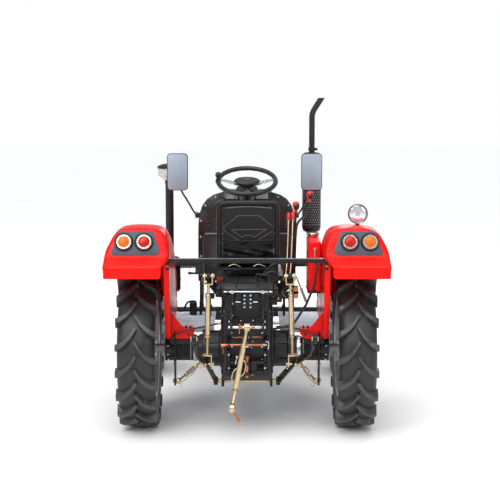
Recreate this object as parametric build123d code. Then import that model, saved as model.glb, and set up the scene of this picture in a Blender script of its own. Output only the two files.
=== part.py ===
"""Compact two-wheel-drive farm tractor with a raised three-point hitch.

Millimetres. +X is the tractor's right, +Y is forward, +Z is up. Every piece is drawn
with Y = 0 at the rear axle and Z = 0 on the ground, and is moved along Y at the end so
that the origin lies on the ground under the middle of the whole tractor.
"""
from build123d import *
import math
import os

# ---------------------------------------------------------------- driving dimensions
# clearances
FIT = 0.1                # radial clearance of a pin or shaft in its hole
SEAT = 0.3               # gap between curved pieces that seat on each other
RUN = 1.0                # side gap beside a hinged tongue
CUT = 1.0                # how far a cutting tool runs past the face that it cuts

# wheels
REAR_RADIUS = 515.0      # rear tyre, out to the lug tips
REAR_WIDTH = 241.0
REAR_BEAD = 304.0        # 24 inch rim
REAR_TRACK = 1410.0
FRONT_RADIUS = 367.5
FRONT_WIDTH = 165.0
FRONT_BEAD = 203.0       # 16 inch rim
FRONT_TRACK = 1460.0
WHEELBASE = 1650.0
LUG_COUNT = 18           # lugs on each side of a rear tyre
LUG_TALL = 30.0
LUG_TOP = 30.0           # lug's width along the tread, at its top
LUG_FOOT = 46.0          # and at its foot
LUG_SWEEP = 15.0         # degrees of tread between a lug's inner and outer end
LUG_INNER = -9.0         # inner end, just past the tyre's middle
LUG_OUTER = 118.0
TREAD_SHARE = 0.98       # rear tread's share of the tyre's width
FRONT_TREAD_SHARE = 0.92
REAR_FACETS = 36         # flat facets round a tyre
FRONT_FACETS = 32
RIM_HALF = 100.0         # rear rim between its flanges, halved
RIM_FLANGE = 22.0
RIM_LIP = 6.0
RIM_WALL = 8.0
RIM_WELL = 22.0          # depth of the rim's well
FRONT_RIM_HALF = 60.0
FRONT_RIM_FLANGE = 18.0
FRONT_RIM_LIP = 5.0
FRONT_RIM_WALL = 6.0
FRONT_RIM_WELL = 18.0
HUB_INSET = 87.0
HUB_FACE = REAR_TRACK / 2 - HUB_INSET    # face that the rear disc is bolted to
HUB_R = 92.0
HUB_T = 16.0
HUB_CAP_R = 52.0
HUB_CAP_LONG = 60.0
DISC_T = 10.0
DISC_HOLES = 8
DISC_HOLE_R = 24.0
DISC_HOLE_RING = 240.0
FRONT_HUB_R = 50.0
FRONT_HUB_IN = 95.0      # hub's reach inside the wheel's middle
FRONT_HUB_OUT = 60.0

# drive line
GEARBOX_HALF = 170.0
GEARBOX_REAR = -300.0
GEARBOX_FRONT = 300.0
GEARBOX_TOP = 790.0
GEARBOX_BOTTOM = 340.0
FINAL_DRIVE_HALF = 318.0
FINAL_DRIVE_R = 125.0
PTO_Z = 612.0
PTO_R = 17.5
PTO_LONG = 75.0
PTO_FLANGE_R = 48.0
PTO_FLANGE_T = 20.0
PLATE_GAP = 51.5
PLATE_OUT = REAR_TRACK / 2 - REAR_WIDTH / 2 - PLATE_GAP    # inner plate's face towards the tyre
PLATE_T = 4.0
HOUSING_R = 83.0         # axle trumpet
HOUSING_END = PLATE_OUT + 7
HOUSING_WAIST = 13.0     # how far the trumpet narrows towards its end
FLANGE_T = 16.0
PAD_OUT = PLATE_OUT - 28 # flat pad on the trumpet, under the inner plate's foot
PAD_IN = PAD_OUT - 140
PAD_HALF = 90.0
AXLE_SHAFT_R = 32.0
SHAFT_DEEP = 70.0        # how far the axle shaft runs into the trumpet
LIFT_HALF = 150.0
LIFT_TOP = 1000.0
LIFT_FRONT = 220.0
BOSS_HALF = 165.0        # rockshaft's boss on the lift cover
BOSS_R = 54.0
VALVE_REAR = -120.0      # hydraulic valve block beside the lift cover
VALVE_FRONT = 40.0
VALVE_LOW = 840.0
VALVE_TOP = 940.0
VALVE_WIDE = 80.0
CLUTCH_HALF = 160.0
CLUTCH_TOP = 800.0
CLUTCH_BOTTOM = 420.0
CLUTCH_SLOPE = 60.0
ENGINE_REAR = 1155.0
ENGINE_FRONT = 1580.0
ENGINE_HALF = 190.0
ENGINE_TOP = 980.0
ENGINE_BOTTOM = 440.0
PAN_TALL = 110.0
PAN_INSET = 50.0

# fenders and the bar between them
FENDER_OVERHANG = 74.5   # beyond the tyre's outer side
FENDER_OUT = REAR_TRACK / 2 + REAR_WIDTH / 2 + FENDER_OVERHANG
FENDER_IN = PLATE_OUT - 43               # shoulder beside the seat
FENDER_TOP = 1353.0
FENDER_WALL = 4.0
FENDER_ROUND = 60.0
FENDER_REAR = -550.0
CREASE_Z = 1135.0        # where the hood's lip starts
LIP_REAR_Z = 1060.0      # lip's lower edge at the rear, and at the arch
LIP_ARCH_Z = 1097.0
ARCH_R = 590.0
FENDER_FRONT = 600.0
FENDER_LOW = 760.0       # lower edge of the fender's front end
LEDGE_Z = 1168.0         # where the fender's shoulder sits on the inner plate
LEDGE_REAR = -480.0
LEDGE_FRONT = 425.0
FOOT_IN = PAD_IN - 10    # inner end of the inner plate's foot
GUSSET_TALL = 105.0
BAR_Z = 1124.0
BAR_TALL = 42.0
BAR_Y = -355.0
BAR_DEEP = 60.0
TAB_TALL = 50.0
TAB_T = 6.0

# lamps: the panel's lower and upper edge on the fender's sloped rear face, as (y, z)
PANEL_LOW = (-458.0, 1192.0)
PANEL_HIGH = (-402.0, 1358.0)
PANEL_T = 6.0
PANEL_OUT = FENDER_OUT - 49
PANEL_IN = PANEL_OUT - 311
LAMP_X = (PANEL_OUT - 82, PANEL_OUT - 208)
LAMP_V = 89.0            # lamps' middle, up the slope from the panel's lower edge
LAMP_R = 57.0
LAMP_WALL = 5.0
LAMP_DEEP = 12.0
DISH_DEEP = 4.0
LENS_R = 36.0
LENS_TALL = 9.0
WORK_LAMP = (FENDER_OUT - 193, -230.0, FENDER_TOP + 79)
WORK_R = 64.0
WORK_DEEP = 75.0
WORK_RIM = 6.0

# driver's place
SEAT_BASE_Z = 1035.0
SEAT_BASE_T = 15.0
SEAT_PAN_HALF = 195.0
SEAT_PAN_REAR = -10.0
SEAT_PAN_FRONT = 400.0
SEAT_POST_HALF = 110.0
CUSHION_HALF = 212.0
CUSHION_REAR = 55.0
CUSHION_LONG = 390.0
CUSHION_TALL = 95.0
SEAT_LOOP_HALF = 187.0
SEAT_LOOP_TOP = 1486.0
SEAT_TUBE_R = 13.0
LOOP_FOOT_Y = 20.0
LOOP_BEND = 68.0
BACK_LEAN = 80.0         # how far the loop's top lies behind its feet
BACK_LOW = 1160.0
BACK_REAR = 12.0         # backrest behind and ahead of the loop's plane
BACK_FRONT = 55.0
TANK_WIDE = 101.0
TANK_OUT = PLATE_OUT - 47
TANK_IN = TANK_OUT - TANK_WIDE
TANK_LONG = 340.0
TANK_LOW = 887.0
TANK_HIGH = 1203.0
FILLER_R = 26.0
FILLER_TALL = 22.0
STEP_Z = 608.0           # top of the foot plates
STEP_T = 4.0
STEP_REAR = 235.0
STEP_FRONT = 840.0
STEP_GAP = 60.0          # between the clutch housing and a foot plate
STEP_EDGE = 34.0
PEDAL_X = 262.0
PEDAL_Y = 690.0
PEDAL_PIVOT_Z = 500.0
PEDAL_ARM_R = 9.0
PEDAL_TALL = 152.0       # pad above the foot plate
PEDAL_PAD_HALF = 33.0
COWL_HALF = 340.0
COWL_TOP = 1486.0
COWL_REAR = 850.0
COWL_FRONT = 1130.0
COWL_FRONT_HALF = 300.0
COWL_FRONT_TOP = 1432.0
COWL_BOTTOM = 820.0
COWL_SHOULDER = 110.0    # from the arch's top down to its shoulder
LEG_T = 6.0              # side legs under the cowl
LEG_FRONT = 1060.0
WHEEL_CENTRE = (0.0, 650.0, 1568.0)
WHEEL_TILT = 22.0
WHEEL_RIM_R = 201.0
WHEEL_TUBE_R = 14.0
SPOKE_R = 9.0
SPINNER_R = 13.0
SPINNER_TALL = 50.0
SHAFT_R = 11.0
COLUMN_TOP = 62.0        # top of the column's cover, down from the wheel's centre
COLUMN_R = 58.0
COLUMN_NECK_R = 32.0
MIRROR_X = 478.0
MIRROR_WIDE = 148.0
MIRROR_LOW = 1492.0
MIRROR_TALL = 262.0
MIRROR_T = 24.0
MIRROR_Y = 750.0
MIRROR_ARM_R = 7.0
MIRROR_FOOT = (905.0, 1300.0)
GEAR_ROD_R = 8.0
CONTROL_ROD_R = 5.0
LEVER_TABLE = (
    # foot x, y, z, then knob x, y, z, rod radius
    (LIFT_HALF - 30, 250, GEARBOX_TOP, 332, 350, 1430, GEAR_ROD_R),
    (GEARBOX_HALF - 15, 275, GEARBOX_TOP, 431, 450, 1492, GEAR_ROD_R),
    (LIFT_HALF + 40, -60, VALVE_TOP, 276, 150, 1362, CONTROL_ROD_R),
    (LIFT_HALF + 60, -20, VALVE_TOP, 306, 175, 1365, CONTROL_ROD_R),
)
KNOB_R = 24.0
GRIP_R = 13.0
GRIP_LONG = 50.0

# bonnet
BONNET_HALF = 275.0
BONNET_REAR = 1150.0
BONNET_NOSE = 2060.0
BONNET_TOP = 1420.0
BONNET_BOTTOM = 940.0
BONNET_WALL = 3.0
BONNET_ROUND = 85.0
NOSE_REAR = BONNET_NOSE - 170
NOSE_LOW = 720.0
GRILLE_HALF = 200.0
GRILLE_LOW = 745.0
GRILLE_HIGH = 945.0
GRILLE_T = 12.0
GRILLE_EDGE = 14.0
GRILLE_PITCH = 32.0
GRILLE_BARS = 11
GRILLE_BAR = 10.0
HEADLAMP_X = 160.0
HEADLAMP_Z = 1030.0
HEADLAMP_R = 62.0
HEADLAMP_DEEP = 40.0
HINGE_Y = BONNET_REAR + 6
HINGE_Z = BONNET_TOP + 14
HINGE_X = 130.0
HINGE_EYE_R = 9.0
HINGE_EYE_HALF = 14.0
HINGE_EAR = 8.0
HINGE_PIN_R = 4.0

# engine's outside
STACK_X = 477.0
STACK_Y = 1210.0
STACK_R = 21.0
STACK_WALL = 2.5
STACK_BEND_Z = 2020.0
STACK_TOP = 2130.0
MUFFLER_R = 70.0
MUFFLER_LOW = 1146.0
MUFFLER_HIGH = 1731.0
EXHAUST_Z = 902.0        # where the exhaust leaves the engine
CLEANER_X = -572.0
CLEANER_Y = 1200.0
CLEANER_R = 80.0
CLEANER_LOW = 800.0
CLEANER_HIGH = 1150.0
CLEANER_PIPE_R = 30.0
DUCT_R = 28.0
DUCT_Z = 895.0
BOWL_LOW = 1530.0
BOWL_HIGH = 1618.0
BOWL_R = 84.0
CAP_TOP = 1650.0
RADIATOR_Y = BONNET_NOSE - 260
RADIATOR_DEEP = 62.0
RADIATOR_HALF = 220.0
RADIATOR_TOP = 1120.0
HEADER_TALL = 30.0
HOSE_R = 8.0

# front frame, front axle and steering
FRONT_REACH = BONNET_NOSE + 70           # rear axle to the bumper's face
RAIL_TOP = 610.0
RAIL_TALL = 80.0
RAIL_IN = 110.0
RAIL_OUT = 150.0
BUMPER_HALF = 250.0
BUMPER_T = 40.0
HANGER_T = 20.0
AXLE_PIN_R = 20.0
KINGPIN_X = FRONT_TRACK / 2 - 155
KINGPIN_R = 20.0
BEAM_Z = 470.0
BEAM_TALL = 80.0
BEAM_DEEP = 90.0
BEAM_HALF = 300.0
BEAM_ARM_HALF = 27.0     # telescopic end's half height and half depth
BUSH_R = 34.0
BUSH_LOW = 415.0
BUSH_HIGH = 555.0
STUB_R = 26.0
STUB_END = FRONT_TRACK / 2 + 5
TIE_ARM = 140.0          # tie rod joint behind the kingpin
TIE_Z = 398.0
TIE_R = 12.0
TIE_EYE_R = 19.0
TIE_PIN_R = 8.0
RAM_ARM = 120.0          # steering ram's joint ahead of the kingpin
RAM_Z = 398.0
RAM_R = 25.0
RAM_ROD_R = 12.0
ARM_T = 14.0
ARM_HALF = 16.0

# hitch: each point is (y, z)
ROCKSHAFT = (-250.0, 945.0)
ROCKSHAFT_R = 25.0
ARM_END = (-470.0, 1070.0)
ARM_HUB_R = 42.0
LINK_PIVOT = (-80.0, 312.0)
LINK_MID = (-361.0, 486.0)
LINK_END = (-752.0, 727.0)
LINK_T = 14.0
LINK_TALL = 42.0
BALL_R = 30.0
BALL_BORE_R = 11.2
BALL_WIDE = 36.0
PIN_R = 9.0
CROSS_R = PIN_R + 3      # lower links' cross shaft
ARM_X = {-1: -240.0, 1: 268.0}
PIVOT_X = {-1: -205.0, 1: 205.0}
END_X = {-1: -322.0, 1: 413.0}
CLEVIS_T = 8.0
HIGH_INSIDE = 13.0       # half gap of the lift rod's upper clevis
LOW_INSIDE = 22.0        # and of its lower one
FLOAT_R = 14.5           # open eye that lets the lift rod's foot drift from its pin
LINK_PIN_R = 8.0
THREAD_R = 10.0
ROD_TUBE_R = 17.0
STAY_X = 450.0           # outer eye of each stabiliser
STAY_SHARE = 0.52        # where it meets the lower link
STAY_R = 7.0
STAY_TUBE_R = 13.0
STAY_EYE_R = 20.0
HANGER_IN = STAY_X + 15
HANGER_OUT = HANGER_IN + 12
TOP_PIN = (-475.0, 745.0)
TOP_LINK_LONG = 520.0
TOP_LINK_LEAN = 95.0     # sideways lean of the hanging top link
TOP_LINK_R = 18.0
TOP_EYE_R = 28.0
TOP_EYE_HALF = 20.0
TOP_THREAD_R = 11.0
TOP_BORE_R = 9.7
CHEEK_X = 95.0
CHEEK_T = 12.0
FRAME_Y = -390.0
FRAME_DEEP = 50.0
FRAME_HALF = 122.0
FRAME_T = 14.0
FRAME_TOP = 575.0
FRAME_LOW = 424.0
TONGUE_HALF = 28.0
TONGUE_T = 20.0
TONGUE_GAP = 66.0
TONGUE_LONG = 45.0
HITCH_PIN_Y = FRAME_Y - 24
HITCH_PIN_R = 11.0

# worked out from the values above
REAR_REACH = -LINK_END[0] + BALL_R
MID_SHARE = math.dist(LINK_PIVOT, LINK_MID) / math.dist(LINK_PIVOT, LINK_END)
MID_X = {side: PIVOT_X[side] + (END_X[side] - PIVOT_X[side]) * MID_SHARE for side in (-1, 1)}
AXLE_Y = -(FRONT_REACH - REAR_REACH) / 2


# ---------------------------------------------------------------- small shape helpers
def block(x0, x1, y0, y1, z0, z1):
    """A box between two corners."""
    size = (abs(x1 - x0), abs(y1 - y0), abs(z1 - z0))
    return Pos((x0 + x1) / 2, (y0 + y1) / 2, (z0 + z1) / 2) * Box(*size)


def outline(points, radius=0):
    """A closed flat face through 3-D points, its corners rounded if asked."""
    if radius:
        return make_face(FilletPolyline(*points, radius=radius, close=True))
    return make_face(Polyline(*points, close=True))


def along_x(points, x0, x1, radius=0):
    """A (y, z) outline made solid from x0 to x1."""
    face = outline([(x0, y, z) for y, z in points], radius)
    return extrude(face, amount=x1 - x0, dir=(1, 0, 0))


def along_y(points, y0, y1, radius=0):
    """An (x, z) outline made solid from y0 to y1."""
    face = outline([(x, y0, z) for x, z in points], radius)
    return extrude(face, amount=y1 - y0, dir=(0, 1, 0))


def rod(start, end, radius, radius_end=None):
    """A round bar, or a cone, between two points."""
    start, end = Vector(*start), Vector(*end)
    plane = Plane(origin=start, z_dir=end - start)
    long = (end - start).length
    if radius_end is None:
        return plane * Pos(0, 0, long / 2) * Cylinder(radius, long)
    return plane * Pos(0, 0, long / 2) * Cone(radius, radius_end, long)


def turned(profile, y, z, x=0.0):
    """A closed (x, radius) profile turned about the line through (y, z) along X."""
    face = outline([(x + u, y, z + r) for u, r in profile])
    return revolve(face, axis=Axis((0, y, z), (1, 0, 0)))


def bent_tube(points, radius, bends):
    """A round tube or hose along straight runs joined by tangent arcs."""
    path = FilletPolyline(*points, radius=bends)
    start = Plane(origin=points[0], z_dir=path % 0)
    return sweep(start * Circle(radius), path=path)


def other_side(shape):
    """The same piece on the other side of the tractor."""
    return mirror(shape, about=Plane.YZ)


def pair(shape):
    """A right-hand piece and its left-hand twin as one node of two solids."""
    return group(shape, other_side(shape))


def group(*shapes):
    """Several solids that share a node."""
    solids = []
    for shape in shapes:
        solids += shape.solids()
    return Compound(children=solids)


# ---------------------------------------------------------------- drive line
def gearbox():
    """Rear gearbox with its final drives and the power take-off stub."""
    low, high, rear = GEARBOX_BOTTOM, GEARBOX_TOP, GEARBOX_REAR
    side = [(rear, low + 90), (rear, high), (GEARBOX_FRONT, high),
            (GEARBOX_FRONT, low + 60), (GEARBOX_FRONT - 60, low), (rear + 60, low)]
    case = along_x(side, -GEARBOX_HALF, GEARBOX_HALF)
    case += rod((-FINAL_DRIVE_HALF, 0, REAR_RADIUS), (FINAL_DRIVE_HALF, 0, REAR_RADIUS), FINAL_DRIVE_R)
    flange = rear - PTO_FLANGE_T
    case += rod((0, rear, PTO_Z), (0, flange, PTO_Z), PTO_FLANGE_R)
    return case + rod((0, flange, PTO_Z), (0, flange - PTO_LONG, PTO_Z), PTO_R)


def axle_housing():
    """Trumpet housing from the final drive to the wheel hub."""
    inner, end = FINAL_DRIVE_HALF, HOUSING_END
    profile = [(inner, 0), (inner, FINAL_DRIVE_R), (inner + FLANGE_T, FINAL_DRIVE_R),
               (inner + FLANGE_T, HOUSING_R + 8), (inner + 2 * FLANGE_T, HOUSING_R),
               (end - FLANGE_T, HOUSING_R - HOUSING_WAIST), (end - FLANGE_T, HOUSING_R),
               (end, HOUSING_R), (end, 0)]
    shape = turned(profile, 0, REAR_RADIUS)
    shape += block(PAD_IN, PAD_OUT, -PAD_HALF, PAD_HALF, REAR_RADIUS + HOUSING_R / 2, REAR_RADIUS + HOUSING_R)
    bore = rod((end - SHAFT_DEEP, 0, REAR_RADIUS), (end + CUT, 0, REAR_RADIUS), AXLE_SHAFT_R + FIT)
    return shape - bore


def clutch_housing():
    """Casting between the gearbox and the engine."""
    low, high, half, slope = CLUTCH_BOTTOM, CLUTCH_TOP, CLUTCH_HALF, CLUTCH_SLOPE
    section = [(-half, low + slope), (-half, high - slope), (-half + 50, high), (half - 50, high),
               (half, high - slope), (half, low + slope), (half - slope, low), (-half + slope, low)]
    return along_y(section, GEARBOX_FRONT, ENGINE_REAR)


def engine_block():
    """The engine as one plain block on its oil pan."""
    pan_top = ENGINE_BOTTOM + PAN_TALL
    pan_half = ENGINE_HALF - PAN_INSET
    case = block(-ENGINE_HALF, ENGINE_HALF, ENGINE_REAR, ENGINE_FRONT, pan_top, ENGINE_TOP)
    return case + block(-pan_half, pan_half, ENGINE_REAR, ENGINE_FRONT, ENGINE_BOTTOM, pan_top)


def lift_cover():
    """Hydraulic lift cover on the gearbox, with the rockshaft's boss and a valve block."""
    y, z = ROCKSHAFT
    chamfer_z = LIFT_TOP - 60
    side = [(GEARBOX_REAR, GEARBOX_TOP), (GEARBOX_REAR, chamfer_z), (GEARBOX_REAR + 40, LIFT_TOP),
            (LIFT_FRONT - 40, LIFT_TOP), (LIFT_FRONT, chamfer_z), (LIFT_FRONT, GEARBOX_TOP)]
    cover = along_x(side, -LIFT_HALF, LIFT_HALF)
    cover += rod((-BOSS_HALF, y, z), (BOSS_HALF, y, z), BOSS_R)
    cover -= rod((-BOSS_HALF - CUT, y, z), (BOSS_HALF + CUT, y, z), ROCKSHAFT_R + FIT)
    return cover + block(LIFT_HALF, LIFT_HALF + VALVE_WIDE, VALVE_REAR, VALVE_FRONT, VALVE_LOW, VALVE_TOP)


def top_link_bracket():
    """Two cheeks with a cross plate behind the lift cover, and the top link's pin."""
    y, z = TOP_PIN
    low, high = z - 60, z + 130
    cheek = along_x([(GEARBOX_REAR, low), (GEARBOX_REAR, high), (y + 40, z + 42),
                     (y - 28, z + 28), (y - 28, z - 28), (y + 40, z - 42)], CHEEK_X, CHEEK_X + CHEEK_T)
    bracket = cheek + other_side(cheek)
    bracket += block(-CHEEK_X, CHEEK_X, GEARBOX_REAR, GEARBOX_REAR - CHEEK_T, low, high)
    return bracket + rod((-CHEEK_X - 22, y, z), (CHEEK_X + 22, y, z), PIN_R)


def hitch_frame():
    """Drawbar frame behind the gearbox, with its two tongues and the hitch pin."""
    rear, front = FRAME_Y, FRAME_Y + FRAME_DEEP
    foot = FRAME_TOP - 60
    post = along_x([(GEARBOX_REAR, foot), (GEARBOX_REAR, FRAME_TOP), (rear, FRAME_TOP),
                    (rear, FRAME_LOW), (front, FRAME_LOW), (front, foot)], FRAME_HALF - FRAME_T, FRAME_HALF)
    frame = post + other_side(post)
    for low in (FRAME_LOW, FRAME_LOW + TONGUE_GAP):
        frame += block(-FRAME_HALF, FRAME_HALF, rear, front, low, low + TONGUE_T)
        frame += block(-TONGUE_HALF, TONGUE_HALF, rear - TONGUE_LONG, rear, low, low + TONGUE_T)
    pin_low, pin_high = FRAME_LOW - 14, FRAME_LOW + TONGUE_GAP + TONGUE_T + 26
    frame += rod((0, HITCH_PIN_Y, pin_low), (0, HITCH_PIN_Y, pin_high), HITCH_PIN_R)
    return frame + rod((0, HITCH_PIN_Y, pin_high), (0, HITCH_PIN_Y, pin_high + 12), HITCH_PIN_R + 6)


def link_brackets():
    """Plates under the gearbox with the lower links' cross shaft, and the stabilisers' hangers."""
    y, z = LINK_PIVOT
    low = z - 32
    plate = along_x([(y - 70, GEARBOX_BOTTOM), (y + 90, GEARBOX_BOTTOM), (y + 40, low), (y - 35, low)],
                    GEARBOX_HALF - 20, GEARBOX_HALF - 2)
    cross_half = PIVOT_X[1] + BALL_WIDE / 2 + 12
    inner = plate + other_side(plate) + rod((-cross_half, y, z), (cross_half, y, z), CROSS_R)
    top = REAR_RADIUS - HOUSING_R + 25
    hanger = along_x([(y - 45, top + 45), (y + 60, top - 2), (y + 30, z - 26), (y - 30, z - 26)],
                     HANGER_IN, HANGER_OUT)
    hanger -= axle_housing()
    hanger += rod((STAY_X - 18, y, z), (HANGER_IN + 5, y, z), PIN_R)
    return group(inner, hanger, other_side(hanger))


# ---------------------------------------------------------------- fenders
def fender_top_line():
    """The fender's side outline from the rear lip over the top to the foot plate, as (y, z)."""
    low = REAR_RADIUS - 215
    return [(FENDER_REAR, low), (FENDER_REAR, CREASE_Z), PANEL_LOW, PANEL_HIGH, (180, FENDER_TOP + 5),
            (FENDER_FRONT - 200, FENDER_TOP - 143), (FENDER_FRONT - 50, FENDER_LOW + 220),
            (FENDER_FRONT, FENDER_LOW), (FENDER_FRONT, low)]


def fender_section():
    """The fender's outline seen from behind, open downwards."""
    low, top = REAR_RADIUS - 215, FENDER_TOP
    return FilletPolyline((FENDER_IN, 0, low), (FENDER_IN, 0, top - 138), (FENDER_IN + 65, 0, top),
                          (FENDER_OUT - 90, 0, top), (FENDER_OUT, 0, top - 163), (FENDER_OUT, 0, low),
                          radius=FENDER_ROUND, close=True)


def fender():
    """Right fender: a shell with a sloped rear hood, a crease and a hanging lip."""
    section = make_face(fender_section())
    profile = outline([(0, y, z) for y, z in fender_top_line()])
    thin_section = offset(section, amount=-FENDER_WALL)
    thin_profile = offset(profile, amount=-FENDER_WALL)

    reach = FENDER_FRONT - FENDER_REAR

    def solid(across, along):
        deep = extrude(across, amount=reach, dir=(0, 1, 0), both=True)
        wide = extrude(along, amount=FENDER_OUT + 100, dir=(1, 0, 0))
        return deep & wide

    shell = solid(section, profile) - solid(thin_section, thin_profile)
    inner, outer = FENDER_IN - 50, FENDER_OUT + 50
    floor = REAR_RADIUS - 300
    rear, arch_front, front = FENDER_REAR - 150, 95, FENDER_FRONT + 100
    low = along_x([(rear, floor), (rear, LIP_REAR_Z), (arch_front, LIP_ARCH_Z), (arch_front, floor)], inner, outer)
    low += block(inner, outer, arch_front - 5, front, floor, FENDER_LOW)
    low += rod((inner, 0, REAR_RADIUS), (outer, 0, REAR_RADIUS), ARCH_R)
    shell -= low
    shell -= block(inner, PLATE_OUT, rear, front, floor, LEDGE_Z)
    ledge = block(FENDER_IN, PLATE_OUT, LEDGE_REAR, LEDGE_FRONT, LEDGE_Z, LEDGE_Z + FENDER_WALL)
    return shell + (ledge & solid(section, profile))


def inner_plate():
    """Plate between tyre and driver, with its foot on the axle housing and a gusset."""
    foot_z = REAR_RADIUS + HOUSING_R
    edge = [(-430, LEDGE_Z), (-440, 1080), (-330, 880), (-230, 640), (-190, foot_z - 50), (-105, foot_z - 50),
            (-100, foot_z + PLATE_T), (FENDER_FRONT - 40, foot_z + PLATE_T), (FENDER_FRONT, foot_z + 42),
            (FENDER_FRONT, FENDER_LOW), (FENDER_FRONT - 50, FENDER_LOW + 220), (LEDGE_FRONT, LEDGE_Z)]
    plate = along_x(edge, PLATE_OUT - PLATE_T, PLATE_OUT)
    foot = block(FOOT_IN, PLATE_OUT, -100, PAD_HALF, foot_z, foot_z + PLATE_T)
    gusset = along_y([(FOOT_IN + 20, foot_z), (PLATE_OUT, foot_z), (PLATE_OUT, foot_z + GUSSET_TALL)],
                     -100, -100 + PLATE_T)
    return plate + foot + gusset


def on_panel(u, v, rise=0.0):
    """A place on the fender's sloped rear face: u along X, v up the slope, rise off it."""
    y0, z0 = PANEL_LOW
    y1, z1 = PANEL_HIGH
    long = math.hypot(y1 - y0, z1 - z0)
    up = ((y1 - y0) / long, (z1 - z0) / long)
    out = (-up[1], up[0])
    return (u, y0 + up[0] * v + out[0] * rise, z0 + up[1] * v + out[1] * rise)


def panel_normal():
    """The direction that the sloped rear face looks in."""
    return Vector(*on_panel(0, 0, 1)) - Vector(*on_panel(0, 0, 0))


def lamp_panel():
    """Flat panel that carries the two rear lamps of one fender."""
    inner, outer = PANEL_IN, PANEL_OUT
    corners = [(inner + 50, 160), (outer - 54, 160), (outer, 14), (outer - 8, 6), (inner + 20, 6), (inner, 32)]
    face = make_face(Polyline(*[on_panel(u, v) for u, v in corners], close=True))
    return extrude(face, amount=PANEL_T, dir=panel_normal())


def lamp_housing(x):
    """Round housing with a flat reflector ring round the lens."""
    rim = PANEL_T + LAMP_DEEP
    body = rod(on_panel(x, LAMP_V, PANEL_T), on_panel(x, LAMP_V, rim), LAMP_R)
    return body - rod(on_panel(x, LAMP_V, rim - DISH_DEEP), on_panel(x, LAMP_V, rim + CUT), LAMP_R - LAMP_WALL)


def lamp_lens(x):
    """Domed lens of one rear lamp."""
    base = PANEL_T + LAMP_DEEP - DISH_DEEP
    return rod(on_panel(x, LAMP_V, base), on_panel(x, LAMP_V, base + LENS_TALL), LENS_R, LENS_R - 7)


def work_lamp():
    """Round work lamp on a small bracket on the right fender."""
    x, y, z = WORK_LAMP
    waist = y + WORK_DEEP - 35
    bowl = rod((x, y, z), (x, waist, z), WORK_R) + rod((x, waist, z), (x, y + WORK_DEEP, z), WORK_R, 30)
    bowl -= rod((x, y - CUT, z), (x, y + 12, z), WORK_R - WORK_RIM)
    bowl += rod((x, y + 4, z), (x, y + 12, z), WORK_R - 2 * WORK_RIM)
    base = block(x - 30, x + 30, y + 20, y + 60, FENDER_TOP, FENDER_TOP + 5)
    return bowl + base + block(x - 12, x + 12, y + 25, y + 45, FENDER_TOP, z - WORK_R + 6)


def cross_bar():
    """Square bar between the two inner plates, with an end plate at each side."""
    inside = PLATE_OUT - PLATE_T
    y0, y1 = BAR_Y - BAR_DEEP / 2, BAR_Y + BAR_DEEP / 2
    bar = block(-inside, inside, y0, y1, BAR_Z, BAR_Z + BAR_TALL)
    tab = block(inside - TAB_T, inside, y0, y1, BAR_Z - TAB_TALL, BAR_Z)
    return bar + tab + other_side(tab)


# ---------------------------------------------------------------- driver's place
def seat_base():
    """Seat pan and its pedestal on the lift cover."""
    top = SEAT_BASE_Z + SEAT_BASE_T
    pan = block(-SEAT_PAN_HALF, SEAT_PAN_HALF, SEAT_PAN_REAR, SEAT_PAN_FRONT, SEAT_BASE_Z, top)
    return pan + block(-SEAT_POST_HALF, SEAT_POST_HALF, 30, 190, LIFT_TOP, SEAT_BASE_Z)


def seat_cushion():
    """Soft seat cushion."""
    low = SEAT_BASE_Z + SEAT_BASE_T
    cushion = block(-CUSHION_HALF, CUSHION_HALF, CUSHION_REAR, CUSHION_REAR + CUSHION_LONG,
                    low, low + CUSHION_TALL)
    return fillet(cushion.edges(), radius=24)


def back_point(x, z, forward=0.0):
    """A point on the leaning plane of the backrest."""
    foot_z = SEAT_BASE_Z + SEAT_BASE_T
    share = (z - foot_z) / (SEAT_LOOP_TOP - foot_z)
    return (x, LOOP_FOOT_Y - BACK_LEAN * share + forward, z)


def seat_frame():
    """Tube loop round the backrest, standing on the seat pan."""
    low = SEAT_BASE_Z + SEAT_BASE_T
    half = SEAT_LOOP_HALF
    points = [back_point(-half, low - 5), back_point(-half, SEAT_LOOP_TOP),
              back_point(half, SEAT_LOOP_TOP), back_point(half, low - 5)]
    loop = bent_tube(points, SEAT_TUBE_R, LOOP_BEND)
    return loop - block(-300, 300, -100, 100, low - 40, low)


def seat_back():
    """Padded backrest inside the loop."""
    inset = SEAT_TUBE_R + SEAT
    low, high = BACK_LOW, SEAT_LOOP_TOP - inset
    half = SEAT_LOOP_HALF - inset
    back = [back_point(0, low, -BACK_REAR), back_point(0, high, -BACK_REAR),
            back_point(0, high, BACK_FRONT), back_point(0, low, BACK_FRONT + 5)]
    slab = along_x([(y, z) for x, y, z in back], -half, half)
    ends = [e for e in slab.edges().filter_by(Axis.Y, tolerance=8) if e.center().Z > high - 60]
    return fillet(ends, radius=LOOP_BEND - inset)


def fuel_tank():
    """Fuel tank between the seat and the right fender, with its filler neck."""
    tank = block(TANK_IN, TANK_OUT, 0, TANK_LONG, TANK_LOW, TANK_HIGH)
    tank = fillet(tank.edges().filter_by(Axis.Z), radius=22)
    tank = fillet(tank.faces().sort_by(Axis.Z)[-1].edges(), radius=12)
    x, y = (TANK_IN + TANK_OUT) / 2, TANK_LONG / 2
    tank += rod((x, y, TANK_HIGH - 2), (x, y, TANK_HIGH + FILLER_TALL), FILLER_R)
    return tank + block(x - 9, x + 9, -9, 1, TANK_HIGH - 130, TANK_HIGH - 55)


def tank_bracket():
    """Bracket that carries the fuel tank from the right inner plate."""
    return block(TANK_IN, PLATE_OUT - PLATE_T, 40, 300, TANK_LOW - 6, TANK_LOW)


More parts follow.
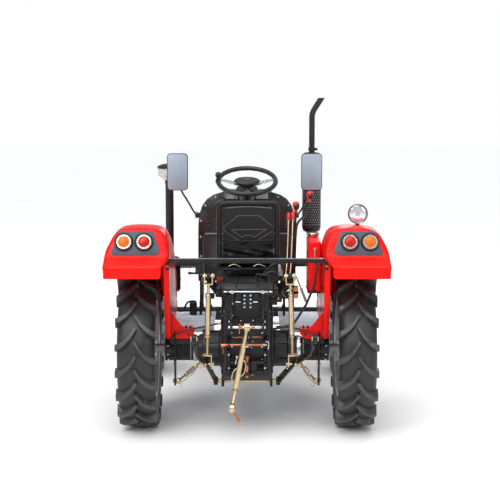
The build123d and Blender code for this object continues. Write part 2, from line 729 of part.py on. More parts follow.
def foot_plate():
    """Right foot plate with a turned-down edge, its two brackets and a slot for the pedal."""
    inner, outer = CLUTCH_HALF + STEP_GAP, PLATE_OUT - PLATE_T
    low = STEP_Z - STEP_EDGE
    plate = block(inner, outer, STEP_REAR, STEP_FRONT, STEP_Z - STEP_T, STEP_Z)
    plate += block(inner, outer, STEP_FRONT - STEP_T, STEP_FRONT, low, STEP_Z)
    for y in (300, 740):
        plate += block(CLUTCH_HALF, outer - 60, y, y + 40, low, STEP_Z - STEP_T)
    slot = PEDAL_ARM_R + 5
    return plate - block(PEDAL_X - slot, PEDAL_X + slot, PEDAL_Y, PEDAL_Y + 75, low - 6, STEP_Z + CUT)


def pedal(side):
    """One pedal with its arm and pivot boss on the clutch housing."""
    x = side * PEDAL_X
    pad_z = STEP_Z + PEDAL_TALL
    arm = bent_tube([(x, PEDAL_Y, PEDAL_PIVOT_Z), (x, PEDAL_Y + 60, STEP_Z + 30), (x, PEDAL_Y, pad_z)],
                    PEDAL_ARM_R, 60)
    boss = rod((side * CLUTCH_HALF, PEDAL_Y, PEDAL_PIVOT_Z), (x + side * 14, PEDAL_Y, PEDAL_PIVOT_Z), 16)
    half = PEDAL_PAD_HALF
    pad = block(x - half, x + half, PEDAL_Y - half, PEDAL_Y + half, pad_z - 4, pad_z + 6)
    return arm + boss + pad


def cowl_section(y, half, top, low):
    """Arched outline of the cowl at one place along the tractor."""
    crown = 0.41 * half
    shoulder = top - COWL_SHOULDER
    points = [(-half, y, low), (-half, y, shoulder), (-crown, y, top), (crown, y, top),
              (half, y, shoulder), (half, y, low)]
    return make_face(Polyline(*points, close=True))


def cowl_shell():
    """The cowl's outer form, which mirror arms and clamps end at."""
    return loft([cowl_section(COWL_REAR, COWL_HALF, COWL_TOP, COWL_BOTTOM),
                 cowl_section(COWL_FRONT, COWL_FRONT_HALF, COWL_FRONT_TOP, COWL_BOTTOM)])


def on_column(down):
    """A point on the steering column, at a distance below the wheel's centre."""
    tilt = math.radians(WHEEL_TILT)
    x, y, z = WHEEL_CENTRE
    return (x, y + down * math.sin(tilt), z - down * math.cos(tilt))


def cowl():
    """Arched cowl behind the bonnet, its side legs and the steering column's cover."""
    leg_out = COWL_HALF - 4 * LEG_T
    leg_in = leg_out - LEG_T
    leg = block(leg_in, leg_out, COWL_REAR + 5, LEG_FRONT, STEP_Z + 2, COWL_BOTTOM)
    leg += block(leg_in, COWL_HALF, COWL_REAR - 12, COWL_REAR + 5, STEP_Z, COWL_BOTTOM)
    body = cowl_shell() + leg + other_side(leg)
    body += block(-90, 90, COWL_REAR + 20, COWL_FRONT - 20, CLUTCH_TOP, COWL_BOTTOM)
    body += rod(on_column(COLUMN_TOP), on_column(300), COLUMN_NECK_R, COLUMN_R)
    body += rod(on_column(300), on_column(520), COLUMN_R)
    body -= rod(on_column(COLUMN_TOP - 5), on_column(170), SHAFT_R + FIT)
    return body + hinge_brackets()


def steering_wheel():
    """Steering wheel with three spokes, a hub, its shaft and a spinner knob."""
    plane = Plane(origin=WHEEL_CENTRE, x_dir=(1, 0, 0), z_dir=Vector(*on_column(0)) - Vector(*on_column(1)))
    wheel = plane * Torus(WHEEL_RIM_R, WHEEL_TUBE_R)
    wheel += plane * Pos(0, 0, -18) * Cylinder(38, 36)
    for degrees in (90, 210, 330):
        angle = math.radians(degrees)
        reach = WHEEL_RIM_R - 4
        wheel += plane * rod((0, 0, -18), (reach * math.cos(angle), reach * math.sin(angle), -3), SPOKE_R)
    wheel += plane * Pos(-WHEEL_RIM_R, 0, SPINNER_TALL / 2 + 5) * Cylinder(SPINNER_R, SPINNER_TALL)
    return wheel + rod(on_column(30), on_column(160), SHAFT_R)


def mirror_half(side):
    """One mirror with its arm and the clamp on the cowl."""
    x0, x1 = sorted(side * (MIRROR_X + half) for half in (-MIRROR_WIDE / 2, MIRROR_WIDE / 2))
    high = MIRROR_LOW + MIRROR_TALL
    case = along_y([(x0, MIRROR_LOW), (x0, high), (x1, high), (x1, MIRROR_LOW)],
                   MIRROR_Y, MIRROR_Y + MIRROR_T, radius=26)
    y, z = MIRROR_FOOT
    arm = bent_tube([(side * (COWL_HALF - 20), y, z), (side * (COWL_HALF + 25), y, z),
                     (side * (COWL_HALF + 95), y - 55, z + 140),
                     (side * MIRROR_X, MIRROR_Y + MIRROR_T / 2, MIRROR_LOW + 20)], MIRROR_ARM_R, 22)
    clamp = block(side * COWL_HALF, side * (COWL_HALF + 14), y - 20, y + 20, z - 16, z + 16)
    return (case + arm + clamp) - cowl_shell()


def lever(x0, y0, z0, x1, y1, z1, radius):
    """One lever's bent rod from its foot to its knob."""
    bend = (x0 + 0.45 * (x1 - x0) + 12, y0 + 0.45 * (y1 - y0), z0 + 0.45 * (z1 - z0))
    shape = bent_tube([(x0, y0, z0 - 3), bend, (x1, y1, z1)], radius, 120)
    return shape - block(x0 - 40, x0 + 40, y0 - 40, y0 + 40, z0 - 30, z0)


def levers():
    """Two gear levers and two hydraulic control rods."""
    return group(*[lever(*row) for row in LEVER_TABLE])


def lever_knobs():
    """Ball knobs on the gear levers and round grips on the control rods."""
    shapes = []
    for row in LEVER_TABLE:
        x, y, z, radius = row[3:]
        if radius == GEAR_ROD_R:
            knob = Pos(x, y, z + 14) * Sphere(KNOB_R)
        else:
            knob = rod((x, y, z - 4), (x, y, z - 4 + GRIP_LONG), GRIP_R, GRIP_R - 3)
        shapes.append(knob - lever(*row))
    return group(*shapes)


# ---------------------------------------------------------------- engine's outside
def muffler():
    """Upright muffler in a round shield, and its pipe from the engine."""
    x, y = STACK_X, STACK_Y
    shape = rod((x, y, MUFFLER_LOW), (x, y, MUFFLER_HIGH), MUFFLER_R)
    shape = fillet(shape.edges(), radius=16)
    return shape + bent_tube([(ENGINE_HALF, y, EXHAUST_Z), (x, y, EXHAUST_Z), (x, y, MUFFLER_LOW + 4)],
                             STACK_R, 60)


def exhaust_stack():
    """Tail pipe that bends outwards at its top and ends in a level cut."""
    x, y = STACK_X, STACK_Y
    bend, tip = (x, y, STACK_BEND_Z), (x + 75, y, STACK_TOP + 10)
    pipe = bent_tube([(x, y, MUFFLER_HIGH), bend, tip], STACK_R, 120)
    pipe -= block(x - 100, x + 200, y - 60, y + 60, STACK_TOP, STACK_TOP + 200)
    return pipe - bent_tube([(x, y, MUFFLER_HIGH + 69), bend, tip], STACK_R - STACK_WALL, 120)


def air_cleaner():
    """Air cleaner can, its duct, its stand pipe and the cap of the pre-cleaner."""
    x, y = CLEANER_X, CLEANER_Y
    can = fillet(rod((x, y, CLEANER_LOW), (x, y, CLEANER_HIGH), CLEANER_R).edges(), radius=14)
    can += rod((x, y, CLEANER_HIGH), (x, y, BOWL_LOW), CLEANER_PIPE_R)
    duct = rod((-ENGINE_HALF + 10, y + 60, DUCT_Z), (x + 50, y + 20, DUCT_Z), DUCT_R)
    can += duct - block(-ENGINE_HALF, 0, y, y + 120, 800, 1000)
    can += block(-COWL_HALF + 45, x, 1050, COWL_FRONT, 905, 960) & block(-COWL_HALF + 25, x, 0, 2000, 0, 2000)
    brim = BOWL_HIGH + 12
    cap = rod((x, y, BOWL_HIGH), (x, y, brim), BOWL_R + 4) + rod((x, y, brim), (x, y, CAP_TOP), BOWL_R + 4, 40)
    return group(can, cap)


def precleaner_bowl():
    """Clear bowl of the pre-cleaner."""
    x, y = CLEANER_X, CLEANER_Y
    waist = BOWL_LOW + 34
    return rod((x, y, BOWL_LOW), (x, y, waist), 48, BOWL_R) + rod((x, y, waist), (x, y, BOWL_HIGH), BOWL_R)


def radiator():
    """Radiator on the front bracket."""
    y0, y1 = RADIATOR_Y, RADIATOR_Y + RADIATOR_DEEP
    core = block(-RADIATOR_HALF, RADIATOR_HALF, y0, y1, RAIL_TOP, RADIATOR_TOP)
    header_half = RADIATOR_HALF - HEADER_TALL
    return core + block(-header_half, header_half, y0 + 5, y1 - 5, RADIATOR_TOP, RADIATOR_TOP + HEADER_TALL)


def hydraulic_hoses():
    """Hoses from the tank to the gearbox and from the lift cover to its valve block."""
    feed = bent_tube([(458, 0, 1090), (458, -80, 1090), (440, -110, 960), (385, -130, 830),
                      (300, -150, 700), (GEARBOX_HALF - 10, -150, 668)], HOSE_R, [34, 60, 90, 60])
    feed -= block(0, GEARBOX_HALF, -200, -100, 600, 800)
    loop = bent_tube([(60, -120, LIFT_TOP), (60, -120, LIFT_TOP + 26), (115, -150, LIFT_TOP + 26),
                      (190, -110, LIFT_TOP - 10), (190, -80, VALVE_TOP - 8)], HOSE_R, [12, 24, 24])
    loop -= block(LIFT_HALF, LIFT_HALF + 100, VALVE_REAR, VALVE_FRONT, VALVE_TOP - 40, VALVE_TOP)
    return group(feed, loop)


# ---------------------------------------------------------------- front frame and axle
def front_bracket():
    """Front frame: rails ahead of the engine, axle hangers and the bumper."""
    half = RAIL_OUT
    low = RAIL_TOP - RAIL_TALL
    rail = block(RAIL_IN, RAIL_OUT, ENGINE_FRONT, FRONT_REACH - BUMPER_T, low, RAIL_TOP)
    frame = rail + other_side(rail)
    frame += block(-half, half, ENGINE_FRONT, ENGINE_FRONT + 16, low, RAIL_TOP + 90)
    beam_front = WHEELBASE + BEAM_DEEP / 2 + RUN
    beam_rear = WHEELBASE - BEAM_DEEP / 2 - RUN - HANGER_T
    for y in (beam_rear, beam_front):
        frame += block(-half, half, y, y + HANGER_T, BEAM_Z - 34, low + HANGER_T)
        frame -= rod((0, y - CUT, BEAM_Z), (0, y + HANGER_T + CUT, BEAM_Z), AXLE_PIN_R + FIT)
    frame += block(-half, half, RADIATOR_Y - 20, RADIATOR_Y + RADIATOR_DEEP + 18, RAIL_TOP - 12, RAIL_TOP)
    return frame + block(-BUMPER_HALF, BUMPER_HALF, FRONT_REACH - BUMPER_T, FRONT_REACH,
                         RAIL_TOP - 110, RAIL_TOP + 70)


def front_axle():
    """Axle beam with telescopic ends, kingpin bushes and the steering ram's barrel."""
    y, z = WHEELBASE, BEAM_Z
    half = BEAM_DEEP / 2
    low = z - BEAM_TALL / 2
    beam = block(-BEAM_HALF, BEAM_HALF, y - half, y + half, low, z + BEAM_TALL / 2)
    thick = BEAM_ARM_HALF
    arm = block(BEAM_HALF - 10, KINGPIN_X, y - thick, y + thick, z - thick, z + thick)
    arm += rod((KINGPIN_X, y, BUSH_LOW), (KINGPIN_X, y, BUSH_HIGH), BUSH_R)
    arm -= rod((KINGPIN_X, y, BUSH_LOW - CUT), (KINGPIN_X, y, BUSH_HIGH + CUT), KINGPIN_R + FIT)
    beam += arm + other_side(arm)
    ram_y = y + RAM_ARM
    beam += rod((-20, ram_y, RAM_Z), (-360, ram_y, RAM_Z), RAM_R)
    beam += block(-90, -30, y + half - 25, ram_y, RAM_Z + 6, low)
    beam -= rod((-60, ram_y, RAM_Z), (-360 - CUT, ram_y, RAM_Z), RAM_ROD_R + FIT)
    pin_half = half + RUN + HANGER_T + 3
    return beam + rod((0, y - pin_half, z), (0, y + pin_half, z), AXLE_PIN_R)


# ---------------------------------------------------------------- steering and wheels
def knuckle(side):
    """Steering knuckle: kingpin, stub axle and the arms for tie rod and ram."""
    x, y, z = side * KINGPIN_X, WHEELBASE, FRONT_RADIUS
    cap = BUSH_HIGH + 14
    shape = rod((x, y, BUSH_LOW - 20), (x, y, cap), KINGPIN_R)
    shape += rod((x, y, BUSH_HIGH + RUN), (x, y, cap), BUSH_R - 4)
    shape += rod((x, y, z - BUSH_R), (x, y, BUSH_LOW - RUN), BUSH_R)
    shape += rod((x, y, z), (side * STUB_END, y, z), STUB_R)
    low = TIE_Z - TIE_R - 8 - ARM_T
    high = low + ARM_T
    arm = block(x - ARM_HALF, x + ARM_HALF, y - TIE_ARM, y, low, high)
    arm += rod((x, y - TIE_ARM, low), (x, y - TIE_ARM, high), ARM_HALF)
    arm += rod((x, y - TIE_ARM, low), (x, y - TIE_ARM, TIE_Z + 16), TIE_PIN_R)
    if side < 0:
        arm += block(x - ARM_HALF, x + ARM_HALF, y, y + RAM_ARM, low, high)
        arm += rod((x, y + RAM_ARM, low), (x, y + RAM_ARM, high), ARM_HALF)
    return shape + arm


def tie_rod():
    """Tie rod between the two knuckles' arms."""
    y = WHEELBASE - TIE_ARM
    shape = rod((-KINGPIN_X, y, TIE_Z), (KINGPIN_X, y, TIE_Z), TIE_R)
    for x in (-KINGPIN_X, KINGPIN_X):
        shape += rod((x, y, TIE_Z - TIE_R - 6), (x, y, TIE_Z + TIE_R), TIE_EYE_R)
        shape -= rod((x, y, TIE_Z - 60), (x, y, TIE_Z + 60), TIE_PIN_R + FIT)
    return shape


def steering_rod():
    """Rod of the steering ram with its eye over the left knuckle's front arm."""
    y = WHEELBASE + RAM_ARM
    shape = rod((-190, y, RAM_Z), (-KINGPIN_X + 4, y, RAM_Z), RAM_ROD_R)
    return shape + rod((-KINGPIN_X, y, RAM_Z - 14), (-KINGPIN_X, y, RAM_Z + 14), TIE_EYE_R)


def tyre_profile(radius, width, bead, rim_half, flange, tread_share):
    """A tyre's outline as (across, radius) points, from bead to tread and back."""
    half = width / 2
    tall = radius - bead
    seat = rim_half - SEAT
    right = [(seat, bead + SEAT), (seat, bead + flange + 5), (half, bead + 0.52 * tall),
             (half * tread_share, radius - 0.05 * tall), (half * tread_share * 0.8, radius)]
    left = [(-u, r) for u, r in reversed(right)]
    return right + left


def faceted(faces):
    """A solid from flat faces, each a list of its corners."""
    return Solid(Shell([Face(Wire.make_polygon(corners, close=True)) for corners in faces]))


def ring(profile, count, y, z, x):
    """A closed (across, radius) profile carried round the line through (y, z) in flat facets.

    One row of corners is lowest. The row nearest the line is pushed out so that its
    facets' middles keep that radius.
    """
    bore = min(r for u, r in profile)
    points = [(u, r / math.cos(math.pi / count) if r == bore else r) for u, r in profile]

    def at(point, turn):
        return (x + point[0], y + point[1] * math.sin(turn), z - point[1] * math.cos(turn))

    faces = []
    for number in range(count):
        first, second = math.tau * number / count, math.tau * (number + 1) / count
        for p, q in zip(points, points[1:] + points[:1]):
            faces.append([at(p, first), at(q, first), at(q, second), at(p, second)])
    return faceted(faces)


def lug():
    """One tread lug: a bar from the tyre's middle out to its shoulder, one corner lowest."""
    foot_r = REAR_RADIUS - LUG_TALL - 12
    top_half = math.asin(LUG_TOP / 2 / REAR_RADIUS)
    foot_half = math.asin(LUG_FOOT / 2 / foot_r)

    def at(share, aside, radius):
        u = LUG_INNER + (LUG_OUTER - LUG_INNER) * share
        turn = top_half + math.radians(LUG_SWEEP) * share + aside
        return (REAR_TRACK / 2 + u, radius * math.sin(turn), REAR_RADIUS - radius * math.cos(turn))

    def section(share):
        top_r = REAR_RADIUS - LUG_TALL * 0.5 * share ** 3
        return [at(share, -foot_half, foot_r), at(share, -top_half, top_r),
                at(share, top_half, top_r), at(share, foot_half, foot_r)]

    inner, middle, outer = section(0.0), section(0.5), section(1.0)
    faces = [inner[::-1], outer]
    for near, far in ((inner, middle), (middle, outer)):
        for n in range(4):
            m = (n + 1) % 4
            faces += [[near[n], near[m], far[m]], [near[n], far[m], far[n]]]
    return faceted(faces)


def rear_tyre():
    """Right rear tyre with a ring of lugs on each side, half a pitch apart."""
    profile = tyre_profile(REAR_RADIUS - LUG_TALL, REAR_WIDTH, REAR_BEAD, RIM_HALF, RIM_FLANGE, TREAD_SHARE)
    tyre = ring(profile, REAR_FACETS, 0, REAR_RADIUS, REAR_TRACK / 2)
    axis = Axis((0, 0, REAR_RADIUS), (1, 0, 0))
    pitch = 360 / LUG_COUNT
    right = lug()
    left = mirror(right, about=Plane.YZ.offset(REAR_TRACK / 2))
    lugs = []
    for number in range(LUG_COUNT):
        lugs += [right.rotate(axis, pitch * number), left.rotate(axis, pitch * (number + 0.5))]
    return tyre.fuse(*lugs)


def front_tyre():
    """Right front tyre."""
    profile = tyre_profile(FRONT_RADIUS, FRONT_WIDTH, FRONT_BEAD, FRONT_RIM_HALF, FRONT_RIM_FLANGE,
                           FRONT_TREAD_SHARE)
    return ring(profile, FRONT_FACETS, WHEELBASE, FRONT_RADIUS, FRONT_TRACK / 2)


def rim_profile(half, bead, flange, lip, wall, well):
    """A rim's outline as (across, radius) points, from one flange to the other and back."""
    low = bead - wall
    return [(-half - lip, low), (-half - lip, bead + flange), (-half, bead + flange), (-half, bead),
            (half, bead), (half, bead + flange), (half + lip, bead + flange), (half + lip, low),
            (half - 10, low), (half - 10 - 0.9 * well, bead - well), (-half + 10 + 0.9 * well, bead - well),
            (-half + 10, low)]


def rear_rim():
    """Right rear wheel: rim, dished disc, hub and axle shaft."""
    centre = REAR_TRACK / 2
    profile = rim_profile(RIM_HALF, REAR_BEAD, RIM_FLANGE, RIM_LIP, RIM_WALL, RIM_WELL)
    shape = turned(profile, 0, REAR_RADIUS, centre)
    face = HUB_FACE - centre
    web = REAR_BEAD - RIM_WELL + 2
    disc = [(face, 0), (face, 130), (face + 50, 200), (face + 50, web), (face + 58, web),
            (face + 58, 196), (face + DISC_T, 126), (face + DISC_T, 0)]
    shape += turned(disc, 0, REAR_RADIUS, centre)
    for number in range(DISC_HOLES):
        angle = math.tau * (number + 0.5) / DISC_HOLES
        y, z = DISC_HOLE_RING * math.cos(angle), REAR_RADIUS + DISC_HOLE_RING * math.sin(angle)
        shape -= rod((HUB_FACE, y, z), (HUB_FACE + 90, y, z), DISC_HOLE_R)
    shape += rod((HUB_FACE - HUB_T, 0, REAR_RADIUS), (HUB_FACE, 0, REAR_RADIUS), HUB_R)
    shape += rod((HOUSING_END - SHAFT_DEEP + 5, 0, REAR_RADIUS), (HUB_FACE, 0, REAR_RADIUS), AXLE_SHAFT_R)
    return shape + rod((HUB_FACE, 0, REAR_RADIUS), (HUB_FACE + HUB_CAP_LONG, 0, REAR_RADIUS),
                       HUB_CAP_R, HUB_CAP_R - 8)


def front_rim():
    """Right front wheel: rim, disc and hub on the stub axle."""
    y, z, centre = WHEELBASE, FRONT_RADIUS, FRONT_TRACK / 2
    profile = rim_profile(FRONT_RIM_HALF, FRONT_BEAD, FRONT_RIM_FLANGE, FRONT_RIM_LIP, FRONT_RIM_WALL,
                          FRONT_RIM_WELL)
    shape = turned(profile, y, z, centre)
    web = FRONT_BEAD - FRONT_RIM_WELL + 2
    disc = [(20, 0), (20, 100), (-4, 130), (-4, web), (3, web), (3, 134), (27, 104), (27, 0)]
    shape += turned(disc, y, z, centre)
    inner = centre - FRONT_HUB_IN
    shape += rod((inner, y, z), (centre + FRONT_HUB_OUT, y, z), FRONT_HUB_R, FRONT_HUB_R - 8)
    return shape - rod((inner - CUT, y, z), (STUB_END + 2, y, z), STUB_R + FIT)


# ---------------------------------------------------------------- hitch
def between(p, q, distance):
    """The (y, z) point at a distance from p towards q."""
    long = math.dist(p, q)
    return (p[0] + (q[0] - p[0]) * distance / long, p[1] + (q[1] - p[1]) * distance / long)


def flat_bar(x0, p, x1, q, thick, tall):
    """A flat bar from (x0, p) to (x1, q), its height square to its run in side view."""
    run = Vector(x1 - x0, q[0] - p[0], q[1] - p[1])
    ahead = run.normalized()
    plane = Plane(origin=(x0, p[0], p[1]), x_dir=Vector(1, 0, 0) - ahead * ahead.X, z_dir=run)
    return plane * Pos(0, 0, run.length / 2) * Box(thick, tall, run.length)


def cross_rod(x, half, point, radius):
    """A round piece along X, centred on x, through a (y, z) point."""
    return rod((x - half, *point), (x + half, *point), radius)


def lift_arms():
    """Rockshaft with its two lift arms."""
    shape = cross_rod(0, BOSS_HALF + 42, ROCKSHAFT, ROCKSHAFT_R)
    for side in (-1, 1):
        hub, tip = side * (BOSS_HALF + 20), ARM_X[side]
        shape += cross_rod(hub, 15, ROCKSHAFT, ARM_HUB_R)
        shape += flat_bar(hub, ROCKSHAFT, tip, between(ARM_END, ROCKSHAFT, 70), 22, 44)
        shape += flat_bar(tip, between(ARM_END, ROCKSHAFT, 84), tip, ARM_END, 24, 36)
        shape += cross_rod(tip, 12, ARM_END, 2 * PIN_R)
        shape -= cross_rod(tip, 20, ARM_END, PIN_R + FIT)
    return shape


def clevis(x, eye, towards, inside, thick, reach, ear_r):
    """Two ears round an eye, joined by a crown at a reach from it."""
    crown = between(eye, towards, reach)
    back = between(eye, towards, reach + thick)
    shape = flat_bar(x, crown, x, back, 2 * (inside + thick), 2 * ear_r)
    for side in (-1, 1):
        mid = x + side * (inside + thick / 2)
        shape += flat_bar(mid, eye, mid, back, thick, 2 * ear_r)
        shape += cross_rod(mid, thick / 2, eye, ear_r)
    return shape


def lift_rod(side):
    """Lift rod: a clevis at each end, threaded ends, nuts and a thick middle tube."""
    top_x, low_x = ARM_X[side], MID_X[side]
    long = math.dist(ARM_END, LINK_MID)

    def at(distance):
        y, z = between(ARM_END, LINK_MID, distance)
        return (top_x + (low_x - top_x) * distance / long, y, z)

    shape = clevis(top_x, ARM_END, LINK_MID, HIGH_INSIDE, CLEVIS_T, 52, 2 * PIN_R)
    shape += cross_rod(top_x, HIGH_INSIDE + CLEVIS_T + 5, ARM_END, PIN_R)
    shape += rod(at(56), at(150), THREAD_R)
    shape += rod(at(134), at(392), ROD_TUBE_R)
    shape += rod(at(398), at(412), ROD_TUBE_R)
    shape += rod(at(390), at(long - 70), THREAD_R)
    shape += clevis(low_x, LINK_MID, ARM_END, LOW_INSIDE, CLEVIS_T, 64, 24)
    return shape - cross_rod(low_x, 40, LINK_MID, FLOAT_R)


def lower_link(side):
    """Lower link with a ball joint at each end and the lift rod's pin."""
    long = math.dist(LINK_PIVOT, LINK_END)

    def at(distance):
        share = distance / long
        return (PIVOT_X[side] + (END_X[side] - PIVOT_X[side]) * share, between(LINK_PIVOT, LINK_END, distance))

    shape = flat_bar(*at(20), *at(long - 22), LINK_T, LINK_TALL)
    for x, point in ((PIVOT_X[side], LINK_PIVOT), (END_X[side], LINK_END)):
        shape += cross_rod(x, BALL_WIDE / 2, point, BALL_R)
    shape += cross_rod(MID_X[side], LOW_INSIDE + 12, LINK_MID, LINK_PIN_R)
    shape -= cross_rod(PIVOT_X[side], BALL_WIDE, LINK_PIVOT, CROSS_R + FIT)
    return shape - cross_rod(END_X[side], BALL_WIDE, LINK_END, BALL_BORE_R)


def stabiliser(side):
    """Turnbuckle from the axle's hanger to the lower link, turning with the link."""
    outer = Vector(side * STAY_X, *LINK_PIVOT)
    end = Vector(PIVOT_X[side] + (END_X[side] - PIVOT_X[side]) * STAY_SHARE + side * 9,
                 LINK_PIVOT[0] + (LINK_END[0] - LINK_PIVOT[0]) * STAY_SHARE,
                 LINK_PIVOT[1] + (LINK_END[1] - LINK_PIVOT[1]) * STAY_SHARE)

    def at(part):
        return tuple(outer + (end - outer) * part)

    shape = rod(at(0.05), at(0.97), STAY_R) + rod(at(0.3), at(0.72), STAY_TUBE_R)
    shape += cross_rod(side * STAY_X, 12, LINK_PIVOT, STAY_EYE_R)
    return shape - cross_rod(side * STAY_X, 20, LINK_PIVOT, PIN_R + FIT)


def top_link():
    """Top link hanging from its bracket: turnbuckle tube, threaded ends and eyes."""
    y, z = TOP_PIN

    def at(distance):
        return (-TOP_LINK_LEAN * distance / TOP_LINK_LONG, y, z - distance)

    low_eye = (y, z - TOP_LINK_LONG)
    shape = cross_rod(0, TOP_EYE_HALF, TOP_PIN, TOP_EYE_R - 1)
    shape += rod(at(20), at(130), TOP_THREAD_R) + rod(at(112), at(130), TOP_LINK_R - 1)
    shape += rod(at(130), at(400), TOP_LINK_R)
    shape += rod(at(400), at(425), TOP_LINK_R - 2) + rod(at(420), at(TOP_LINK_LONG - 20), TOP_THREAD_R)
    shape += cross_rod(-TOP_LINK_LEAN, TOP_EYE_HALF, low_eye, TOP_EYE_R)
    shape -= cross_rod(0, TOP_EYE_HALF + 10, TOP_PIN, PIN_R + FIT)
    return shape - cross_rod(-TOP_LINK_LEAN, TOP_EYE_HALF + 10, low_eye, TOP_BORE_R)


# ---------------------------------------------------------------- bonnet
def bonnet_line():
    """The bonnet's side outline from the cowl over the nose, open downwards, as (y, z)."""
    nose, top, low = BONNET_NOSE, BONNET_TOP, NOSE_LOW - 400
    return [(BONNET_REAR, low), (BONNET_REAR, top), (nose - 360, top - 80), (nose - 100, top - 165),
            (nose, top - 290), (nose, low)]


def bonnet_form(wall):
    """The bonnet's outer form, or its inside when a wall is given."""
    half = BONNET_HALF
    low, top = NOSE_LOW - 400, BONNET_TOP
    section = make_face(FilletPolyline((-half, 0, low), (-half, 0, top), (half, 0, top), (half, 0, low),
                                       radius=BONNET_ROUND, close=True))
    profile = outline([(0, y, z) for y, z in bonnet_line()])
    if wall:
        section = offset(section, amount=-wall)
        profile = offset(profile, amount=-wall)
    deep = extrude(section, amount=1.2 * BONNET_NOSE, dir=(0, 1, 0))
    return deep & extrude(profile, amount=2 * half, dir=(1, 0, 0), both=True)


def bonnet():
    """Bonnet shell, open below and behind, with a window for the grille and two for lamps."""
    half, wall, nose_y = BONNET_HALF, BONNET_WALL, BONNET_NOSE
    shell = bonnet_form(0) - bonnet_form(wall)
    shell -= block(-half - CUT, half + CUT, BONNET_REAR - CUT, nose_y + CUT, NOSE_LOW - 401, BONNET_BOTTOM)
    shell -= block(-half + 2 * wall, half - 2 * wall, BONNET_REAR - CUT, BONNET_REAR + 10,
                   BONNET_BOTTOM - CUT, BONNET_TOP - BONNET_ROUND - 5)
    nose = block(-half, half, NOSE_REAR, nose_y, NOSE_LOW, BONNET_BOTTOM)
    nose -= block(-half + wall, half - wall, NOSE_REAR - CUT, nose_y - wall, NOSE_LOW - CUT, BONNET_BOTTOM)
    window = block(-GRILLE_HALF, GRILLE_HALF, nose_y - 30, nose_y + CUT, GRILLE_LOW, GRILLE_HIGH)
    for x in (-HEADLAMP_X, HEADLAMP_X):
        window += rod((x, nose_y - 30, HEADLAMP_Z), (x, nose_y + CUT, HEADLAMP_Z), HEADLAMP_R)
    return shell + nose - window + bonnet_knuckles()


def bonnet_knuckles():
    """Hinge eyes on the bonnet's rear edge."""
    y, z = HINGE_Y, HINGE_Z
    left, right = HINGE_X - HINGE_EYE_HALF, HINGE_X + HINGE_EYE_HALF
    shape = rod((left, y, z), (right, y, z), HINGE_EYE_R)
    shape += block(left, right, y, y + 26, BONNET_TOP - CUT, z - HINGE_PIN_R)
    shape -= rod((left - 6, y, z), (right + 6, y, z), HINGE_PIN_R + FIT)
    return shape + other_side(shape)


def hinge_brackets():
    """Forked hinge brackets on the cowl, each with its pin."""
    y, z = HINGE_Y, HINGE_Z
    reach = HINGE_EYE_HALF + 2 + HINGE_EAR
    left, right = HINGE_X - reach, HINGE_X + reach
    fork = rod((left, y, z), (right, y, z), HINGE_PIN_R)
    for x in (left, right - HINGE_EAR):
        fork += rod((x, y, z), (x + HINGE_EAR, y, z), HINGE_EYE_R)
        fork += block(x, x + HINGE_EAR, COWL_FRONT, y, z - HINGE_EYE_R, z + HINGE_EYE_R)
    fork += block(left, right, COWL_FRONT - 4, COWL_FRONT + 8, z - HINGE_EYE_R, z + HINGE_EYE_R)
    return fork + other_side(fork)


def grille():
    """Grille in the bonnet's nose: a frame with upright bars."""
    y0, y1 = BONNET_NOSE - GRILLE_T, BONNET_NOSE
    half, low, high, edge = GRILLE_HALF, GRILLE_LOW, GRILLE_HIGH, GRILLE_EDGE
    frame = block(-half, half, y0, y1, low, high)
    frame -= block(-half + edge, half - edge, y0 - CUT, y1 + CUT, low + edge, high - edge)
    for number in range(GRILLE_BARS):
        x = (number - (GRILLE_BARS - 1) / 2) * GRILLE_PITCH
        frame += block(x - GRILLE_BAR / 2, x + GRILLE_BAR / 2, y0, y1 - 3, low, high)
    return frame


def headlamps():
    """Two headlamps in the bonnet's nose."""
    x, z, face = HEADLAMP_X, HEADLAMP_Z, BONNET_NOSE - 1
    shape = rod((x, BONNET_NOSE - HEADLAMP_DEEP, z), (x, face, z), HEADLAMP_R - SEAT)
    return pair(shape + rod((x, face, z), (x, BONNET_NOSE, z), HEADLAMP_R - 8, HEADLAMP_R - 12))
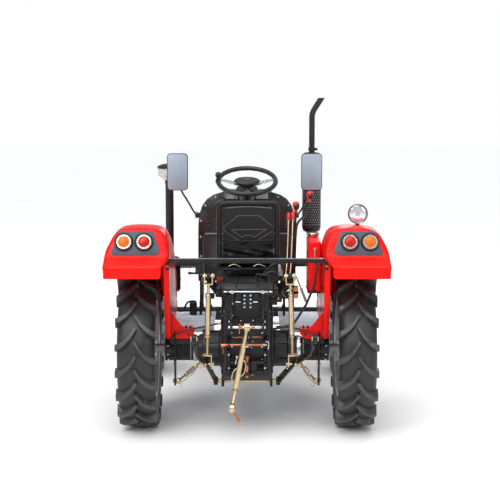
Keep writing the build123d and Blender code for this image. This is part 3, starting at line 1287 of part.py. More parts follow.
# ---------------------------------------------------------------- the whole tractor
def pieces():
    """Every node by name."""
    right_rim, right_front_rim = rear_rim(), front_rim()
    right_tyre, right_front_tyre = rear_tyre(), front_tyre()
    right_fender = fender()
    plates = inner_plate()
    housings = [lamp_housing(x) for x in LAMP_X]
    lenses = [lamp_lens(x) for x in LAMP_X]
    return {
        "gearbox": gearbox(),
        "axle_housings": pair(axle_housing()),
        "clutch_housing": clutch_housing(),
        "engine_block": engine_block(),
        "front_bracket": front_bracket(),
        "front_axle": front_axle(),
        "radiator": radiator(),
        "lift_cover": lift_cover(),
        "top_link_bracket": top_link_bracket(),
        "hitch_frame": hitch_frame(),
        "link_brackets": link_brackets(),
        "fender_left": other_side(right_fender),
        "fender_right": right_fender,
        "inner_plates": group(plates + tank_bracket(), other_side(plates)),
        "lamp_panels": pair(lamp_panel()),
        "lamp_housings": group(*housings, *[other_side(h) for h in housings]),
        "lamp_lenses": group(*lenses, *[other_side(h) for h in lenses]),
        "work_lamp": work_lamp(),
        "cross_bar": cross_bar(),
        "seat_base": seat_base(),
        "seat_cushion": seat_cushion(),
        "seat_back": seat_back(),
        "seat_frame": seat_frame(),
        "fuel_tank": fuel_tank(),
        "foot_plates": pair(foot_plate()),
        "cowl": cowl(),
        "mirrors": group(mirror_half(-1), mirror_half(1)),
        "muffler": muffler(),
        "exhaust_stack": exhaust_stack(),
        "air_cleaner": air_cleaner(),
        "precleaner_bowl": precleaner_bowl(),
        "levers": levers(),
        "lever_knobs": lever_knobs(),
        "pedals": group(pedal(-1), pedal(1)),
        "hydraulic_hoses": hydraulic_hoses(),
        "steering_wheel": steering_wheel(),
        "knuckle_left": knuckle(-1),
        "knuckle_right": knuckle(1),
        "tie_rod": tie_rod(),
        "steering_rod": steering_rod(),
        "front_tyre_left": other_side(right_front_tyre),
        "front_tyre_right": right_front_tyre,
        "front_rim_left": other_side(right_front_rim),
        "front_rim_right": right_front_rim,
        "rear_tyre_left": other_side(right_tyre),
        "rear_tyre_right": right_tyre,
        "rear_rim_left": other_side(right_rim),
        "rear_rim_right": right_rim,
        "lift_arms": lift_arms(),
        "lift_rod_left": lift_rod(-1),
        "lift_rod_right": lift_rod(1),
        "lower_link_left": lower_link(-1),
        "lower_link_right": lower_link(1),
        "stabiliser_left": stabiliser(-1),
        "stabiliser_right": stabiliser(1),
        "top_link": top_link(),
        "bonnet": bonnet(),
        "grille": grille(),
        "headlamps": headlamps(),
    }


os.makedirs("parts", exist_ok=True)
for node, shape in pieces().items():
    export_step(Pos(0, AXLE_Y, 0) * shape, "parts/" + node + ".step")
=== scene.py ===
"""Looks of a compact farm tractor with a raised three-point hitch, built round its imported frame.

Metres, +X the tractor's right, +Y forward, +Z up. place(x, y, z) takes millimetres from
the middle of the rear axle's line on the ground, which is how most places are given.
"""
import math
import random
import bpy
from mathutils import Matrix, Vector


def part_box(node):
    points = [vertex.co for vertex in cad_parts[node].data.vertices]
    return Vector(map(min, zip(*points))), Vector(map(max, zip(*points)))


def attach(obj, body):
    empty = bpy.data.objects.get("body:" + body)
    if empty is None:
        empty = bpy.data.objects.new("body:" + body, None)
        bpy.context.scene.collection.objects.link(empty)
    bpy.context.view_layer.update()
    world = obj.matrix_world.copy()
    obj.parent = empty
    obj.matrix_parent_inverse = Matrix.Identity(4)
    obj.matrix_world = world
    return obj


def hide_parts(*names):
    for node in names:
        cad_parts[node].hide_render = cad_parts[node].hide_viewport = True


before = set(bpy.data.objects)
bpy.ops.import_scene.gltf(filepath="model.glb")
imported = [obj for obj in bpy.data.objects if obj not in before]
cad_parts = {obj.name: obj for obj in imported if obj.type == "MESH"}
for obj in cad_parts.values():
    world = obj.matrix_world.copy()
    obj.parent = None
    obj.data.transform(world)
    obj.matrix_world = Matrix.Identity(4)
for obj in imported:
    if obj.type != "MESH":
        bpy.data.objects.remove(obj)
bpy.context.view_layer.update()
MM = 0.001
RIGHT, LEFT = 1, -1

# ---------------------------------------------------------------- sizes taken from the frame
def middle(node):
    """The middle of a frame node's box."""
    low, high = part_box(node)
    return (low + high) / 2


REAR_HUB = middle("rear_tyre_right")
FRONT_HUB = middle("front_tyre_right")
AXLE_Y = REAR_HUB.y
REAR_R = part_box("rear_tyre_right")[1].z / 2
FRONT_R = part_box("front_tyre_right")[1].z / 2


def place(x, y, z):
    """A point given in millimetres from the rear axle's line on the ground."""
    return Vector((x * MM, AXLE_Y + y * MM, z * MM))


# ---------------------------------------------------------------- modelling helpers
def take(obj):
    """Makes obj the only selected and the active object."""
    bpy.ops.object.select_all(action="DESELECT")
    obj.select_set(True)
    bpy.context.view_layer.objects.active = obj
    return obj


def named(name):
    """The object that an operator has just added, under its own name."""
    obj = bpy.context.object
    obj.name = name
    obj.data.name = name
    return obj


def settled(obj):
    """Applies an object's place, turn and scale to its mesh."""
    take(obj)
    bpy.ops.object.transform_apply(location=True, rotation=True, scale=True)
    return obj


def modified(obj, kind, **settings):
    """Adds a modifier, sets it and applies it."""
    take(obj)
    modifier = obj.modifiers.new(kind, kind)
    for key, value in settings.items():
        setattr(modifier, key, value)
    bpy.ops.object.modifier_apply(modifier=modifier.name)
    return obj


def rounded(obj, width, segments=2, degrees=35):
    """Rounds an object's sharp edges."""
    return modified(obj, "BEVEL", width=width, segments=segments, limit_method="ANGLE",
                    angle_limit=math.radians(degrees), harden_normals=False)


def smooth(obj, degrees=35):
    """Shades an object smooth, its sharper edges kept."""
    take(obj)
    bpy.ops.object.shade_smooth_by_angle(angle=math.radians(degrees))
    return obj


def outwards(obj, gap=0.00002):
    """Merges doubled corners and turns all faces outwards."""
    take(obj)
    bpy.ops.object.mode_set(mode="EDIT")
    bpy.ops.mesh.select_all(action="SELECT")
    bpy.ops.mesh.remove_doubles(threshold=gap)
    bpy.ops.mesh.normals_make_consistent(inside=False)
    bpy.ops.object.mode_set(mode="OBJECT")
    return obj


def box(name, low, high, edge=0.002, segments=2):
    """A block between two corners with rounded edges."""
    low, high = Vector(low), Vector(high)
    bpy.ops.mesh.primitive_cube_add(size=1, location=(low + high) / 2)
    obj = named(name)
    obj.scale = [abs(value) for value in high - low]
    settled(obj)
    return rounded(obj, edge, segments) if edge else obj


def bar(name, start, end, radius, radius_end=None, edge=0.001, sides=24):
    """A round bar or cone between two points, its ends chamfered."""
    start, end = Vector(start), Vector(end)
    run = end - start
    far = radius if radius_end is None else radius_end
    bpy.ops.mesh.primitive_cone_add(vertices=sides, radius1=radius, radius2=far, depth=run.length,
                                    location=(start + end) / 2,
                                    rotation=run.to_track_quat("Z", "Y").to_euler())
    obj = settled(named(name))
    if edge:
        rounded(obj, edge, 2, 50)
    return smooth(obj, 40)


def ball(name, centre, radius, rings=12):
    """A round ball."""
    bpy.ops.mesh.primitive_uv_sphere_add(segments=2 * rings, ring_count=rings, radius=radius, location=centre)
    return smooth(settled(named(name)), 60)


def traced(name, points, closed=False):
    """A line of corners as an object, to be filled, extruded or spun."""
    mesh = bpy.data.meshes.new(name)
    edges = [(n, n + 1) for n in range(len(points) - 1)]
    if closed:
        edges.append((len(points) - 1, 0))
    mesh.from_pydata([tuple(p) for p in points], edges, [])
    obj = bpy.data.objects.new(name, mesh)
    bpy.context.collection.objects.link(obj)
    return take(obj)


def slab(name, corners, reach, edge=0.0015, segments=2, degrees=35):
    """A flat outline filled and extruded by a vector, its edges rounded."""
    obj = traced(name, corners, closed=True)
    bpy.ops.object.mode_set(mode="EDIT")
    bpy.ops.mesh.select_all(action="SELECT")
    bpy.ops.mesh.edge_face_add()
    bpy.ops.mesh.extrude_region_move(TRANSFORM_OT_translate={"value": tuple(reach)})
    bpy.ops.object.mode_set(mode="OBJECT")
    outwards(obj)
    return rounded(obj, edge, segments, degrees) if edge else obj


def spun(name, profile, centre, axis=(1, 0, 0), steps=64, closed=True):
    """A (along, radius) profile turned about an axis through centre."""
    centre, axis = Vector(centre), Vector(axis).normalized()
    across = axis.orthogonal().normalized()
    corners = [centre + axis * along + across * radius for along, radius in profile]
    obj = traced(name, corners, closed=closed)
    bpy.ops.object.mode_set(mode="EDIT")
    bpy.ops.mesh.select_all(action="SELECT")
    bpy.ops.mesh.spin(steps=steps, angle=math.tau, center=centre, axis=axis)
    bpy.ops.object.mode_set(mode="OBJECT")
    return smooth(outwards(obj), 35)


def tube(name, points, radius, smooth_line=True, sides=4, ends=True):
    """A round tube along points: one smooth line, or straight runs."""
    curve = bpy.data.curves.new(name, "CURVE")
    curve.dimensions = "3D"
    spline = curve.splines.new("NURBS" if smooth_line else "POLY")
    spline.points.add(len(points) - 1)
    for point, corner in zip(spline.points, points):
        point.co = (*corner, 1.0)
    if smooth_line:
        spline.order_u = 3
        spline.use_endpoint_u = True
        spline.resolution_u = 6
    curve.bevel_depth = radius
    curve.bevel_resolution = sides
    curve.use_fill_caps = ends
    obj = bpy.data.objects.new(name, curve)
    bpy.context.collection.objects.link(obj)
    take(obj)
    bpy.ops.object.convert(target="MESH")
    return smooth(bpy.context.object, 50)


def joined(name, pieces):
    """Several objects made one."""
    take(pieces[0])
    for piece in pieces:
        piece.select_set(True)
    bpy.context.view_layer.objects.active = pieces[0]
    if len(pieces) > 1:
        bpy.ops.object.join()
    return named(name)


def twin(obj, name=None):
    """A copy on the tractor's other side."""
    copy = obj.copy()
    copy.data = obj.data.copy()
    bpy.context.collection.objects.link(copy)
    copy.data.transform(Matrix.Scale(-1, 4, (1, 0, 0)))
    copy.data.flip_normals()
    copy.name = name or obj.name.replace("right", "left")
    return copy


def copies(obj, matrices):
    """One copy of obj for each matrix, with its own mesh; obj itself is deleted."""
    made = []
    for matrix in matrices:
        copy = obj.copy()
        copy.data = obj.data.copy()
        bpy.context.collection.objects.link(copy)
        copy.data.transform(matrix)
        made.append(copy)
    bpy.data.objects.remove(obj)
    return made


def cut(obj, tool, operation="DIFFERENCE"):
    """Cuts obj with another object, which is then deleted."""
    modified(obj, "BOOLEAN", object=tool, operation=operation, solver="EXACT")
    bpy.data.objects.remove(tool)
    return obj


def facing(point, direction):
    """A matrix that carries +Z at the origin to a direction at a point."""
    turn = Vector(direction).to_track_quat("Z", "Y").to_matrix().to_4x4()
    return Matrix.Translation(point) @ turn


def bolts(name, spots, size=0.012, tall=0.006):
    """Hexagon bolt heads on washers; each spot is a point and the way its head faces."""
    washer = bar("washer", (0, 0, -0.001), (0, 0, 0.0015), size * 0.8, edge=0.0003, sides=16)
    bpy.ops.mesh.primitive_cylinder_add(vertices=6, radius=size * 0.58, depth=tall, location=(0, 0, tall / 2 + 0.001))
    head = rounded(settled(named("head")), size * 0.06, 1, 20)
    stub = bar("stub", (0, 0, tall), (0, 0, tall * 1.6), size * 0.3, edge=0.0003, sides=10)
    one = joined("bolt", [head, washer, stub])
    return joined(name, copies(one, [facing(point, way) for point, way in spots]))


def painted(piece, finish):
    """Gives a piece one finish all over."""
    piece.data.materials.clear()
    piece.data.materials.append(finish)
    return piece


def dressed(piece, body, finish=None, replaces=()):
    """Gives a finished piece its material, its body and the nodes it stands for."""
    if finish:
        painted(piece, finish)
    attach(piece, body)
    if replaces:
        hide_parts(*replaces)
    return piece


# ---------------------------------------------------------------- finishes
def finish(name, colour, other, rough=(0.35, 0.5), metal=0.0, size=40, grain=900, bump=0.15, coat=0.0,
           shine=0.5, dirt=None, dirt_size=6, dirt_share=0.0, clear=0.0):
    """A finish with cloudy colour, uneven gloss, fine grain and, where dirt is given, dust in patches."""
    made = bpy.data.materials.new(name)
    made.use_nodes = True
    nodes, links = made.node_tree.nodes, made.node_tree.links
    shader = nodes["Principled BSDF"]
    shader.inputs["Metallic"].default_value = metal
    shader.inputs["Coat Weight"].default_value = coat
    shader.inputs["Coat Roughness"].default_value = 0.08
    shader.inputs["Specular IOR Level"].default_value = shine
    shader.inputs["Transmission Weight"].default_value = clear
    spot = nodes.new("ShaderNodeTexCoord").outputs["Object"]

    def noise(scale, detail, rough_share=0.6):
        node = nodes.new("ShaderNodeTexNoise")
        node.inputs["Scale"].default_value = scale
        node.inputs["Detail"].default_value = detail
        node.inputs["Roughness"].default_value = rough_share
        links.new(spot, node.inputs["Vector"])
        return node.outputs["Fac"]

    def spread(value, low, high, start=0.3, end=0.7):
        node = nodes.new("ShaderNodeMapRange")
        for socket, number in zip(("From Min", "From Max", "To Min", "To Max"), (start, end, low, high)):
            node.inputs[socket].default_value = number
        links.new(value, node.inputs["Value"])
        return node.outputs["Result"]

    def mixed(share, first, second):
        node = nodes.new("ShaderNodeMix")
        node.data_type = "RGBA"
        for socket, value in ((6, first), (7, second)):
            if isinstance(value, tuple):
                node.inputs[socket].default_value = (*value, 1)
            else:
                links.new(value, node.inputs[socket])
        links.new(share, node.inputs[0])
        return node.outputs[2]

    clouds = noise(size, 4)
    shade = mixed(spread(clouds, 0, 1), colour, other)
    gloss = spread(clouds, *rough)
    if dirt:
        patches = spread(noise(dirt_size, 8, 0.7), 0, 1, 0.62 - dirt_share * 0.35, 0.82 - dirt_share * 0.25)
        shade = mixed(patches, shade, dirt)
        dull = nodes.new("ShaderNodeMath")
        dull.operation = "MAXIMUM"
        links.new(gloss, dull.inputs[0])
        links.new(spread(patches, 0, 0.75, 0, 1), dull.inputs[1])
        gloss = dull.outputs[0]
    links.new(shade, shader.inputs["Base Color"])
    links.new(gloss, shader.inputs["Roughness"])
    lumps = nodes.new("ShaderNodeBump")
    lumps.inputs["Strength"].default_value = bump
    lumps.inputs["Distance"].default_value = 0.001
    links.new(noise(grain, 3), lumps.inputs["Height"])
    links.new(lumps.outputs["Normal"], shader.inputs["Normal"])
    return made


DUST = (0.42, 0.38, 0.33)
RED_PAINT = finish("red_paint", (0.90, 0.006, 0.002), (0.82, 0.004, 0.0015), (0.26, 0.34), size=5,
                   grain=220, bump=0.015, coat=0.04, shine=0.16)
RED_PLATE = finish("red_plate", (0.88, 0.008, 0.003), (0.80, 0.006, 0.002), (0.24, 0.34), size=5, grain=220,
                   bump=0.02, coat=0.08, shine=0.4)
CAST_GREY = finish("painted_castings", (0.008, 0.008, 0.009), (0.018, 0.018, 0.020), (0.28, 0.46), size=18,
                   grain=420, bump=0.4, shine=0.4, dirt=(0.04, 0.04, 0.04), dirt_size=9, dirt_share=0.15)
FRAME_BLACK = finish("black_enamel", (0.005, 0.005, 0.006), (0.012, 0.012, 0.013), (0.24, 0.40), size=14,
                     grain=350, bump=0.12, shine=0.32, dirt=(0.05, 0.05, 0.05), dirt_size=12, dirt_share=0.1)
SLATE = finish("slate_lamp_panel", (0.060, 0.074, 0.104), (0.082, 0.098, 0.132), (0.36, 0.46), size=22,
               grain=1500, bump=0.25, shine=0.3)
BLACK_PLASTIC = finish("black_plastic", (0.014, 0.014, 0.015), (0.024, 0.024, 0.026), (0.36, 0.48), size=26,
                       grain=1800, bump=0.3)
LENS_RED = finish("red_lens", (0.60, 0.003, 0.002), (0.38, 0.002, 0.001), (0.16, 0.26), size=60, grain=500,
                  bump=0.3, coat=0.15, shine=0.3)
LENS_AMBER = finish("amber_lens", (0.90, 0.16, 0.002), (0.74, 0.10, 0.001), (0.16, 0.26), size=60, grain=500,
                    bump=0.3, coat=0.15, shine=0.3)
SEAT_VINYL = finish("seat_vinyl", (0.009, 0.009, 0.010), (0.016, 0.016, 0.017), (0.38, 0.52), size=30,
                    grain=1300, bump=0.45, shine=0.28)
STEP_PLATE = finish("step_plate", (0.62, 0.71, 0.82), (0.82, 0.88, 0.94), (0.32, 0.5), metal=0.1, size=16,
                    grain=300, bump=0.25, dirt=(0.30, 0.31, 0.34), dirt_size=7, dirt_share=0.15)
COWL_PLASTIC = finish("cowl_plastic", (0.010, 0.010, 0.011), (0.020, 0.020, 0.022), (0.20, 0.32), size=9,
                      grain=1400, bump=0.15, coat=0.3)
EXHAUST_BLACK = finish("exhaust_black", (0.012, 0.012, 0.013), (0.024, 0.023, 0.023), (0.36, 0.58), size=25,
                       grain=700, bump=0.35, shine=0.35, dirt=(0.075, 0.06, 0.05), dirt_size=14, dirt_share=0.15)
BOWL = finish("clear_bowl", (0.78, 0.79, 0.77), (0.70, 0.70, 0.67), (0.12, 0.22), size=30, grain=300,
              bump=0.05, clear=0.35)
ZINC = finish("yellow_zinc", (0.60, 0.42, 0.18), (0.66, 0.58, 0.44), (0.24, 0.42), metal=0.9, size=30,
              grain=900, bump=0.2)
RED_PLASTIC = finish("red_plastic", (0.72, 0.020, 0.014), (0.60, 0.014, 0.010), (0.22, 0.32), size=40,
                     grain=900, bump=0.06)
HOSE_RUBBER = finish("hose_rubber", (0.012, 0.012, 0.012), (0.026, 0.026, 0.026), (0.45, 0.62), size=60,
                     grain=2200, bump=0.5)
BRIGHT_STEEL = finish("bright_steel", (0.56, 0.57, 0.58), (0.68, 0.69, 0.70), (0.16, 0.32), metal=1.0,
                      size=26, grain=1200, bump=0.12)
COPPER = finish("copper_red_pin", (0.52, 0.16, 0.08), (0.62, 0.24, 0.12), (0.28, 0.42), metal=0.85, size=60,
                grain=900, bump=0.2)
# Two tones of one rubber: the tread bars lighter, a painted light on their lit tops, with dust patches; the casing
# between them darker, a painted shade.
TREAD_LIT_WITH_DUST = finish("tyre_rubber", (0.030, 0.030, 0.031), (0.052, 0.052, 0.054), (0.34, 0.52), size=22, grain=1100,
              bump=0.35, coat=0.1, dirt=(0.13, 0.13, 0.132), dirt_size=14, dirt_share=0.2)
CASING_RUBBER_SHADED = finish("tyre_casing", (0.012, 0.012, 0.013), (0.026, 0.026, 0.027), (0.36, 0.56), size=22, grain=1100,
                   bump=0.35)
RIM_PAINT = finish("rim_paint", (0.46, 0.47, 0.50), (0.38, 0.39, 0.41), (0.30, 0.42), metal=0.35, size=12,
                   grain=500, bump=0.12, dirt=DUST, dirt_size=9, dirt_share=0.15)
CLEAR_LAMP = finish("lamp_glass", (0.80, 0.83, 0.86), (0.70, 0.74, 0.78), (0.05, 0.12), metal=0.6, size=30,
                    grain=200, bump=0.15, coat=0.8)
# Pale blue-grey glass: a painted reflection in the mirror's colour.
MIRROR_PAINTED_REFLECTION = finish("mirror_painted_reflection", (0.30, 0.37, 0.44), (0.36, 0.43, 0.51), (0.30, 0.40), metal=0.25, size=5,
                      grain=80, bump=0.02)
BRASS_RING = finish("pale_lamp_ring", (0.72, 0.62, 0.44), (0.80, 0.76, 0.66), (0.12, 0.25), metal=0.85,
                    size=50, grain=600, bump=0.1)
# Black lightened to a bluish grey: a painted sky sheen and highlight for black parts.
SHEEN_PAINTED_BLACK = finish("black_painted_sheen", (0.16, 0.18, 0.21), (0.30, 0.33, 0.37), (0.22, 0.4), size=30, grain=300, bump=0.2,
                   coat=0.4)
SKIRT_VINYL = finish("skirt_vinyl", (0.003, 0.003, 0.004), (0.007, 0.007, 0.008), (0.22, 0.36), size=30, grain=900,
                     bump=0.3, shine=0.25)
# A lighter grey for the seat back's raised seams and top lip: painted highlights along those edges.
SEAM_PAINTED_HIGHLIGHT = finish("seam_painted_highlight", (0.10, 0.10, 0.105), (0.16, 0.16, 0.165), (0.4, 0.55), size=40, grain=900, bump=0.2)
RADIATOR_CORE = finish("radiator_core", (0.05, 0.05, 0.052), (0.09, 0.09, 0.09), (0.4, 0.6), metal=0.5,
                       size=60, grain=900, bump=0.3)

NODE_FINISHES = {
    RED_PAINT: "fender_left fender_right inner_plates fuel_tank bonnet",
    CAST_GREY: "gearbox axle_housings clutch_housing engine_block lift_cover front_axle",
    FRAME_BLACK: "front_bracket top_link_bracket hitch_frame link_brackets cross_bar seat_base seat_frame "
                 "pedals knuckle_left knuckle_right lift_arms lower_link_left lower_link_right stabiliser_left "
                 "stabiliser_right grille",
    SLATE: "lamp_panels",
    BLACK_PLASTIC: "lamp_housings work_lamp mirrors steering_wheel",
    LENS_RED: "lamp_lenses",
    SEAT_VINYL: "seat_cushion seat_back",
    STEP_PLATE: "foot_plates",
    COWL_PLASTIC: "cowl",
    EXHAUST_BLACK: "muffler exhaust_stack air_cleaner",
    BOWL: "precleaner_bowl",
    ZINC: "levers top_link lift_rod_left lift_rod_right",
    RED_PLASTIC: "lever_knobs",
    HOSE_RUBBER: "hydraulic_hoses",
    BRIGHT_STEEL: "tie_rod steering_rod",
    RADIATOR_CORE: "radiator",
    TREAD_LIT_WITH_DUST: "front_tyre_left front_tyre_right rear_tyre_left rear_tyre_right",
    RIM_PAINT: "front_rim_left front_rim_right rear_rim_left rear_rim_right",
    CLEAR_LAMP: "headlamps",
}
for paint, nodes_of_it in NODE_FINISHES.items():
    for node_name in nodes_of_it.split():
        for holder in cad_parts[node_name].material_slots:
            holder.material = paint

# ---------------------------------------------------------------- floor, light and camera
bpy.ops.object.select_all(action="DESELECT")
bpy.ops.mesh.primitive_plane_add(size=60, location=(0, 0, -0.001))
floor = named("floor")
floor.data.materials.append(finish("pale_floor", (0.96, 0.96, 0.96), (0.97, 0.97, 0.97), (0.7, 0.8), size=2,
                                   grain=30, bump=0.02))

sky = bpy.data.worlds.new("studio")
sky.use_nodes = True
sky_nodes, sky_links = sky.node_tree.nodes, sky.node_tree.links
backdrop = sky_nodes["Background"]
backdrop.inputs["Color"].default_value = (1.0, 1.0, 1.0, 1)
backdrop.inputs["Strength"].default_value = 1.0
dome = sky_nodes.new("ShaderNodeBackground")
dome.inputs["Color"].default_value = (0.95, 0.97, 1.0, 1)
dome.inputs["Strength"].default_value = 0.40
choice = sky_nodes.new("ShaderNodeMixShader")
sky_links.new(sky_nodes.new("ShaderNodeLightPath").outputs["Is Camera Ray"], choice.inputs[0])
sky_links.new(dome.outputs[0], choice.inputs[1])
sky_links.new(backdrop.outputs[0], choice.inputs[2])
sky_links.new(choice.outputs[0], sky_nodes["World Output"].inputs["Surface"])
bpy.context.scene.world = sky
bpy.context.scene.view_settings.view_transform = "Standard"


def softbox(name, where, towards, size, power):
    """A square soft light that faces a point."""
    bpy.ops.object.light_add(type="AREA", location=where)
    lamp = bpy.context.object
    lamp.name = name
    lamp.data.size = size
    lamp.data.energy = power
    lamp.rotation_euler = (Vector(towards) - Vector(where)).to_track_quat("-Z", "Y").to_euler()
    return lamp


def sunlight(name, where, strength, spread):
    """An even light from a direction, wide enough for soft shadows."""
    bpy.ops.object.light_add(type="SUN", location=where)
    lamp = bpy.context.object
    lamp.name = name
    lamp.data.energy = strength
    lamp.data.angle = math.radians(spread)
    lamp.rotation_euler = (-Vector(where)).to_track_quat("-Z", "Y").to_euler()
    return lamp


sunlight("even_light", (-1.5, -4.0, 7.0), 2.5, 60)
softbox("key_light", (-3.0, -6.5, 4.6), (0, -0.6, 0.9), 3.0, 90)
softbox("fill_light", (4.5, -5.5, 3.4), (0, -0.6, 0.9), 3.0, 60)
softbox("top_light", (0.0, 1.0, 7.0), (0, 0, 0), 5.0, 60)
softbox("front_light", (2.5, 7.0, 4.0), (0, 0, 0.9), 4.0, 110)

bpy.ops.object.camera_add(location=(0, AXLE_Y - 9.1, 2.4), rotation=(math.radians(90 - 7.7), 0, 0))
camera = bpy.context.object
camera.name = "camera"
camera.data.lens = 100.8
camera.data.sensor_width = 36
camera.data.shift_x = 0.006
bpy.context.scene.camera = camera

# ---------------------------------------------------------------- wheels
REAR_CASING = [(0.0, 0.4850), (0.040, 0.4835), (0.074, 0.4770), (0.097, 0.4675), (0.1095, 0.4540),
               (0.1155, 0.4420), (0.1145, 0.4380), (0.1175, 0.4340), (0.1205, 0.4050), (0.1165, 0.3680),
               (0.1060, 0.3420), (0.1085, 0.3385), (0.1075, 0.3335), (0.1020, 0.3310), (0.0985, 0.3180),
               (0.0975, 0.3000)]
FRONT_CASING = [(0.0, 0.3540), (0.028, 0.3530), (0.052, 0.3480), (0.066, 0.3400), (0.0735, 0.3270),
                (0.0765, 0.3230), (0.0760, 0.3190), (0.0800, 0.2900), (0.0785, 0.2600), (0.0700, 0.2360),
                (0.0715, 0.2325), (0.0700, 0.2280), (0.0620, 0.2240), (0.0575, 0.2150), (0.0570, 0.2000)]
LUGS = 18
LUG_SWEEP = math.radians(13.5)


def casing_radius(casing, across):
    """The casing's radius at a distance from the tyre's middle."""
    across = abs(across)
    for (x0, r0), (x1, r1) in zip(casing, casing[1:]):
        if x0 <= across <= x1:
            return r0 + (r1 - r0) * (across - x0) / (x1 - x0)
    return casing[9][1]


def casing(name, half, hub, steps):
    """A tyre without its tread blocks."""
    profile = [(-x, r) for x, r in reversed(half)] + half[1:]
    return spun(name, profile, hub, (1, 0, 0), steps)


def rear_lug():
    """One curved tread bar of the right-hand row, at the top of a wheel round the origin."""
    bpy.ops.mesh.primitive_cube_add(size=1, location=(0.5, 0, 0.5))
    lug = settled(named("lug"))
    bpy.ops.object.mode_set(mode="EDIT")
    for along in (0.05, 0.12, 0.24, 0.38, 0.52, 0.66, 0.80, 0.92):
        bpy.ops.mesh.select_all(action="SELECT")
        bpy.ops.mesh.bisect(plane_co=(along, 0, 0), plane_no=(1, 0, 0))
    for across in (-0.22, 0.22):
        bpy.ops.mesh.select_all(action="SELECT")
        bpy.ops.mesh.bisect(plane_co=(0, across, 0), plane_no=(0, 1, 0))
    bpy.ops.object.mode_set(mode="OBJECT")
    for corner in lug.data.vertices:
        u, v, h = corner.co
        nose = min(1.0, 0.55 + u / 0.16) if u < 0.12 else 1.0
        wide = (0.050 - 0.018 * h) * nose * (1 + 0.14 * max(0.0, u - 0.7) / 0.3)
        x = -0.015 + u * 0.1415 + 0.020 * (1 - u) ** 6 * (2 * v) ** 2 + 0.003 * (1 - u) ** 8 * h
        turn = LUG_SWEEP * math.sin(u * math.pi / 2 * 0.92) / math.sin(math.pi / 2 * 0.92)
        foot = casing_radius(REAR_CASING, min(x, 0.117)) - 0.006
        top = 0.515 - 0.006 * (min(x, 0.118) / 0.118) ** 2 - 0.012 * max(0.0, (x - 0.110) / 0.016)
        if u > 0.99:
            x, foot, top = 0.1280 - 0.0015 * h, 0.426, 0.4985
        radius = foot + (top - foot) * h
        turn += v * wide / 0.5
        corner.co = (x, -radius * math.sin(turn), radius * math.cos(turn))
    return smooth(rounded(outwards(lug), 0.0045, 2, 42), 50)


def tread(hub):
    """Both rows of tread bars of the right rear tyre, set half a pitch apart."""
    right_row = rear_lug()
    left_row = twin(right_row, "lug_left")
    step = math.tau / LUGS
    bars = []
    for row, shift in ((right_row, 0.25), (left_row, -0.25)):
        bars += copies(row, [Matrix.Translation(hub) @ Matrix.Rotation((n + shift) * step, 4, "X")
                             for n in range(LUGS)])
    return bars


def rear_tyre():
    """Right rear tyre, its bars pointing up as it is seen from behind."""
    # The casing takes the darker rubber as painted shade between the bars; the bars take the lighter, painted light.
    body = painted(casing("casing", REAR_CASING, REAR_HUB, 72), CASING_RUBBER_SHADED)
    return joined("rear_tyre_right_looks", [body] + [painted(lug, TREAD_LIT_WITH_DUST) for lug in tread(REAR_HUB)])


def front_tyre():
    """Right front tyre with three ribs round its tread and bars along its shoulders."""
    hub = FRONT_HUB
    # The casing takes the darker rubber as painted shade; ribs and shoulder blocks take the lighter, painted light.
    body = painted(casing("casing", FRONT_CASING, hub, 64), CASING_RUBBER_SHADED)
    pieces = []
    for x, wide, low, high in ((0, 0.022, 0.348, 0.3675), (0.038, 0.017, 0.344, 0.3635), (-0.038, 0.017, 0.344, 0.3635)):
        half = wide / 2
        ring = [(x - half, low), (x - half * 0.82, high - 0.002), (x - half * 0.7, high), (x + half * 0.7, high),
                (x + half * 0.82, high - 0.002), (x + half, low)]
        pieces.append(spun("rib", ring, hub, (1, 0, 0), 64))
    block = box("shoulder_block", (0.052, -0.011, 0.322), (0.0775, 0.011, 0.3545), 0.003, 2)
    ring = [Matrix.Translation(hub) @ Matrix.Rotation(math.tau * n / 30, 4, "X") for n in range(30)]
    other = twin(block, "shoulder_block_left")
    pieces += copies(block, ring) + copies(other, ring)
    return joined("front_tyre_right_looks", [body] + [painted(piece, TREAD_LIT_WITH_DUST) for piece in pieces])


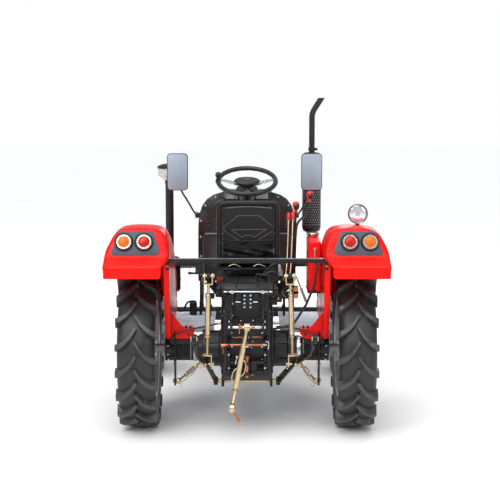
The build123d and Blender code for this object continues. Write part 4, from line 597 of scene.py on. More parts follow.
def rear_rim():
    """Right rear wheel: rim with its flanges and well, dished disc, hub, nuts and cap."""
    hub, face = REAR_HUB, -0.087
    rim = [(-0.106, 0.298), (-0.108, 0.322), (-0.104, 0.326), (-0.100, 0.322), (-0.0985, 0.306), (-0.070, 0.303),
           (-0.052, 0.284), (0.052, 0.284), (0.070, 0.303), (0.0985, 0.306), (0.100, 0.322), (0.104, 0.326),
           (0.108, 0.322), (0.106, 0.298), (0.074, 0.296), (0.056, 0.277), (-0.056, 0.277), (-0.074, 0.296)]
    disc = [(face, 0.030), (face, 0.128), (face + 0.006, 0.140), (face + 0.044, 0.194), (face + 0.050, 0.206),
            (face + 0.050, 0.280), (face + 0.057, 0.280), (face + 0.057, 0.203), (face + 0.051, 0.190),
            (face + 0.013, 0.136), (face + 0.008, 0.125), (face + 0.008, 0.030)]
    pieces = [spun("rim", rim, hub, (1, 0, 0), 72)]
    web = spun("disc", disc, hub, (1, 0, 0), 72)
    holes = []
    for n in range(8):
        turn = math.tau * (n + 0.5) / 8
        spot = hub + Vector((0, 0.240 * math.cos(turn), 0.240 * math.sin(turn)))
        holes.append(bar("hole", spot + Vector((-0.12, 0, 0)), spot + Vector((0.06, 0, 0)), 0.024, edge=0))
    pieces.append(cut(web, joined("holes", holes)))
    out = Vector((1, 0, 0))
    pieces.append(spun("hub_plate", [(face - 0.016, 0.020), (face - 0.016, 0.086), (face - 0.012, 0.091),
                                     (face, 0.092), (face, 0.020)], hub, (1, 0, 0), 48))
    pieces.append(spun("cap", [(face + 0.006, 0.010), (face + 0.006, 0.060), (face + 0.012, 0.062),
                               (face + 0.050, 0.050), (face + 0.060, 0.040), (face + 0.062, 0.010)],
                       hub, (1, 0, 0), 48))
    ring = [(hub + Vector((face + 0.008, 0.098 * math.cos(a), 0.098 * math.sin(a))), out)
            for a in (math.tau * n / 8 for n in range(8))]
    pieces.append(bolts("wheel_nuts", ring, 0.017, 0.014))
    inside = [(hub + Vector((face - 0.016, 0.072 * math.cos(a), 0.072 * math.sin(a))), -out)
              for a in (math.tau * n / 6 for n in range(6))]
    pieces.append(bolts("hub_bolts", inside, 0.012, 0.008))
    lugs = [(hub + Vector((face + 0.057, 0.258 * math.cos(a), 0.258 * math.sin(a))), out)
            for a in (math.tau * n / 8 for n in range(8))]
    pieces.append(bolts("rim_bolts", lugs, 0.013, 0.009))
    shaft_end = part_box("rear_rim_right")[0].x
    pieces.append(bar("shaft", (shaft_end, hub.y, hub.z), (hub.x + face, hub.y, hub.z), 0.030, edge=0.001))
    return joined("rear_rim_right_looks", pieces)


def front_rim():
    """Right front wheel: rim, pressed disc, hub, cap and nuts."""
    hub = FRONT_HUB
    rim = [(-0.064, 0.198), (-0.066, 0.217), (-0.063, 0.221), (-0.060, 0.217), (-0.0585, 0.205), (-0.040, 0.203),
           (-0.028, 0.188), (0.028, 0.188), (0.040, 0.203), (0.0585, 0.205), (0.060, 0.217), (0.063, 0.221),
           (0.066, 0.217), (0.064, 0.198), (0.043, 0.197), (0.031, 0.182), (-0.031, 0.182), (-0.043, 0.197)]
    disc = [(0.020, 0.020), (0.020, 0.098), (0.014, 0.108), (-0.004, 0.132), (-0.004, 0.184), (0.002, 0.184),
            (0.002, 0.134), (0.020, 0.112), (0.026, 0.100), (0.026, 0.020)]
    pieces = [spun("rim", rim, hub, (1, 0, 0), 64), spun("disc", disc, hub, (1, 0, 0), 64)]
    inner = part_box("front_rim_right")[0].x - hub.x
    pieces.append(spun("hub", [(inner, 0.026), (inner, 0.044), (inner + 0.006, 0.048), (0.010, 0.050), (0.030, 0.050),
                               (0.056, 0.043), (0.060, 0.036), (0.060, 0.0)], hub, (1, 0, 0), 48, closed=False))
    out = Vector((1, 0, 0))
    ring = [(hub + Vector((0.026, 0.076 * math.cos(a), 0.076 * math.sin(a))), out)
            for a in (math.tau * n / 6 for n in range(6))]
    pieces.append(bolts("wheel_nuts", ring, 0.014, 0.012))
    return joined("front_rim_right_looks", pieces)


for made, node in ((rear_tyre, "rear_tyre"), (front_tyre, "front_tyre"), (rear_rim, "rear_rim"),
                   (front_rim, "front_rim")):
    right = made()
    left = twin(right, node + "_left_looks")
    rubber = node.endswith("tyre")
    wheel = "rear_wheel_" if node.startswith("rear") else "front_wheel_"
    for piece, side in ((right, "right"), (left, "left")):
        dressed(piece, wheel + side, None if rubber else RIM_PAINT,
                (node + "_" + side,))

# ---------------------------------------------------------------- fenders and rear lamps
PANEL_LOW = place(0, -458, 1192)
UP_PANEL = (place(0, -402, 1358) - PANEL_LOW).normalized()
OFF_PANEL = Vector((0, -UP_PANEL.z, UP_PANEL.y))
LAMP_X = (0.769, 0.643)
LAMP_UP = 0.089


def on_panel(x, up, off=0.0):
    """A place on the right fender's sloped rear face."""
    return PANEL_LOW + Vector((x, 0, 0)) + UP_PANEL * up + OFF_PANEL * off


HOOD_TOP = 1367
HOOD_SECTION = [(490, 1168), (489, 1226), (503, 1318), (546, 1362), (680, 1367), (775, 1362), (828, 1334),
                (864, 1268), (895, 1204), (896, 1135), (896, 1062)]
HOOD_LINE = [(-549, 1062), (-549, 1135), (-457, 1192), (-429, 1272), (-402, 1352), (-350, 1366), (-120, 1367),
             (140, 1296), (400, 1208), (500, 1098), (555, 965), (585, 860), (599, 762)]


def lip_height(y):
    """The fender's lower edge on its outer side: a level lip at the rear, then the wheel arch."""
    if y < 95:
        return 1062 + 35 * max(0, y + 550) / 645
    return REAR_R * 1000 + math.sqrt(max(0, 590 ** 2 - y ** 2))


def hood_corner(column, row):
    """One corner of the fender's cage: across the section by column, along the side line by row."""
    x, z = HOOD_SECTION[column]
    y, z_line = HOOD_LINE[row]
    if row < 5:
        z = min(z, z_line)
        if row < 2 and column < 3:
            x = max(x, (534, 548, 575)[column])
        if row == 0:
            x, y, z = {9: (870, y, z), 10: (892, -542, 1066)}.get(column, (x, y, z + (6 if column == 0 else 0)))
        elif row == 1 and column == 10:
            y = -520
        return place(x, y, z)
    drop = HOOD_TOP - z_line
    if column > 8:
        low = lip_height(y) if z_line > 765 else 762
        return place(x, y, low if column == 10 else max(low + 6, min(1135, z_line - 30, low + 75)))
    if column < 3:
        return place(x, y, max(z - drop, min(z_line - 4 * (2 - column), 762 + 5 * column)))
    return place(x, y, z_line - (HOOD_TOP - z) * (1 if drop < 70 else max(0.2, 1 - (drop - 70) / 260)))


def fender():
    """Right fender: thin pressed shell over the tyre with a hood at the rear and a hanging lip."""
    columns, rows = len(HOOD_SECTION), len(HOOD_LINE)
    bpy.ops.mesh.primitive_grid_add(x_subdivisions=columns - 1, y_subdivisions=rows - 1, size=2)
    shell = named("fender_shell")
    for corner in shell.data.vertices:
        column = round((corner.co.x + 1) / 2 * (columns - 1))
        row = round((corner.co.y + 1) / 2 * (rows - 1))
        corner.co = hood_corner(column, row)
    crease = shell.data.attributes.new("crease_edge", "FLOAT", "EDGE")
    for edge in shell.data.edges:
        a, b = (shell.data.vertices[n].co for n in edge.vertices)
        on_crease = abs(a.z - 1.135) < 0.002 and abs(b.z - 1.135) < 0.002
        on_panel_edge = abs(a.z - b.z) < 0.001 and min(a.y, b.y) < AXLE_Y - 0.39 and 1.18 < a.z < 1.2
        crease.data[edge.index].value = 0.75 if on_crease else 0.35 if on_panel_edge else 0.0
    modified(shell, "SUBSURF", levels=3, render_levels=3)
    outwards(shell)
    if sum(face.normal.z * face.area for face in shell.data.polygons) < 0:
        take(shell)
        bpy.ops.object.mode_set(mode="EDIT")
        bpy.ops.mesh.select_all(action="SELECT")
        bpy.ops.mesh.flip_normals()
        bpy.ops.object.mode_set(mode="OBJECT")
    modified(shell, "SOLIDIFY", thickness=0.004, offset=-1.0, use_even_offset=False)
    shell = smooth(shell, 40)
    shell.name = "fender_right_looks"
    return shell


def lamp_panel():
    """Slate panel with a raised edge that carries two lamps."""
    corners = [(590, 160), (797, 160), (848, 22), (846, 12), (838, 6), (565, 6), (543, 28), (542, 36)]
    base = slab("panel", [on_panel(x * MM, up * MM, 0.0005) for x, up in corners], OFF_PANEL * 0.006, 0.0022, 3, 40)
    return smooth(base, 40)


def lamp(x):
    """The housing, ring and lens of one lamp: thick dark bezel, segmented pale ring, domed lens."""
    centre = on_panel(x, LAMP_UP)
    bezel = [(0.006, 0.060), (0.013, 0.0585), (0.021, 0.056), (0.025, 0.0525), (0.025, 0.0500), (0.021, 0.0480),
             (0.0165, 0.0470), (0.0165, 0.0340), (0.006, 0.0340)]
    housing = painted(spun("lamp_housing", bezel, centre, OFF_PANEL, 64), BLACK_PLASTIC)
    ring = painted(spun("lamp_ring", [(0.0155, 0.0335), (0.0185, 0.0345), (0.0185, 0.0455), (0.0155, 0.0465)],
                        centre, OFF_PANEL, 64), BRASS_RING)
    teeth = []
    side = OFF_PANEL.orthogonal().normalized()
    for number in range(20):
        turn = Matrix.Rotation(math.tau * number / 20, 3, OFF_PANEL)
        out = turn @ side
        tooth = bar("tooth", centre + OFF_PANEL * 0.0182 + out * 0.0350, centre + OFF_PANEL * 0.0182 + out * 0.0462,
                    0.0016, edge=0, sides=6)
        teeth.append(tooth)
    ticks = painted(joined("ring_ticks", teeth), BLACK_PLASTIC)
    lens = painted(spun("lens", [(0.012, 0.0), (0.012, 0.0352), (0.019, 0.0350), (0.0235, 0.0315),
                                 (0.0268, 0.0215), (0.0280, 0.0100), (0.0284, 0.0)],
                        centre, OFF_PANEL, 64, closed=False), LENS_AMBER if x > 0.7 else LENS_RED)
    return housing, ring, ticks, lens


right_fender = fender()
left_fender = twin(right_fender, "fender_left_looks")
dressed(right_fender, "chassis", RED_PAINT, ("fender_right",))
dressed(left_fender, "chassis", RED_PAINT, ("fender_left",))

panel = lamp_panel()
panels = joined("lamp_panels_looks", [panel, twin(panel, "lamp_panel_left")])
dressed(panels, "chassis", SLATE, ("lamp_panels",))

bezels, lenses = [], []
for lamp_x in LAMP_X:
    housing, ring, ticks, lens = lamp(lamp_x)
    for part in (housing, ring, ticks):
        bezels += [part, twin(part, part.name + "_left")]
    lenses += [lens, twin(lens, lens.name + "_left")]
dressed(joined("lamp_housings_looks", bezels), "chassis", None, ("lamp_housings",))
dressed(joined("lamp_lenses_looks", lenses), "chassis", None, ("lamp_lenses",))


def work_lamp():
    """Round work lamp: bowl with cooling ribs, rim, fluted reflector behind glass, and its stalk."""
    centre = place(707, -230, 1432)
    back = Vector((0, 1, 0))
    bowl = [(0.002, 0.0585), (0.000, 0.062), (0.004, 0.064), (0.014, 0.064), (0.018, 0.060), (0.034, 0.058),
            (0.054, 0.046), (0.068, 0.030), (0.074, 0.012), (0.075, 0.0), (0.070, 0.0), (0.064, 0.026),
            (0.050, 0.042), (0.030, 0.053), (0.012, 0.0565)]
    shell = painted(spun("work_lamp_bowl", bowl, centre, back, 64), BLACK_PLASTIC)
    glass = painted(spun("work_lamp_glass", [(0.010, 0.0575), (0.006, 0.050), (0.003, 0.030), (0.002, 0.0),
                                             (0.006, 0.0), (0.007, 0.030), (0.012, 0.0575)],
                         centre, back, 64, closed=False), CLEAR_LAMP)
    ring = painted(spun("work_lamp_ring", [(0.001, 0.0565), (-0.001, 0.0585), (0.001, 0.0605), (0.004, 0.0585)],
                        centre, back, 64), BRIGHT_STEEL)
    bulb = painted(spun("work_lamp_bulb", [(0.0005, 0.0), (0.001, 0.014), (0.004, 0.016), (0.004, 0.0)],
                        centre, back, 32, closed=False), BRIGHT_STEEL)
    flutes = []
    for number in range(24):
        turn = math.tau * number / 24
        out = Vector((math.cos(turn), 0, math.sin(turn)))
        flutes.append(bar("flute", centre + out * 0.020 + back * 0.0038, centre + out * 0.052 + back * 0.0075,
                          0.0014, edge=0, sides=6))
    lines = painted(joined("work_lamp_flutes", flutes), CLEAR_LAMP)
    foot = centre + Vector((0, 0.035, 0))
    stalk = painted(joined("stalk", [
        bar("stalk", (foot.x, foot.y, 1.357), (foot.x, foot.y, foot.z - 0.050), 0.009),
        box("stalk_plate", (foot.x - 0.024, foot.y - 0.018, 1.354), (foot.x + 0.024, foot.y + 0.018, 1.359), 0.0015),
        bar("stalk_nut", (foot.x, foot.y, 1.359), (foot.x, foot.y, 1.371), 0.014, sides=6),
        tube("work_lamp_lead", [foot + Vector((0.006, 0.030, -0.020)), foot + Vector((0.010, 0.048, -0.045)),
                                Vector((foot.x + 0.012, foot.y + 0.036, 1.362)),
                                Vector((foot.x + 0.012, foot.y + 0.026, 1.356))], 0.0025)]), FRAME_BLACK)
    return joined("work_lamp_looks", [shell, glass, ring, bulb, lines, stalk])


dressed(work_lamp(), "chassis", None, ("work_lamp",))

# ---------------------------------------------------------------- cowl and instrument hood
ARCH = [(350, 830), (350, 1130), (348, 1240), (341, 1311), (320, 1374), (285, 1422), (238, 1453), (160, 1477),
        (75, 1486)]


def arch(inset, y, low=830, high=None):
    """The cowl's arched outline at y, drawn in by inset, between two heights."""
    half = []
    for x, z in ARCH:
        shrink = inset / 350
        z = z - inset * max(0, (z - 1130) / 356) * 1.0
        if z >= low:
            half.append((x * (1 - shrink), z))
    half.insert(0, (half[0][0], low))
    if high:
        half = [(x, z) for x, z in half if z < high - 4] + [(half[0][0], high)]
    return [place(x, y, z) for x, z in half] + [place(-x, y, z) for x, z in reversed(half)]


def cowl():
    """Arched black cowl: rim flange, hollowed face, stepped lower panel, louvres, bolts and column cover."""
    body = slab("cowl_body", arch(3, 862), (0, 0.262, 0), 0)
    front = AXLE_Y + 1.0
    for corner in body.data.vertices:
        if corner.co.y > front:
            corner.co.x *= 0.87
            corner.co.z = 0.83 + (corner.co.z - 0.83) * 0.918
    pieces = [smooth(rounded(body, 0.014, 3, 30), 40)]
    pieces.append(smooth(slab("cowl_rim", arch(0, 848), (0, 0.016, 0), 0.004, 2, 40), 30))
    pieces.append(smooth(slab("cowl_face", arch(46, 836, 1180), (0, 0.014, 0), 0.009, 3, 40), 30))
    lower = slab("cowl_lower", [place(x, 808, z) for x, z in
                                ((-312, 836), (312, 836), (318, 1150), (306, 1186), (-306, 1186), (-318, 1150))],
                 (0, 0.042, 0), 0.014, 4, 25)
    pieces.append(smooth(lower, 40))
    for side in (LEFT, RIGHT):
        fold = [place(side * x, 838, z) for x, z in ((292, 1352), (258, 1300), (196, 1318), (196, 1326), (262, 1309),
                                                     (297, 1358))]
        pieces.append(slab("cowl_fold", fold, (0, -0.006, 0), 0.002, 2))
        for number in range(5):
            z = 1214 + 20 * number
            pieces.append(slab("louvre", [place(side * x, 838, zz) for x, zz in
                                          ((287, z), (266, z), (266, z + 7), (287, z + 11))],
                               (0, -0.009, 0), 0.002, 2))
        leg_x = side * 0.319
        pieces.append(box("cowl_leg", sorted_low(leg_x - side * 0.006, AXLE_Y + 0.855, 0.610,
                                                 leg_x, AXLE_Y + 1.06, 0.835)[0],
                          sorted_low(leg_x - side * 0.006, AXLE_Y + 0.855, 0.610,
                                     leg_x, AXLE_Y + 1.06, 0.835)[1], 0.0015))
        pieces.append(box("cowl_foot", *sorted_low(leg_x - side * 0.006, AXLE_Y + 0.838, 0.608,
                                                   side * 0.340, AXLE_Y + 0.855, 0.835), 0.0015))
    pieces.append(box("cowl_neck", place(-90, 870, 800), place(90, 1110, 836), 0.004))
    spots = [place(side * x, 847, z) for side in (LEFT, RIGHT) for x, z in
             ((331, 880), (331, 1010), (331, 1150), (328, 1265), (296, 1376), (222, 1436), (120, 1466))]
    pieces.append(painted(bolts("cowl_bolts", [(spot, (0, -1, 0)) for spot in spots], 0.010, 0.005), BRIGHT_STEEL))
    return pieces


def sorted_low(xa, ya, za, xb, yb, zb):
    """Two corners put in order, lowest first."""
    return ((min(xa, xb), min(ya, yb), min(za, zb)), (max(xa, xb), max(ya, yb), max(za, zb)))


WHEEL_CENTRE = place(0, 650, 1568)
TILT = math.radians(22)
COLUMN_DOWN = Vector((0, math.sin(TILT), -math.cos(TILT)))


def column_and_dash():
    """The steering column's tapered cover and the instrument hood on the cowl."""
    cover = spun("column_cover", [(0.062, 0.026), (0.060, 0.074), (0.070, 0.080), (0.100, 0.074), (0.150, 0.056),
                                  (0.200, 0.048), (0.300, 0.050), (0.520, 0.058), (0.520, 0.026)], WHEEL_CENTRE,
                 COLUMN_DOWN, 48)
    hood = slab("dash_hood", [place(*p) for p in ((-172, 836, 1416), (-172, 830, 1424), (-168, 838, 1472),
                                                  (-165, 862, 1480), (-160, 1010, 1480), (-160, 1100, 1446))],
                (0.342, 0, 0), 0.010, 4)
    plate = slab("dash_plate", [place(*p) for p in ((-150, 830, 1424), (150, 830, 1424), (146, 838, 1472),
                                                    (-146, 838, 1472))], (0, -0.0035, 0.0006), 0.001)
    gauges = []
    normal = Vector((0, -1, 0.15)).normalized()
    for x in (-100, 100):
        spot = place(x, 831, 1450)
        gauges.append(spun("gauge", [(0.002, 0.0), (0.002, 0.020), (0.007, 0.0205), (0.007, 0.024), (0.0, 0.0245),
                                     (0.0, 0.0)], spot, normal, 40, closed=False))
    return cover, smooth(hood, 40), painted(joined("gauges", gauges), BRIGHT_STEEL), painted(plate, BRIGHT_STEEL)


cover, hood, gauges, plate = column_and_dash()
shell = cowl()
black = [piece for piece in shell if not piece.data.materials] + [cover, hood]
for piece in black:
    painted(piece, COWL_PLASTIC)
for ear in (130, -130):
    black.append(painted(box("hinge_ear", place(ear - 24, 1118, 1405), place(ear - 16, 1162, 1445), 0.002), FRAME_BLACK))
    black.append(painted(box("hinge_ear", place(ear + 16, 1118, 1405), place(ear + 24, 1162, 1445), 0.002), FRAME_BLACK))
    black.append(painted(bar("hinge_pin", place(ear - 27, 1156, 1434), place(ear + 27, 1156, 1434), 0.004), BRIGHT_STEEL))
bright = [piece for piece in shell if piece not in black]
dressed(joined("cowl_looks", black + bright + [gauges, plate]), "chassis", None, ("cowl",))


# ---------------------------------------------------------------- steering wheel
def steering_wheel():
    """Thick black rim with finger grips, three flat silvery spokes, oval hub pad and spinner knob."""
    across = Vector((1, 0, 0))
    up = -COLUMN_DOWN
    ahead = up.cross(across)
    frame_of_wheel = Matrix((across, ahead, up)).transposed().to_4x4()
    turned = Matrix.Translation(WHEEL_CENTRE) @ frame_of_wheel
    bpy.ops.mesh.primitive_torus_add(major_radius=0.2, minor_radius=0.0165, major_segments=96, minor_segments=20)
    rim = settled(named("rim"))
    grips = math.tau / 36
    for corner in rim.data.vertices:
        angle = math.atan2(corner.co.y, corner.co.x)
        out = math.hypot(corner.co.x, corner.co.y) - 0.2
        if corner.co.z < 0.004 and out < 0.008:
            sink = 1 - 0.09 * max(0, math.sin(angle / grips * math.pi)) ** 2
            corner.co.z *= sink
    pieces = [painted(smooth(rim, 60), BLACK_PLASTIC)]
    for degrees in (172, 8, 270):
        way = Vector((math.cos(math.radians(degrees)), math.sin(math.radians(degrees)), 0))
        side = Vector((-way.y, way.x, 0))
        near, far = way * 0.040 + Vector((0, 0, -0.034)), way * 0.192 + Vector((0, 0, -0.005))
        low = [near - side * 0.030, far - side * 0.016, far + side * 0.016, near + side * 0.030]
        spoke = slab("spoke", low, (0, 0, 0.004), 0.0015, 2)
        rib = slab("spoke_rib", [near - side * 0.006 + Vector((0, 0, 0.004)), far - side * 0.004 + Vector((0, 0, 0.004)),
                                 far + side * 0.004 + Vector((0, 0, 0.004)), near + side * 0.006 + Vector((0, 0, 0.004))],
                   (0, 0, 0.003), 0.001, 2)
        pieces += [painted(spoke, BRIGHT_STEEL), painted(rib, BRIGHT_STEEL)]
    hub = spun("hub", [(-0.046, 0.0), (-0.046, 0.034), (-0.020, 0.042), (-0.006, 0.066), (0.002, 0.070),
                       (0.010, 0.062), (0.014, 0.034), (0.015, 0.0)], (0, 0, 0), (0, 0, 1), 64, closed=False)
    badge = spun("badge", [(0.0135, 0.0), (0.0135, 0.020), (0.0165, 0.019), (0.0175, 0.0)], (0, 0, 0), (0, 0, 1), 40,
                 closed=False)
    for oval in (hub, badge):
        for corner in oval.data.vertices:
            corner.co.x *= 1.30
            corner.co.y *= 0.74
    pieces += [painted(hub, BLACK_PLASTIC), painted(badge, SLATE)]
    post = Vector((-0.200, 0.0, 0))
    pieces.append(painted(spun("spinner", [(0.0, 0.0), (0.0, 0.008), (0.012, 0.008), (0.018, 0.017), (0.032, 0.0215),
                                           (0.046, 0.020), (0.054, 0.011), (0.056, 0.0)], post + Vector((0, 0, 0.012)),
                               (0, 0, 1), 32, closed=False), BLACK_PLASTIC))
    pieces.append(painted(bar("spinner_clamp", post + Vector((0, -0.014, 0)), post + Vector((0, 0.014, 0)), 0.020),
                          BLACK_PLASTIC))
    pieces.append(painted(bar("column_shaft", (0, 0, -0.150), (0, 0, -0.030), 0.011), BRIGHT_STEEL))
    for piece in pieces:
        piece.data.transform(turned)
    return joined("steering_wheel_looks", pieces)


dressed(steering_wheel(), "steering_wheel", None, ("steering_wheel",))


# ---------------------------------------------------------------- mirrors
def rounded_plate(name, x0, x1, z0, z1, y, deep, corner, edge):
    """An upright plate with round corners, facing backwards."""
    outline = []
    for cx, cz, start in ((x1 - corner, z1 - corner, 0), (x0 + corner, z1 - corner, 90),
                          (x0 + corner, z0 + corner, 180), (x1 - corner, z0 + corner, 270)):
        for step in range(5):
            turn = math.radians(start + 22.5 * step)
            outline.append((cx + corner * math.cos(turn), y, cz + corner * math.sin(turn)))
    return smooth(slab(name, outline, (0, deep, 0), edge, 2), 40)


def mirror(side, centre):
    """One mirror: thin dark case with a bulged back, glass with a painted reflection as its pale colour, cranked arm,
    clamp and knob.
    """
    y = AXLE_Y + 0.750
    x0, x1, z0, z1 = centre - 0.074, centre + 0.074, 1.492, 1.754
    case = rounded_plate("mirror_case", x0, x1, z0, z1, y, 0.016, 0.026, 0.005)
    back = rounded_plate("mirror_back", x0 + 0.008, x1 - 0.008, z0 + 0.008, z1 - 0.008, y + 0.012, 0.012, 0.022, 0.009)
    lip = rounded_plate("mirror_lip", x0 + 0.001, x1 - 0.001, z0 + 0.001, z1 - 0.001, y - 0.0012, 0.004, 0.025, 0.001)
    glass = painted(rounded_plate("mirror_face", x0 + 0.005, x1 - 0.005, z0 + 0.005, z1 - 0.005, y - 0.0022, 0.003,
                                  0.022, 0.0008), MIRROR_PAINTED_REFLECTION)
    foot = Vector((side * 0.352, AXLE_Y + 0.905, 1.300))
    arm = tube("mirror_arm", [foot + Vector((side * 0.004, 0, 0)), foot + Vector((side * 0.020, 0, 0.006)),
                              foot + Vector((side * 0.072, -0.050, 0.110)),
                              Vector((centre - side * 0.012, AXLE_Y + 0.766, 1.505)),
                              Vector((centre, AXLE_Y + 0.765, 1.620))], 0.0065)
    clamp = box("mirror_clamp", *sorted_low(side * 0.336, foot.y - 0.020, foot.z - 0.018, side * 0.362, foot.y + 0.020,
                                            foot.z + 0.018), 0.004)
    knob = bar("clamp_knob", foot + Vector((side * 0.010, -0.018, 0.002)), foot + Vector((side * 0.010, -0.040, 0.002)),
               0.011, sides=12)
    bolt = bolts("clamp_bolts", [(foot + Vector((side * 0.014, -0.021, -0.012)), (0, -1, 0)),
                                 (foot + Vector((side * 0.010, 0.0, 0.019)), (0, 0, 1))], 0.010, 0.006)
    ball_joint = ball("mirror_ball", Vector((centre, AXLE_Y + 0.772, 1.620)), 0.013)
    dark = painted(joined("mirror_dark", [case, back, lip, arm, clamp, knob, ball_joint]), BLACK_PLASTIC)
    return [dark, glass, painted(bolt, BRIGHT_STEEL)]


dressed(joined("mirrors_looks", mirror(LEFT, -0.490) + mirror(RIGHT, 0.456)), "chassis", None,
        ("mirrors",))


# ---------------------------------------------------------------- seat
SEAT_SHIFT = 8


def back_point(x, z, forward=0.0):
    """A point on the leaning plane of the backrest."""
    share = (z - 1050) / (1486 - 1050)
    return place(x + SEAT_SHIFT, 20 - 80 * share + forward, z)


def puffed(pad, keep, cells=0.006, pressure=4.0, reach=0.024):
    """Fills a pad like a cushion: remeshed, blown up as cloth, its swelling capped, then smoothed."""
    modified(pad, "REMESH", mode="VOXEL", voxel_size=cells)
    rest = [corner.co.copy() for corner in pad.data.vertices]
    take(pad)
    held = pad.vertex_groups.new(name="held")
    held.add([n for n, spot in enumerate(rest) if keep(spot)], 1.0, "REPLACE")
    cloth = pad.modifiers.new("Cloth", "CLOTH")
    cloth.settings.use_pressure = True
    cloth.settings.uniform_pressure_force = pressure
    cloth.settings.effector_weights.gravity = 0
    cloth.settings.vertex_group_mass = "held"
    cloth.point_cache.frame_start, cloth.point_cache.frame_end = 1, 20
    for moment in range(1, 21):
        bpy.context.scene.frame_set(moment)
    bpy.ops.object.modifier_apply(modifier=cloth.name)
    bpy.context.scene.frame_set(1)
    for corner, start in zip(pad.data.vertices, rest):
        move = corner.co - start
        if move.length > reach:
            corner.co = start + move * (reach / move.length)
    pad.vertex_groups.clear()
    return smooth(modified(pad, "SUBSURF", levels=1, render_levels=1), 70)


def seat_cushion():
    """Seat cushion: dished in the middle, higher at its sides and front, with three sewn channels."""
    low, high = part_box("seat_cushion")
    bpy.ops.mesh.primitive_cube_add(size=1, location=(low + high) / 2)
    pad = named("seat_cushion_pad")
    size = high - low
    pad.scale = (size.x - 0.018, size.y - 0.018, size.z - 0.022)
    settled(pad)
    take(pad)
    bpy.ops.object.mode_set(mode="EDIT")
    bpy.ops.mesh.select_all(action="SELECT")
    bpy.ops.mesh.subdivide(number_cuts=7)
    bpy.ops.object.mode_set(mode="OBJECT")
    centre = (low + high) / 2
    for corner in pad.data.vertices:
        side = abs(corner.co.x - centre.x) / (size.x / 2)
        along = (corner.co.y - low.y) / size.y
        lift = max(0.0, (corner.co.z - centre.z) / (size.z / 2))
        corner.co.z -= lift * (0.030 * (1 - side ** 2) * math.sin(math.pi * min(1, along * 0.9 + 0.05)) + 0.004)
        if side > 0.6:
            corner.co.y = centre.y + (corner.co.y - centre.y) * (1 - 0.10 * (side - 0.6) / 0.4)
    modified(pad, "SUBSURF", levels=1, render_levels=1)
    puffed(pad, lambda spot: spot.z < low.z + 0.014, reach=0.012)
    for corner in pad.data.vertices:
        if corner.co.z > centre.z - 0.005:
            for line in (-0.105, 0.105):
                gap = abs(corner.co.x - centre.x - line)
                if gap < 0.012:
                    corner.co.z -= 0.006 * (1 - gap / 0.012)
            gap = abs(corner.co.y - (high.y - 0.085))
            if gap < 0.012 and abs(corner.co.x - centre.x) < 0.105:
                corner.co.z -= 0.006 * (1 - gap / 0.012)
        corner.co.z = max(corner.co.z, low.z + 0.0005)
    return pad


cushion = seat_cushion()
low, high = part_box("seat_cushion")
dressed(cushion, "chassis", SEAT_VINYL, ("seat_cushion",))


def seat_back_pad():
    """The backrest's soft front: crowned, with side bolsters."""
    corners = [back_point(x, z, 8) for x, z in ((-158, 1166), (158, 1166), (160, 1300), (156, 1420), (128, 1462),
                                               (-128, 1462), (-156, 1420), (-160, 1300))]
    pad = slab("seat_back_pad", corners, (0, 0.036, 0.0), 0.012, 3)
    puffed(pad, lambda spot: spot.y < back_point(0, spot.z * 1000, 14).y, reach=0.016)
    for corner in pad.data.vertices:
        if corner.co.y > back_point(0, corner.co.z * 1000, 26).y:
            for line in (-0.078, 0.078):
                gap = abs(corner.co.x - SEAT_SHIFT * MM - line)
                if gap < 0.011:
                    corner.co.y -= 0.007 * (1 - gap / 0.011)
    return pad


def seat_back_shell():
    """The backrest's moulded rear: flat upper panel with raised seams, ridge, and a slack skirt below."""
    upper = slab("back_panel", [back_point(x, z, -11) for x, z in
                                ((-164, 1236), (164, 1236), (164, 1425), (150, 1458), (122, 1468), (-122, 1468),
                                 (-150, 1458), (-164, 1425))], (0, 0.018, 0.003), 0.006, 3, 30)
    # The top lip and the seams below take the lighter seam grey: painted highlights.
    lip = tube("panel_lip_painted_highlight", [back_point(x, z, -12) for x, z in ((-150, 1452), (-60, 1462), (60, 1462), (150, 1452))],
               0.0032)
    seams = []
    for line in (((-158, 1329), (-158, 1302), (-60, 1236)), ((-108, 1306), (-36, 1256)), ((122, 1314), (37, 1256)),
                 ((162, 1302), (68, 1240)), ((-158, 1330), (-92, 1378), (-68, 1402), (68, 1402), (140, 1348),
                                             (162, 1330)),
                 ((-36, 1256), (-22, 1271), (24, 1271), (37, 1256)), ((-108, 1308), (122, 1312))):
        seams.append(tube("seam", [back_point(x, z, -11.5) for x, z in line], 0.0016, smooth_line=False))
    ridge = tube("ridge", [back_point(x, z, -12) for x, z in ((-168, 1238), (-90, 1236), (-48, 1230), (0, 1233),
                                                             (48, 1230), (90, 1237), (168, 1239))], 0.0062)
    skirt = slab("skirt", [back_point(x, z, -8) for x, z in ((-164, 1128), (164, 1128), (165, 1238), (-165, 1238))],
                 (0, 0.012, 0), 0)
    take(skirt)
    bpy.ops.object.mode_set(mode="EDIT")
    bpy.ops.mesh.select_all(action="SELECT")
    bpy.ops.mesh.quads_convert_to_tris()
    bpy.ops.mesh.subdivide(number_cuts=24)
    bpy.ops.object.mode_set(mode="OBJECT")
    back = back_point(0, 1180, -8).y + 0.006
    for corner in skirt.data.vertices:
        if corner.co.y < back_point(0, corner.co.z * 1000, -2).y:
            x, z = corner.co.x, corner.co.z
            fall = (1.238 - z) / 0.11
            corner.co.y += fall * (0.006 * math.sin(34 * x + 3.1 * math.sin(9 * z * 6)) + 0.004 * math.sin(71 * x - 40 * z)
                                   + 0.004 * math.sin(90 * z + 12 * x)) - 0.004 * fall
    folds = [painted(smooth(skirt, 60), SKIRT_VINYL), painted(ridge, SEAT_VINYL), painted(smooth(upper, 30), SEAT_VINYL)]
    return joined("seat_back_shell", folds + [painted(seam, SEAM_PAINTED_HIGHLIGHT) for seam in [lip, *seams]])


back_pad = dressed(seat_back_pad(), "chassis", SEAT_VINYL, ("seat_back",))
dressed(seat_back_shell(), "chassis", None, ("seat_back",))


